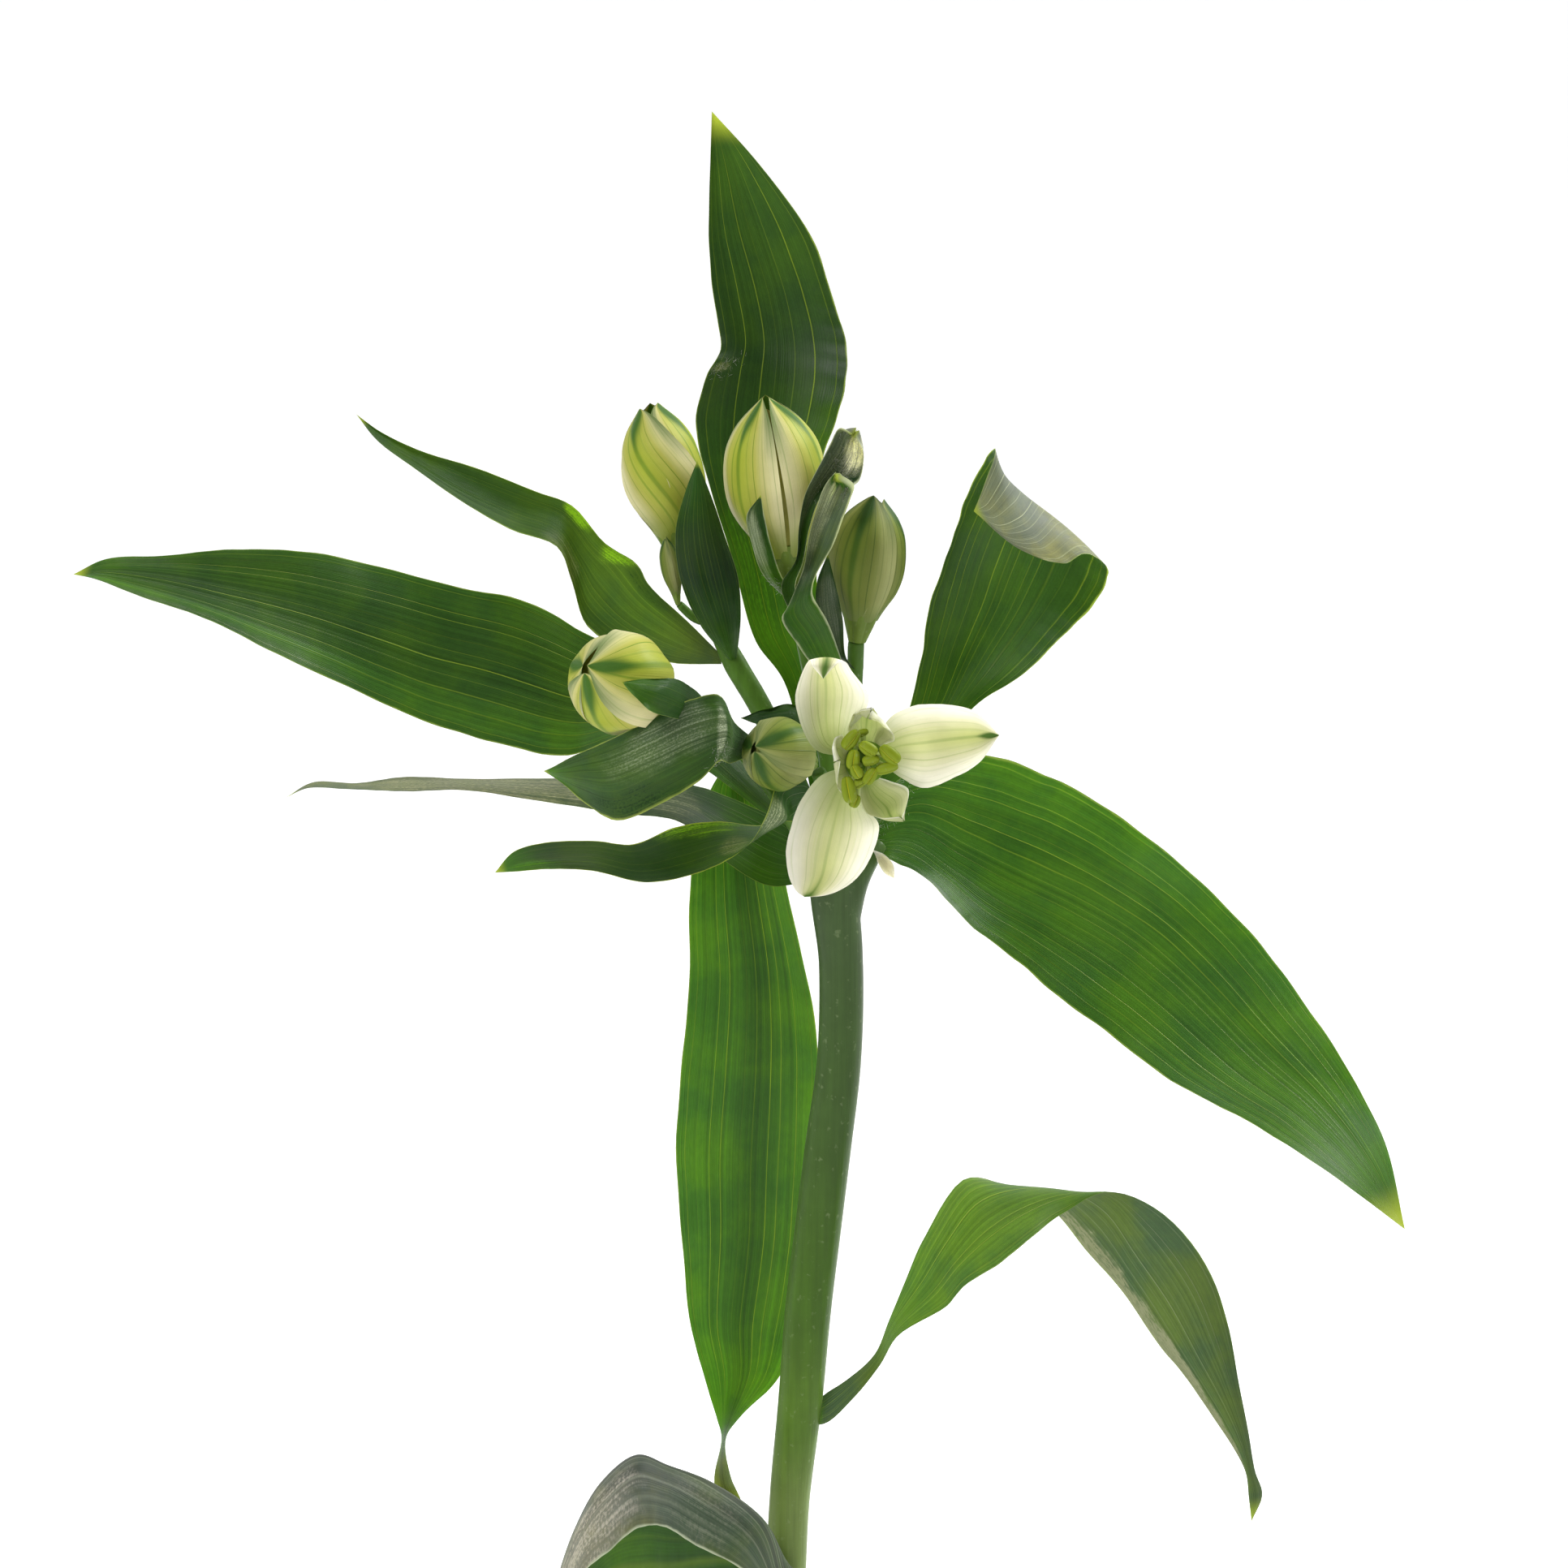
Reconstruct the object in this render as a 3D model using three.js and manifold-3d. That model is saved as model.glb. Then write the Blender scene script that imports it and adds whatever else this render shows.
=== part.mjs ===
// A potted peruvian lily: one leafy stem with a flower head, standing in a plain pot of soil.
// Millimetres, +Z up. The origin is the centre of the pot's flat base, and the plant is looked at along +Y.

import * as THREE from 'three';
import { mergeVertices } from 'three/addons/utils/BufferGeometryUtils.js';
import Module from 'manifold-3d';

const wasm = await Module();
wasm.setup();

// Driving sizes

const POT_HEIGHT = 120;
const POT_BASE_RADIUS = 45;
const POT_RIM_RADIUS = 67;
const POT_WALL = 5;
const POT_FLOOR = 6;
const COLLAR_HEIGHT = 26;
const COLLAR_STEP = 3;
const DRAIN_RADIUS = 4.5;
const DRAIN_DISTANCE = 22;
const SOIL_HEIGHT = 107;
const SOIL_LUMP = 1.6;
const STEM_FOOT = 72;
const BLADE = 0.7;
const GAP = 0.3;

// The eye that the plant's places were read from: its distance, its height angle, and the height it looks at.
const EYE_DISTANCE = 1500;
const EYE_ANGLE = THREE.MathUtils.degToRad(12);
const EYE_TARGET = 338;

// Colours

const LEAF_GREEN = 0x2f6a1c;
const LEAF_GREY_GREEN = 0x55705a;
const STEM_GREEN = 0x5d7a4a;
const BUD_CREAM = 0xc3c97c;
const TEPAL_CREAM = 0xe9e8cf;
const TEPAL_GREEN = 0xbfcb86;
const ANTHER_GREEN = 0x98a521;
const TERRACOTTA = 0xb5673f;
const SOIL_BROWN = 0x3b2a1d;

// Places in the plant are [across, up, depth]: how far right of the pot's axis and how far above its base they
// look to that eye, in millimetres at the stem, and how far behind (+) or before (-) the stem's plane they lie.

const eye = new THREE.Vector3(
  0, -EYE_DISTANCE * Math.cos(EYE_ANGLE), EYE_TARGET + EYE_DISTANCE * Math.sin(EYE_ANGLE));
const eyeForward = new THREE.Vector3(0, Math.cos(EYE_ANGLE), -Math.sin(EYE_ANGLE));
const eyeUp = new THREE.Vector3(0, Math.sin(EYE_ANGLE), Math.cos(EYE_ANGLE));

function seen([across, up, depth]) {
  const ray = eyeForward.clone().multiplyScalar(EYE_DISTANCE);
  ray.addScaledVector(eyeUp, up - EYE_TARGET);
  ray.x += across;
  return eye.clone().addScaledVector(ray, (depth - eye.y) / ray.y);
}

// Stem and rays: [across, up, depth, radius]

const STEM_ROUTE = [
  [0.4, 200, 0, 3.6], [1, 212.4, 0, 3.65], [2.9, 229.9, 0, 4], [4.3, 245.9, 0, 4.15], [5.9, 259, 0, 4.15],
  [7.7, 273.6, 0, 4.15], [9.7, 289.6, 0, 3.95], [10, 307.1, 0, 3.95], [9, 317.3, 0, 4.3], [8.6, 324, 0, 4.6],
];
const RAYS = [
  // to the upper left bud
  [[7.5, 323, 0, 2.6], [1.5, 339, 1, 2.2], [-4.1, 351.4, 2, 2.05], [-8.6, 359.1, 3, 2.1],
    [-12.6, 367, 4, 1.5], [-17.9, 376.8, 5, 1.4]],
  // to the upper middle bud
  [[8.6, 323, 2, 2.2], [8, 340, 5, 1.7], [5, 356, 4, 1.5], [1.3, 373.2, 0.6, 1.4]],
  // to the upper right bud
  [[9.6, 323, 2, 2.2], [12.4, 340, 6, 1.7], [12.4, 352, 7, 1.4], [12.7, 363.3, 4.9, 1.5]],
  // to the left bud
  [[7.5, 323, -1, 2.4], [-1, 336, -6, 1.7], [-8, 344.5, -13, 1.5], [-14.6, 349.2, -15.5, 1.5]],
  // to the small bud
  [[8.6, 324, -2, 2.2], [8.6, 332, -5, 1.6], [6, 340.4, -9, 1.4]],
  // to the open flower
  [[9.6, 324, -1, 2.4], [11.6, 331, -8, 1.9], [13.2, 337.5, -16, 2.2], [13.8, 341, -22, 3],
    [14.1, 341.6, -25, 2.6]],
  // to the slim bud
  [[-12.4, 366.5, 4, 1.1], [-15.6, 367.2, 3, 0.9], [-18.5, 369.7, 1.2, 0.8]],
];

// Blades: cross lines from the foot to the tip, each [one edge, midrib, other edge]. The last point is the tip.

const BLADES = {
  leaf_right: {
    lines: [
      [[10.6, 322.4, 1], [11.7, 320.3, 0], [12.7, 318, -1]],
      [[17, 331.7, 6], [18, 326.7, 3], [19.1, 322.3, 1]],
      [[26.3, 341, 10], [24.3, 329.6, 6], [22.3, 322.7, 2]],
      [[35.7, 342.7, 13], [31.7, 326.6, 8], [26.1, 320.3, 2]],
      [[47.3, 339.4, 15], [40.6, 322.1, 9], [33.4, 312.7, 1]],
      [[60.6, 330.9, 14], [50.9, 317.1, 7], [42.3, 305.7, -1]],
      [[70.9, 323.1, 11], [60.6, 311.4, 4], [50.6, 298.9, -4]],
      [[82, 312, 6], [71.7, 302.1, 0], [61.3, 290.7, -8]],
      [[91.4, 299.7, 0], [83.1, 290.4, -6], [73.7, 282.7, -13]],
      [[99.7, 287.1, -7], [93.4, 281.4, -12], [85.6, 276.3, -18]],
      [[105.9, 274.6, -13], [102, 271.4, -17], [96.3, 269.3, -21]],
    ],
    tip: [109.3, 259.6, -21], waves: 5, waveHeight: 0.9,
  },
  leaf_top: {
    lines: [
      [[6.3, 327.4, 4], [7.1, 327.1, 5], [8.3, 326.9, 4]],
      [[3.4, 343.1, 12], [5.4, 343.1, 13], [7.4, 343.1, 12]],
      [[0, 356, 16], [3.4, 356.7, 18], [6.9, 357.4, 16]],
      [[-4.9, 363.1, 18], [0, 366, 21], [6, 367.4, 19]],
      [[-8.7, 376, 20], [-2.3, 378.1, 24], [5.7, 378.9, 21]],
      [[-13.4, 391.7, 22], [-5.1, 393.1, 27], [6.3, 393.1, 24]],
      [[-15.6, 401.7, 23], [-3.7, 402.4, 29], [9.1, 402, 26]],
      [[-13.4, 410.4, 25], [-2.8, 410.6, 31], [11, 408.9, 28]],
      [[-11.2, 414.6, 29], [-2.6, 416, 33], [10.9, 414.6, 30]],
      [[-12.3, 423.1, 32], [-4, 424.6, 35], [8.9, 423.1, 33]],
      [[-13.3, 434.6, 35], [-7.1, 435.3, 37], [4.6, 434.6, 36]],
      [[-13, 446.7, 38], [-10, 447.4, 39], [-4, 446.7, 38]],
    ],
    tip: [-12.7, 456.4, 40], waves: 3, waveHeight: 0.6,
  },
  leaf_left: {
    lines: [
      [[4.9, 328.9, 3], [5.3, 327.4, 3], [5.9, 326, 2]],
      [[-3.7, 338.1, 11], [-4, 335.3, 9], [-3.7, 332.9, 8]],
      [[-14, 348.9, 17], [-15.1, 345.3, 14], [-15.7, 341.7, 12]],
      [[-23.7, 358.9, 21], [-26.3, 352.4, 18], [-28, 346, 14]],
      [[-34, 364.1, 23], [-36.6, 354.9, 19], [-38, 343, 13]],
      [[-45.1, 369.9, 23], [-48, 358.9, 18], [-50.6, 345.4, 12]],
      [[-58, 373, 22], [-60.9, 362.4, 17], [-63.7, 349.1, 10]],
      [[-70.9, 376, 19], [-73.4, 366.3, 14], [-76.6, 354.9, 8]],
      [[-84, 378.9, 14], [-86.3, 370, 10], [-89.1, 361.1, 4]],
      [[-96.9, 379.4, 8], [-99.4, 372.9, 5], [-102.3, 367.1, 0]],
      [[-109.4, 378.1, 2], [-111.6, 375, 0], [-113, 370.9, -3]],
      [[-119.4, 377.6, -2], [-120.1, 375.6, -3], [-120.9, 374, -4]],
    ],
    tip: [-125.1, 374.9, -5], waves: 4, waveHeight: 0.9,
  },
  leaf_upper_right: {
    lines: [
      [[9.6, 328, 4], [10.6, 327.5, 4], [11.6, 327, 3]],
      [[13.5, 337, 9], [15.5, 336, 9], [17.5, 334.5, 8]],
      [[19.5, 345, 15], [23, 344, 16], [27, 343, 14]],
      [[22.3, 352, 18], [28, 351.7, 20], [33.5, 351.6, 17]],
      [[24, 360, 20], [32, 360.5, 23], [42.2, 357.4, 18]],
      [[25.4, 368, 21], [36, 369, 24], [49, 364, 18]],
      [[28, 376.6, 21], [38.5, 376, 24], [54, 369, 17]],
      [[30.3, 383, 20], [41, 382, 22], [57, 374, 15]],
      [[32, 388.5, 16], [44, 386.5, 18], [56.6, 376.4, 12]],
      [[35.4, 395, 11], [44.5, 387, 12], [53.5, 378.4, 9]],
      [[37.2, 397, 7], [42, 384, 6], [49, 377, 6]],
      [[35, 390, 4], [38, 383, 3], [42, 379, 4]],
    ],
    tip: [33.4, 386, 2], waves: 0, waveHeight: 0,
  },
  leaf_narrow_left: {
    lines: [
      [[5.4, 327.4, -1], [4.6, 324.6, -2], [4.6, 321, -2]],
      [[-1.1, 331.7, 4], [-1.6, 326, 1], [-2.3, 320, -3]],
      [[-8.7, 335.3, 7], [-9.4, 330.3, 2], [-10.1, 324.3, -4]],
      [[-16.6, 338, 9], [-17.3, 334.6, 2], [-18, 331.1, -5]],
      [[-26.6, 338.6, 11], [-27.3, 336, 2], [-28.7, 332.7, -6]],
      [[-41.9, 338.9, 12], [-42.3, 337.2, 3], [-43, 335.1, -6]],
      [[-55.1, 339, 11], [-55.1, 338, 3], [-55.9, 336.9, -5]],
      [[-66.6, 339.3, 9], [-66.6, 338, 3], [-66.6, 336.6, -4]],
      [[-75.1, 338.1, 6], [-75.9, 337.7, 2], [-76.6, 337.1, -2]],
      [[-83, 338.3, 3], [-83.2, 337.9, 1], [-83.7, 337.3, -1]],
    ],
    tip: [-87.7, 335.6, 0], waves: 3, waveHeight: 0.6,
  },
  leaf_lower_left: {
    lines: [
      [[6.6, 330.3, -6], [7.1, 328.9, -6.4], [7.4, 327.1, -6]],
      [[2.7, 339.3, -12], [4.9, 336, -11], [6.3, 332.4, -10]],
      [[-1.3, 337.7, -18], [0.9, 335.3, -13], [2.7, 331.4, -9]],
      [[-2.9, 333.1, -21], [-1.6, 332.4, -15], [-0.9, 331.4, -9]],
      [[-5.9, 327.7, -21], [-5.4, 329.6, -15], [-4.6, 330.7, -10]],
      [[-10.9, 324.1, -20], [-11.4, 327.7, -15], [-11.6, 331.4, -10]],
      [[-17.3, 321.7, -19], [-18.3, 325.7, -16], [-19.1, 330.4, -12]],
      [[-24.7, 320.7, -18], [-25.7, 324.1, -16], [-26.6, 327.4, -13]],
      [[-33.7, 322.7, -17], [-33.7, 325.4, -15], [-33.4, 328, -12]],
      [[-41.6, 323, -15], [-42, 325.1, -14], [-42.6, 327.6, -11]],
      [[-46.9, 322.6, -14], [-47.3, 324.1, -13], [-47.7, 326, -11]],
    ],
    tip: [-50.9, 322.4, -12], waves: 0, waveHeight: 0,
  },
  leaf_stem_tall: {
    lines: [
      [[-2.6, 201.5, 3], [-2.2, 200, 4], [-1.6, 198.6, 4]],
      [[-11.6, 211.7, 4], [-9.9, 212, 6], [-7.7, 212.3, 5]],
      [[-12.3, 215.7, 5], [-11.1, 216, 6.5], [-9.4, 216.3, 8]],
      [[-11, 222.9, 5.5], [-10.6, 222.9, 8], [-10.2, 222.9, 10.5]],
      [[-11.7, 226, 7], [-9.9, 226.3, 9], [-7.4, 226.9, 10.5]],
      [[-14, 233.4, 9], [-8.3, 233.9, 10.5], [-1.1, 233.1, 11]],
      [[-16.3, 242.4, 9], [-8.7, 242.9, 11.5], [2.7, 243.1, 11]],
      [[-18, 257.4, 9], [-7.3, 257.7, 12.5], [4.9, 258, 11]],
      [[-19, 273.6, 9], [-6.9, 273.9, 13], [6, 274.1, 11]],
      [[-18, 288.9, 9], [-6, 289.1, 13], [6, 289.4, 11]],
      [[-16.7, 303.1, 10], [-5.9, 303.9, 13.5], [3.9, 304.6, 12]],
      [[-16.6, 317.4, 11], [-7.3, 318.1, 14.5], [0.9, 318.1, 13]],
      [[-15.6, 328.9, 14], [-8.3, 329.1, 16.5], [-2, 328.9, 14]],
      [[-12.9, 337.1, 18], [-8.7, 337.7, 19], [-4.6, 337.1, 18]],
    ],
    tip: [-9, 343.1, 22], waves: 3, waveHeight: 0.5,
  },
  leaf_stem_right: {
    lines: [
      [[6.5, 224, -1], [6.8, 226.9, 0], [6.7, 229.7, 1]],
      [[12.6, 230.3, -2], [12, 232, -1], [11.4, 233.4, 0]],
      [[16.9, 235.7, -4], [16.3, 236.6, -2], [16, 237.7, -1]],
      [[20.1, 240.9, -6], [19.1, 242.4, -3], [18.4, 243.4, -1]],
      [[28.4, 245.9, -10], [24.9, 250, -5], [21, 249.7, -1]],
      [[31.6, 249.4, -13], [28.9, 256, -7], [24.9, 258.6, -1]],
      [[37.7, 253.4, -15], [34.6, 263, -8], [32, 268.6, 0]],
      [[43.4, 258.1, -16], [41.6, 266, -8], [39.4, 267, 3]],
      [[49.1, 262.4, -15], [49.3, 266.6, -9], [47, 263.2, 4]],
      [[56.9, 266.2, -12], [56.4, 264, -7], [53.4, 255.6, 3]],
      [[66.3, 262.7, -9], [62.7, 256, -7], [60, 248, -4]],
      [[74.3, 253.4, -10], [69.1, 246.7, -10], [65.6, 239.9, -8]],
      [[78.1, 243.1, -12], [73.7, 237.7, -13], [70.4, 233.9, -12]],
      [[80.1, 232.4, -15], [77.7, 229.6, -16], [75.4, 226.7, -15]],
      [[81.7, 224.3, -17], [80.6, 222.4, -18], [79.7, 220.1, -17]],
      [[83.4, 214.6, -18], [82.5, 214.4, -19], [81.4, 214.9, -18]],
    ],
    tip: [82.4, 208, -20], waves: 0, waveHeight: 0, rows: 26,
  },
  leaf_stem_left: {
    lines: [
      [[-0.8, 193.8, -4], [0.9, 192.6, -4.4], [2.4, 191.4, -4]],
      [[2.2, 199.6, -6], [-0.1, 198.6, -9], [-2.6, 195.6, -12]],
      [[-2.3, 204.6, -6], [-3.4, 208.3, -12], [-8.7, 200.6, -20]],
      [[-10.9, 210.3, -5], [-12.7, 215.1, -13], [-15.4, 203.9, -24]],
      [[-18, 211.7, -4], [-20.1, 217.7, -14], [-21.6, 207.4, -27]],
      [[-23.7, 210.3, -4], [-25.9, 219.6, -16], [-25.9, 206.9, -29]],
      [[-28.7, 206, -5], [-32, 215.2, -17], [-30.9, 202.9, -31]],
      [[-32.3, 198.9, -7], [-36.9, 206.6, -19], [-35.4, 198.9, -32]],
      [[-37.3, 188.9, -10], [-40.9, 194.2, -21], [-39.4, 188.9, -32]],
      [[-40.9, 177.4, -14], [-43.4, 180.3, -22], [-42.6, 176.7, -30]],
    ],
    tip: [-45.4, 164.6, -25], waves: 0, waveHeight: 0,
  },
  bract_upper_left: {
    lines: [
      [[-10.9, 360.6, 3], [-11, 359.9, 3], [-11, 359.1, 3]],
      [[-16.6, 366.3, 2], [-18.3, 363.1, 4], [-20.1, 359.4, 4]],
      [[-23.7, 373.1, 3], [-26.6, 368.1, 7], [-30.6, 362.9, 7]],
      [[-26.1, 377.1, 5], [-32, 373.9, 8], [-34.9, 366.3, 8]],
      [[-31.6, 380.6, 8], [-35.1, 378.1, 9], [-37.4, 373.9, 7]],
      [[-37.3, 387.1, 10], [-39.4, 383.9, 8], [-40, 380, 5]],
      [[-43.7, 389.7, 9], [-46.6, 386.7, 7], [-48, 382.9, 3]],
      [[-53.7, 393.6, 7], [-55.4, 390.3, 5], [-56.6, 387.7, 2]],
      [[-63.7, 396.6, 4], [-64.4, 394.9, 3], [-65.1, 393.7, 1]],
      [[-70.9, 400, 2], [-71.4, 399.1, 1], [-71.7, 398.6, 0]],
    ],
    tip: [-75.3, 403.1, 0], waves: 0, waveHeight: 0, rows: 18,
  },
  bract_upper_left_bud: {
    lines: [
      [[-10, 360.2, 1.3], [-9.2, 359.8, 0.8], [-8.3, 360.2, 1.3]],
      [[-14.9, 366.3, -4], [-11.1, 366.7, -6], [-7.6, 368.1, -4]],
      [[-18.3, 374.3, -5], [-13.4, 374.3, -8.5], [-8.1, 374.6, -5]],
      [[-19.1, 382.4, -6], [-14.9, 382.9, -9.5], [-10.6, 382.4, -6]],
      [[-17.4, 389.4, -7], [-15.1, 389.9, -9], [-13, 389.3, -7]],
    ],
    tip: [-15.3, 394.9, -8], waves: 0, waveHeight: 0,
  },
  bract_left_folded: {
    lines: [
      [[-5.6, 346.2, -12.5], [-6.4, 344.8, -14], [-6.9, 342.6, -14.5]],
      [[-8.7, 348.9, -19], [-8.7, 345.3, -20.5], [-9.4, 341.7, -20]],
      [[-11.7, 353.9, -27], [-10, 348.1, -27.5], [-11.6, 342, -27]],
      [[-16.6, 353, -30], [-15.9, 346.7, -31], [-14.9, 338.6, -30]],
      [[-23.7, 349.4, -31], [-23, 343.4, -33], [-22, 334.6, -31]],
      [[-31.6, 345.6, -30], [-30.6, 340.3, -32], [-29.4, 331.7, -30]],
      [[-37.3, 342.9, -28], [-35.9, 340, -30], [-34.9, 334.6, -28]],
      [[-40.6, 341.1, -27], [-39.7, 339.9, -28], [-38.9, 338.1, -27]],
    ],
    tip: [-42.3, 340.3, -26], waves: 0, waveHeight: 0, rows: 13,
  },
  bract_left_bud: {
    lines: [
      [[-13.2, 351.8, -18], [-13.4, 350.7, -18.6], [-13.6, 349.4, -18]],
      [[-16.6, 355.7, -23], [-17.3, 353.4, -27], [-18.3, 351.4, -28.5]],
      [[-20, 357.4, -30], [-21.6, 355.3, -34], [-22.6, 352.6, -35]],
      [[-23.7, 356.5, -34.5], [-24.3, 355.4, -36], [-24.4, 353.9, -36]],
    ],
    tip: [-27.1, 355.7, -38.5], waves: 0, waveHeight: 0,
  },
  bract_small_bud: {
    lines: [
      [[6.6, 346, -9], [6.4, 344.9, -9.6], [6, 343.6, -10]],
      [[2, 352, -12], [1.6, 350.4, -14], [0.9, 348.4, -15]],
      [[-3, 351.4, -14], [-3.2, 350, -15], [-3.6, 348.4, -16]],
    ],
    tip: [-7.7, 349.6, -16], waves: 0, waveHeight: 0,
  },
  bract_middle_small: {
    lines: [
      [[1.2, 369.9, 0.6], [1.8, 369.6, 0.2], [2.4, 369.9, 0.6]],
      [[-3.7, 374.9, -5], [-2.3, 375.1, -6.5], [-0.7, 375.4, -5]],
      [[-5.7, 380.6, -8], [-4.3, 380.6, -9.5], [-2.4, 380.6, -8]],
      [[-6.6, 385.1, -9.5], [-5.1, 385.4, -11], [-3.4, 385.1, -10]],
    ],
    tip: [-4.1, 388.6, -11.5], waves: 0, waveHeight: 0,
  },
  bract_middle_front: {
    lines: [
      [[10.8, 353.6, 6], [11.4, 353.2, 5.6], [12, 353, 6]],
      [[6.2, 360, -1], [7.2, 360, -2], [8.4, 360.3, -2]],
      [[3.4, 364.1, -8], [4.9, 365.3, -7], [6, 366.3, -7]],
      [[0, 367.4, -12], [1.1, 368.6, -11], [2.6, 369.7, -11]],
      [[1.3, 369.8, -14], [2.3, 370.6, -13], [3.8, 371.6, -13]],
      [[3.4, 376, -13], [4.6, 375.7, -12], [5.9, 375.6, -13]],
      [[4.3, 381.7, -12.5], [6, 381.1, -11], [8.6, 380, -13]],
      [[5.6, 386.3, -12], [7.7, 385.7, -10], [10.6, 385.4, -12]],
      [[7.7, 391, -12], [9.7, 390.3, -10], [12, 389.4, -11]],
    ],
    tip: [9.9, 392.2, -12], waves: 0, waveHeight: 0, rows: 16,
  },
  bract_middle_back: {
    lines: [
      [[2.3, 366, 1.2], [2.9, 365.8, 0.8], [3.5, 366, 1.2]],
      [[-0.5, 373, -6], [0.6, 373, -5], [2, 373, -6]],
      [[2.1, 377.7, -9], [2.7, 377.4, -8], [3.4, 377.4, -9]],
      [[2.6, 383.1, -9.5], [3.4, 383.1, -8], [4.6, 383.4, -9]],
      [[3.7, 389, -9], [5.4, 388.6, -7], [7.1, 389.4, -8]],
      [[6.6, 395.1, -7], [9.1, 394, -4.5], [12.3, 391.1, -6]],
      [[8, 399.1, -5], [10.9, 397.7, -3], [13.7, 395.1, -4]],
    ],
    tip: [12.6, 400, -4], waves: 0, waveHeight: 0, rows: 11,
  },
  bract_right_dark: {
    lines: [
      [[11.4, 358.8, 4.4], [12, 358.4, 4], [12.6, 358, 4.4]],
      [[8.6, 361.6, 0.6], [9.6, 361.2, -0.4], [10.8, 360.8, 0.6]],
      [[6, 367.4, -2], [8, 367.4, -3.5], [10.3, 367.4, -2.5]],
      [[5.7, 373.1, -3], [7.4, 373.9, -4.5], [9.1, 373.1, -3]],
    ],
    tip: [7.7, 378.6, -3.5], waves: 0, waveHeight: 0,
  },
  tepal_outer_top: {
    lines: [
      [[11, 342.8, -25], [11.6, 343.4, -25], [12.3, 343.9, -25]],
      [[5.7, 343.9, -29], [8.4, 345.3, -27], [11.7, 347.5, -29]],
      [[3.1, 348.1, -33], [7.4, 349.1, -30], [13.7, 350, -33]],
      [[2, 353.4, -36], [7.4, 354.6, -32], [14.9, 353.4, -36]],
      [[3.4, 358.1, -38], [7.1, 358.6, -35], [12, 357.7, -38]],
    ],
    tip: [8, 360.4, -40], waves: 0, waveHeight: 0,
  },
  tepal_outer_right: {
    lines: [
      [[16.7, 343.9, -25], [16.9, 343, -25], [16.7, 342.1, -25]],
      [[18, 348.9, -29], [19.9, 344.6, -26], [20.6, 339.1, -29]],
      [[22.6, 351.7, -33], [24.9, 345.3, -28], [24.9, 337.3, -33]],
      [[28.4, 352, -33], [30.3, 346, -28], [30.3, 339.3, -33]],
      [[33.4, 350.9, -32], [34.3, 346.4, -28], [34.3, 341.7, -31]],
    ],
    tip: [37.9, 346.6, -27], waves: 0, waveHeight: 0,
  },
  tepal_outer_lower: {
    lines: [
      [[11, 341.2, -25], [11.9, 340.2, -25], [13, 339.4, -25]],
      [[6, 339.1, -29], [9.9, 335.3, -26], [14.3, 333.9, -29]],
      [[2.4, 333.4, -33], [8.6, 330.3, -29], [16.3, 330.6, -33]],
      [[0.7, 326.7, -35], [7.4, 326, -31], [14.3, 325.3, -34]],
      [[1, 322, -35], [6.3, 321.7, -32], [11.3, 321, -34]],
      [[3.1, 319.3, -35], [5.3, 318.7, -34], [7.4, 318.9, -35]],
    ],
    tip: [5.1, 318.2, -35], waves: 0, waveHeight: 0,
  },
  tepal_inner_top: {
    lines: [
      [[13, 344.4, -26], [13.9, 344.7, -26], [14.8, 344.4, -26]],
      [[11.9, 346.9, -30], [14.6, 347.4, -29], [17.5, 346.5, -30]],
      [[12.7, 350, -34], [15.4, 350.3, -32], [18.9, 349.1, -34]],
    ],
    tip: [15.7, 351.5, -35], waves: 2, waveHeight: 0.5,
  },
  tepal_inner_left: {
    lines: [
      [[11.9, 342.3, -26.5], [11.7, 341.7, -26.5], [11.9, 341, -26.5]],
      [[10.6, 343.9, -31], [9.6, 341, -30], [11.3, 337.9, -31]],
      [[9.1, 346.2, -35], [8.6, 342.6, -34], [10.6, 338.6, -35]],
    ],
    tip: [8.6, 343.4, -37], waves: 2, waveHeight: 0.5,
  },
  tepal_inner_lower: {
    lines: [
      [[13.6, 339, -26.5], [14.4, 338.8, -26.5], [15.2, 339.4, -26.5]],
      [[13.6, 335.3, -29.5], [15.6, 336, -28.5], [18, 338.1, -29.5]],
      [[15.4, 332.7, -33], [18, 333.9, -31.5], [21.6, 336, -33]],
    ],
    tip: [20.9, 331.9, -34], waves: 0, waveHeight: 0,
  },
};

// Lower leaves on the stretch of stem that stands below the view: foot height, the way they point in degrees
// from +X towards +Y, length, width and rise, as true places.
const LOWER_LEAVES = {
  leaf_low_back: { foot: 164, heading: 58, length: 84, width: 21, rise: 8 },
  leaf_low_front: { foot: 150, heading: -112, length: 78, width: 20, rise: 16 },
  leaf_low_right: { foot: 136, heading: -22, length: 70, width: 18, rise: 20 },
};

// Buds: foot and top places, widest radius, and the turn of their three tepals in degrees.
const BUDS = {
  bud_upper_left: { foot: [-18, 376.6, 5], top: [-23.6, 405, 5], radius: 6.7, turn: 20 },
  bud_upper_left_slim: { foot: [-18.6, 369.4, 1], top: [-20.9, 381.6, 0], radius: 1.7, turn: 0 },
  bud_upper_middle: { foot: [1.3, 372.8, 0.6], top: [-3.4, 406.4, 0], radius: 8.4, turn: 100 },
  bud_upper_right: { foot: [12.8, 362.8, 4.8], top: [16.1, 389, 3], radius: 6.3, turn: 70 },
  bud_left: { foot: [-17.4, 350.6, -16], top: [-36.4, 359.6, -33], radius: 9.3, turn: 35 },
  bud_small: { foot: [4.9, 341.6, -10.4], top: [-5.4, 344.4, -24], radius: 6, turn: 60 },
};

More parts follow.
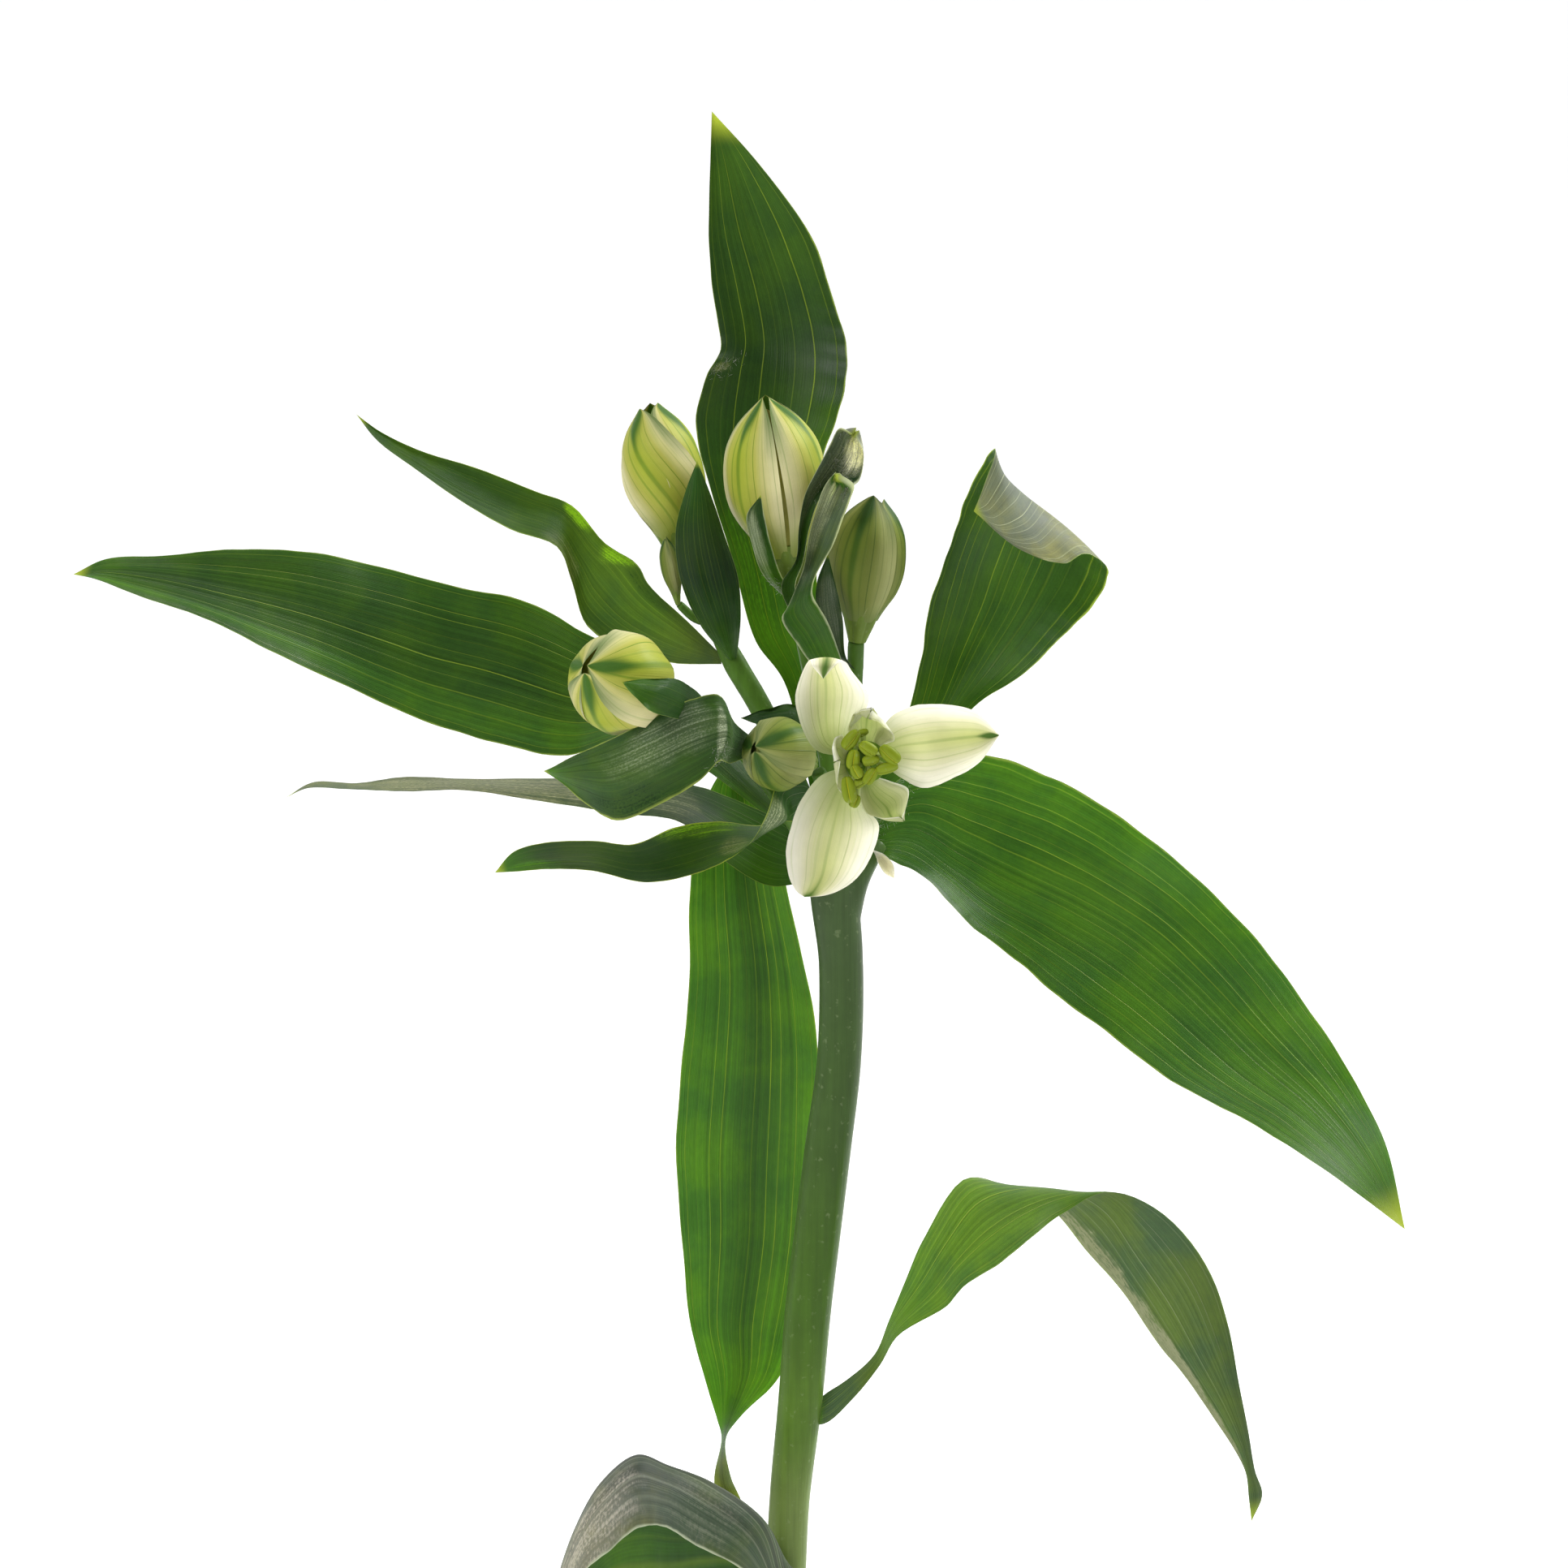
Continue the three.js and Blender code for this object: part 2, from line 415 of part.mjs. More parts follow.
// Stamens: [across, up, depth] of each anther
const ANTHERS = [
  [11.7, 345.3, -36], [13, 342.4, -37], [15, 343.6, -38], [18.4, 342, -36], [15.2, 339.2, -37], [12.3, 337.4, -36],
];
const STAMEN_FOOT = [14.1, 341.4, -26.5];
const FILAMENT_RADIUS = 0.5;
const ANTHER_RADIUS = 1.2;

// Meshes and solids

function material(color, roughness) {
  return new THREE.MeshStandardMaterial({ color, roughness, metalness: 0 });
}

function closedGeometry(points, faces) {
  const geometry = new THREE.BufferGeometry().setFromPoints(points);
  geometry.setIndex(faces);
  return geometry;
}

function toSolid(geometry) {
  const bare = geometry.clone();
  bare.deleteAttribute('normal');
  bare.deleteAttribute('uv');
  const merged = mergeVertices(bare, 1e-4);
  return new wasm.Manifold(new wasm.Mesh({
    numProp: 3,
    vertProperties: new Float32Array(merged.attributes.position.array),
    triVerts: new Uint32Array(merged.index.array),
  }));
}

function toGeometry(solid) {
  const mesh = solid.getMesh();
  const geometry = new THREE.BufferGeometry();
  geometry.setAttribute('position', new THREE.BufferAttribute(mesh.vertProperties, 3));
  geometry.setIndex(new THREE.BufferAttribute(mesh.triVerts, 1));
  return geometry;
}

function largestPiece(solid) {
  const pieces = solid.decompose();
  return pieces.reduce((best, piece) => (piece.volume() > best.volume() ? piece : best));
}

// Rings of points, joined in order and closed at both ends by a fan.
function ringSolid(rings, footCentre, topCentre) {
  const sides = rings[0].length;
  const points = rings.flat();
  const foot = points.push(footCentre) - 1;
  const top = points.push(topCentre) - 1;
  const last = (rings.length - 1) * sides;
  const faces = [];
  for (let side = 0; side < sides; side += 1) {
    const next = (side + 1) % sides;
    faces.push(foot, next, side);
    faces.push(top, last + side, last + next);
    for (let ring = 0; ring < rings.length - 1; ring += 1) {
      const low = ring * sides;
      const high = low + sides;
      faces.push(low + side, low + next, high + next);
      faces.push(low + side, high + next, high + side);
    }
  }
  return toSolid(closedGeometry(points, faces));
}

// A tube of changing radius: each stop is a place and its radius.
function taperedTube(centres, radii, steps, sides, grow = 0) {
  const path = new THREE.CatmullRomCurve3(centres, false, 'centripetal');
  const frames = path.computeFrenetFrames(steps, false);
  const rings = [];
  for (let step = 0; step <= steps; step += 1) {
    const t = step / steps;
    const centre = path.getPointAt(t);
    const stop = path.getUtoTmapping(t) * (radii.length - 1);
    const before = Math.min(Math.floor(stop), radii.length - 2);
    const radius = THREE.MathUtils.lerp(radii[before], radii[before + 1], stop - before) + grow;
    rings.push(Array.from({ length: sides }, (_, side) => {
      const angle = (2 * Math.PI * side) / sides;
      return centre.clone()
        .addScaledVector(frames.normals[step], radius * Math.cos(angle))
        .addScaledVector(frames.binormals[step], radius * Math.sin(angle));
    }));
  }
  const along = frames.tangents;
  const footCentre = path.getPointAt(0).addScaledVector(along[0], -grow);
  const topCentre = path.getPointAt(1).addScaledVector(along[steps], grow);
  return ringSolid(rings, footCentre, topCentre);
}

function routeTube(route, steps, sides, grow) {
  return taperedTube(route.map(seen), route.map((stop) => stop[3]), steps, sides, grow);
}

// Blades: a sheet lofted through three rails, given an even thickness

function bladeRails({ lines, tip }) {
  return [0, 1, 2].map((rail) => {
    const places = lines.map((line) => seen(line[rail]));
    places.push(seen(tip));
    return new THREE.CatmullRomCurve3(places, false, 'centripetal');
  });
}

const TIP_END = 0.99;
const BLADE_COLUMNS = 4;
const LEAF_ROWS = 20;
const LOWER_LEAF_ROWS = 14;
const SMALL_BLADE_ROWS = 8;

function bladeSheet(rails, rows, columns, waves, waveHeight, widen = 1) {
  const sheet = [];
  for (let row = 0; row <= rows; row += 1) {
    const along = row / rows;
    const [edgeA, middle, edgeB] = rails.map((rail) => rail.getPoint(along * TIP_END));
    const across = edgeB.clone().sub(edgeA).multiplyScalar(0.5);
    // A narrow stretch is cupped less, so that the blade's two faces don't cross inside it.
    const deepestBow = across.lengthSq() / (2 * BLADE);
    const bow = edgeA.clone().add(edgeB).multiplyScalar(0.5).sub(middle).clampLength(0, deepestBow);
    const lift = waveHeight * Math.sin(Math.PI * along);
    sheet.push(Array.from({ length: columns + 1 }, (_, column) => {
      const side = widen * ((2 * column) / columns - 1);
      const point = middle.clone().addScaledVector(across, side).addScaledVector(bow, side * side);
      point.y += lift * side * side * Math.sin(2 * Math.PI * waves * along + side);
      return point;
    }));
  }
  return sheet;
}

function sheetNormal(sheet, row, column) {
  const ahead = sheet[Math.min(row + 1, sheet.length - 1)][column];
  const behind = sheet[Math.max(row - 1, 0)][column];
  const right = sheet[row][Math.min(column + 1, sheet[row].length - 1)];
  const left = sheet[row][Math.max(column - 1, 0)];
  return ahead.clone().sub(behind).cross(right.clone().sub(left)).normalize();
}

function bladeSolid(sheet, thickness) {
  const width = sheet[0].length;
  const faceSize = sheet.length * width;
  const front = [];
  const back = [];
  sheet.forEach((line, row) => line.forEach((point, column) => {
    const normal = sheetNormal(sheet, row, column).multiplyScalar(thickness / 2);
    front.push(point.clone().add(normal));
    back.push(point.clone().sub(normal));
  }));
  const faces = [];
  const at = (row, column) => row * width + column;
  const quad = (a, b, c, d) => faces.push(a, b, c, a, c, d);
  for (let row = 0; row < sheet.length - 1; row += 1) {
    for (let column = 0; column < width - 1; column += 1) {
      const [a, b, c, d] = [at(row, column), at(row, column + 1), at(row + 1, column + 1), at(row + 1, column)];
      faces.push(a, c, b, a, d, c);
      faces.push(faceSize + a, faceSize + b, faceSize + c, faceSize + a, faceSize + c, faceSize + d);
    }
    const [leftLow, leftHigh] = [at(row, 0), at(row + 1, 0)];
    const [rightLow, rightHigh] = [at(row, width - 1), at(row + 1, width - 1)];
    quad(leftLow, faceSize + leftLow, faceSize + leftHigh, leftHigh);
    quad(rightLow, rightHigh, faceSize + rightHigh, faceSize + rightLow);
  }
  const tipRow = sheet.length - 1;
  for (let column = 0; column < width - 1; column += 1) {
    quad(at(0, column), at(0, column + 1), faceSize + at(0, column + 1), faceSize + at(0, column));
    quad(at(tipRow, column), faceSize + at(tipRow, column), faceSize + at(tipRow, column + 1), at(tipRow, column + 1));
  }
  return toSolid(closedGeometry([...front, ...back], faces));
}

// A lower leaf: an arched blade from the stem, as three true rails.
function lowerLeafRails({ foot, heading, length, width, rise }) {
  const angle = THREE.MathUtils.degToRad(heading);
  const out = new THREE.Vector3(Math.cos(angle), Math.sin(angle), 0);
  const aside = new THREE.Vector3(-Math.sin(angle), Math.cos(angle), 0);
  const start = stemCentreAt(foot).addScaledVector(out, 3.4);
  const widths = [0.16, 0.14, 0.5, 0.9, 1, 0.92, 0.66, 0.3, 0];
  const rails = [-1, 0, 1].map((side) => widths.map((share, stop) => {
    const along = stop / (widths.length - 1);
    const point = start.clone().addScaledVector(out, length * 0.86 * Math.sin(along * 1.35) / Math.sin(1.35));
    point.z += rise * Math.sin(Math.PI * Math.min(along * 1.12, 1)) + 10 * along - 0.35 * length * along ** 3;
    point.addScaledVector(aside, side * share * width / 2);
    point.z += side * side * share * width * 0.09;
    return point;
  }));
  return rails.map((places) => new THREE.CatmullRomCurve3(places, false, 'centripetal'));
}

// Buds: three overlapping tepals closed over each other on a ribbed ovary

const BUD_PROFILE = [
  // share of the length, share of the radius, depth of the seams
  [0, 0.17, 0.1], [0.06, 0.31, 0.2], [0.14, 0.34, 0.2], [0.19, 0.32, 0.14], [0.28, 0.62, 0.08], [0.4, 0.9, 0.1],
  [0.55, 1, 0.13], [0.7, 0.91, 0.15], [0.83, 0.64, 0.18], [0.93, 0.35, 0.24], [0.99, 0.12, 0.3],
];
const BUD_SIDES = 12;

function budSolid({ foot, top, radius, turn }) {
  const footPoint = seen(foot);
  const axis = seen(top).sub(footPoint);
  const upright = new THREE.Quaternion().setFromUnitVectors(new THREE.Vector3(0, 0, 1), axis.clone().normalize());
  const place = (x, y, z) => new THREE.Vector3(x, y, z).applyQuaternion(upright).add(footPoint);
  const length = axis.length();
  const rings = BUD_PROFILE.map(([along, share, seam]) => Array.from({ length: BUD_SIDES }, (_, side) => {
    const angle = (2 * Math.PI * side) / BUD_SIDES;
    const ridge = Math.abs(Math.cos(1.5 * angle));
    const reach = radius * share * (1 - seam * (1 - ridge) ** 1.5);
    const height = length * (along + 0.03 * (ridge - 0.5) * along ** 6);
    const facing = angle + THREE.MathUtils.degToRad(turn);
    return place(reach * Math.cos(facing), reach * Math.sin(facing), height);
  }));
  return ringSolid(rings, place(0, 0, 0), place(0, 0, 0.975 * length));
}

// Flower middle: filaments with an anther each, on one small disc

function stamenSolid() {
  const foot = seen(STAMEN_FOOT);
  const disc = new THREE.SphereGeometry(1.3, 8, 5).translate(foot.x, foot.y, foot.z);
  return ANTHERS.reduce((whole, place) => {
    const end = seen(place);
    const bend = foot.clone().lerp(end, 0.5).add(new THREE.Vector3(0, 0, 0.8));
    const filament = taperedTube([foot, bend, end], [FILAMENT_RADIUS, FILAMENT_RADIUS, FILAMENT_RADIUS], 3, 5);
    const anther = new THREE.SphereGeometry(ANTHER_RADIUS, 6, 5).scale(1, 1, 1.5).translate(end.x, end.y, end.z);
    return whole.add(filament).add(toSolid(anther));
  }, toSolid(disc));
}

// Pot and soil

const innerRadiusAt = (z) => THREE.MathUtils.mapLinear(
  z, 0, POT_HEIGHT, POT_BASE_RADIUS - POT_WALL, POT_RIM_RADIUS - COLLAR_STEP - POT_WALL);
const outerRadiusAt = (z) => innerRadiusAt(z) + POT_WALL;
const POT_SEGMENTS = 36;

function lathe(profile) {
  const points = profile.map(([radius, z]) => new THREE.Vector2(radius, z));
  return new THREE.LatheGeometry(points, POT_SEGMENTS).rotateX(Math.PI / 2);
}

function potSolid() {
  const collarFoot = POT_HEIGHT - COLLAR_HEIGHT;
  const profile = [
    [0, 0], [POT_BASE_RADIUS - 1.5, 0], [POT_BASE_RADIUS, 1.5],
    [outerRadiusAt(collarFoot), collarFoot], [outerRadiusAt(collarFoot) + COLLAR_STEP, collarFoot + 2.5],
    [POT_RIM_RADIUS, POT_HEIGHT - 2], [POT_RIM_RADIUS - 1.5, POT_HEIGHT],
    [innerRadiusAt(POT_HEIGHT) + 1.5, POT_HEIGHT], [innerRadiusAt(POT_HEIGHT - 2), POT_HEIGHT - 2],
    [innerRadiusAt(POT_FLOOR + 2), POT_FLOOR + 2], [innerRadiusAt(POT_FLOOR) - 2, POT_FLOOR], [0, POT_FLOOR],
  ];
  const drain = new THREE.CylinderGeometry(DRAIN_RADIUS, DRAIN_RADIUS, 3 * POT_FLOOR, 16).rotateX(Math.PI / 2);
  return [0, 1, 2].reduce((pot, hole) => {
    const angle = (2 * Math.PI * hole) / 3 + Math.PI / 6;
    const [x, y] = [DRAIN_DISTANCE * Math.cos(angle), DRAIN_DISTANCE * Math.sin(angle)];
    return pot.subtract(toSolid(drain.clone().translate(x, y, POT_FLOOR / 2)));
  }, toSolid(lathe(profile)));
}

// The soil's top rises and falls a little, by a formula.
function soilHeightAt(x, y) {
  const lumps = Math.sin(0.21 * x + 1.3) * Math.cos(0.17 * y) + 0.6 * Math.sin(0.37 * x - 0.29 * y + 0.8);
  return SOIL_HEIGHT + SOIL_LUMP * lumps;
}

function soilSolid() {
  const reach = innerRadiusAt(SOIL_HEIGHT) - GAP - 0.2;
  const footReach = innerRadiusAt(POT_FLOOR) - 2.6;
  const turns = Array.from({ length: POT_SEGMENTS }, (_, side) => (2 * Math.PI * side) / POT_SEGMENTS);
  const level = (radius, z) => turns.map((angle) => (
    new THREE.Vector3(radius * Math.cos(angle), radius * Math.sin(angle), z)));
  const rings = [level(footReach, POT_FLOOR + GAP), level(reach, SOIL_HEIGHT - 3)];
  [1, 0.8, 0.58, 0.38, 0.2].forEach((share) => rings.push(level(reach * share, 0).map((point) => (
    point.setZ(soilHeightAt(point.x, point.y))))));
  return ringSolid(
    rings, new THREE.Vector3(0, 0, POT_FLOOR + GAP), new THREE.Vector3(0, 0, soilHeightAt(0, 0)));
}

// Stem, from its foot in the soil up to the whorl

const stemFoot = [new THREE.Vector3(0, 0, STEM_FOOT), new THREE.Vector3(-0.4, 0, 110), new THREE.Vector3(-0.8, 0, 155)];
const stemStops = [...stemFoot, ...STEM_ROUTE.map(seen)];
const stemRadii = [3.2, 3.4, 3.5, ...STEM_ROUTE.map((stop) => stop[3])];

function stemCentreAt(z) {
  const above = stemStops.findIndex((stop) => stop.z > z);
  const [low, high] = [stemStops[above - 1], stemStops[above]];
  return low.clone().lerp(high, (z - low.z) / (high.z - low.z));
}

function stemSolid(grow) {
  const stem = taperedTube(stemStops, stemRadii, 26, 12, grow);
  return largestPiece(RAYS.reduce((whole, ray) => whole.add(routeTube(ray, 7, 8, grow)), stem));
}

// The whole plant in its pot

const plant = new THREE.Group();

function addPart(name, solid, color, roughness) {
  const mesh = new THREE.Mesh(toGeometry(solid), material(color, roughness));
  mesh.name = name;
  plant.add(mesh);
}

const grownStem = stemSolid(GAP);
addPart('pot', potSolid(), TERRACOTTA, 0.9);
addPart('soil', soilSolid().subtract(grownStem), SOIL_BROWN, 1);
addPart('stem', stemSolid(0), STEM_GREEN, 0.6);

// Pieces that meet are trimmed, each by those placed before it, so that a small gap stays between them.
const placed = [{ grown: grownStem, box: grownStem.boundingBox() }];

function boxesMeet(a, b) {
  return [0, 1, 2].every((axis) => a.min[axis] < b.max[axis] && b.min[axis] < a.max[axis]);
}

function addTrimmed(name, solid, grown, color, roughness) {
  const near = placed.filter(({ box }) => boxesMeet(box, solid.boundingBox()));
  const trimmed = near.reduce((rest, other) => rest.subtract(other.grown), solid);
  addPart(name, largestPiece(trimmed), color, roughness);
  placed.push({ grown, box: grown.boundingBox() });
}

Object.entries(BUDS).forEach(([name, bud]) => {
  addTrimmed(name, budSolid(bud), budSolid({ ...bud, radius: bud.radius + GAP }), BUD_CREAM, 0.5);
});
addTrimmed('stamens', stamenSolid(), stamenSolid(), ANTHER_GREEN, 0.6);

const bladeColor = (name) => {
  if (name.startsWith('tepal_outer')) return TEPAL_CREAM;
  if (name.startsWith('tepal_inner')) return TEPAL_GREEN;
  return name.startsWith('bract') ? LEAF_GREY_GREEN : LEAF_GREEN;
};

function addBlade(name, rails, rows, waves, waveHeight) {
  const sheet = bladeSheet(rails, rows, BLADE_COLUMNS, waves, waveHeight);
  const wide = bladeSheet(rails, rows, BLADE_COLUMNS, waves, waveHeight, 1.02);
  addTrimmed(name, bladeSolid(sheet, BLADE), bladeSolid(wide, BLADE + 2 * GAP), bladeColor(name), 0.5);
}

Object.entries(BLADES).forEach(([name, blade]) => {
  const rows = blade.rows ?? (name.startsWith('leaf') ? LEAF_ROWS : SMALL_BLADE_ROWS);
  addBlade(name, bladeRails(blade), rows, blade.waves, blade.waveHeight);
});
Object.entries(LOWER_LEAVES).forEach(([name, leaf]) => {
  addBlade(name, lowerLeafRails(leaf), LOWER_LEAF_ROWS, 2, 0.8);
});

export default plant;
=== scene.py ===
"""Dresses the potted peruvian lily: leaves, bracts, buds, open flower, stem, soil and clay pot."""

import math

import bmesh
import bpy
import numpy as np
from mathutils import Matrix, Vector


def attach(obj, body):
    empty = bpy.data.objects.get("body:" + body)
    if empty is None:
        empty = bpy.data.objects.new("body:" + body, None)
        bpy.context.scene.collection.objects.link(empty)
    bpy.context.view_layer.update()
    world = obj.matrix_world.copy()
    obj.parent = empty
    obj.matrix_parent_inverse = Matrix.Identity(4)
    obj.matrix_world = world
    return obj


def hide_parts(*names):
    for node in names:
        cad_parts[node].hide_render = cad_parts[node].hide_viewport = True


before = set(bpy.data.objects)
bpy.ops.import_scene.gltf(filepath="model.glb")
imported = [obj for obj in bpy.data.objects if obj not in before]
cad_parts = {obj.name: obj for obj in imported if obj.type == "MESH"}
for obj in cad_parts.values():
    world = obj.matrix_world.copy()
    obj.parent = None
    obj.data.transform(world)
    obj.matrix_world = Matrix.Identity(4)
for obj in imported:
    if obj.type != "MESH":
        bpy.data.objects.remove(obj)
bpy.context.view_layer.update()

bl_info = {
    "name": "Potted Peruvian Lily",
    "version": (1, 0, 0),
    "blender": (4, 5, 0),
    "location": "View3D > Sidebar > Peruvian Lily",
    "description": "Makes the leaves, flower head, stem, soil and clay pot of a potted peruvian lily",
    "category": "Add Mesh",
}

MM = 0.001
BODY = "root"

# The eye that the plant's places were read from: its distance, its height angle, and the height it looks at.
EYE_DISTANCE = 1500
EYE_ANGLE = math.radians(12)
EYE_TARGET = 338
FRAME_WIDTH = 276
SENSOR_WIDTH = 36

EYE = np.array([
    0, -EYE_DISTANCE * math.cos(EYE_ANGLE), EYE_TARGET + EYE_DISTANCE * math.sin(EYE_ANGLE)])
EYE_FORWARD = np.array([0, math.cos(EYE_ANGLE), -math.sin(EYE_ANGLE)])
EYE_UP = np.array([0, math.sin(EYE_ANGLE), math.cos(EYE_ANGLE)])
EYE_RIGHT = np.array([1.0, 0, 0])


def seen(place):
    """The true place, in millimetres, of one that is [across, up, depth] to the eye."""
    across, up, depth = place
    ray = EYE_FORWARD * EYE_DISTANCE + EYE_UP * (up - EYE_TARGET) + EYE_RIGHT * across
    return EYE + ray * ((depth - EYE[1]) / ray[1])


# Pot and soil, in millimetres
POT_HEIGHT = 120
POT_BASE_RADIUS = 45
POT_RIM_RADIUS = 67
POT_WALL = 5
POT_FLOOR = 6
COLLAR_HEIGHT = 26
COLLAR_STEP = 3
DRAIN_RADIUS = 4.5
DRAIN_DISTANCE = 22
SOIL_HEIGHT = 107
SOIL_LUMP = 1.6
STEM_FOOT = 72

# Stem and rays: [across, up, depth, radius]
STEM_FOOT_STOPS = ((0, 0, STEM_FOOT, 3.2), (-0.4, 0, 110, 3.4), (-0.8, 0, 155, 3.5))
STEM_ROUTE = (
    (0.4, 200, 0, 3.6), (1, 212.4, 0, 3.65), (2.9, 229.9, 0, 4), (4.3, 245.9, 0, 4.15), (5.9, 259, 0, 4.15),
    (7.7, 273.6, 0, 4.15), (9.7, 289.6, 0, 3.95), (10, 307.1, 0, 3.95), (9, 317.3, 0, 4.3),
    (8.6, 324, 0, 4.6),
)
RAYS = (
    # to the upper left bud
    ((7.5, 323, 0, 2.6), (1.5, 339, 1, 2.2), (-4.1, 351.4, 2, 2.05), (-8.6, 359.1, 3, 2.1),
     (-12.6, 367, 4, 1.5), (-17.9, 376.8, 5, 1.4)),
    # to the upper middle bud
    ((8.6, 323, 2, 2.2), (8, 340, 5, 1.7), (5, 356, 4, 1.5), (1.3, 373.2, 0.6, 1.4)),
    # to the upper right bud
    ((9.6, 323, 2, 2.2), (12.4, 340, 6, 1.7), (12.4, 352, 7, 1.4), (12.7, 363.3, 4.9, 1.5)),
    # to the left bud
    ((7.5, 323, -1, 2.4), (-1, 336, -6, 1.7), (-8, 344.5, -13, 1.5), (-14.6, 349.2, -15.5, 1.5),
     (-21, 351.8, -16.8, 1.5)),
    # to the small bud
    ((8.6, 324, -2, 2.2), (8.6, 332, -5, 1.6), (6, 340.4, -9, 1.4)),
    # to the open flower
    ((9.6, 324, -1, 2.4), (11.6, 331, -8, 1.9), (13.2, 337.5, -16, 2.2), (13.8, 341, -22, 3),
     (14.1, 341.6, -25, 2.6)),
    # to the slim bud
    ((-12.4, 366.5, 4, 1.1), (-15.6, 367.2, 3, 0.9), (-18.5, 369.7, 1.2, 0.8)),
    # to the foot of the right leaf
    ((9.8, 313, 0, 3.4), (12.2, 320.6, 0, 2.7), (14.6, 324.8, 0.6, 2.2), (17, 327.6, 2.4, 1.4)),
)

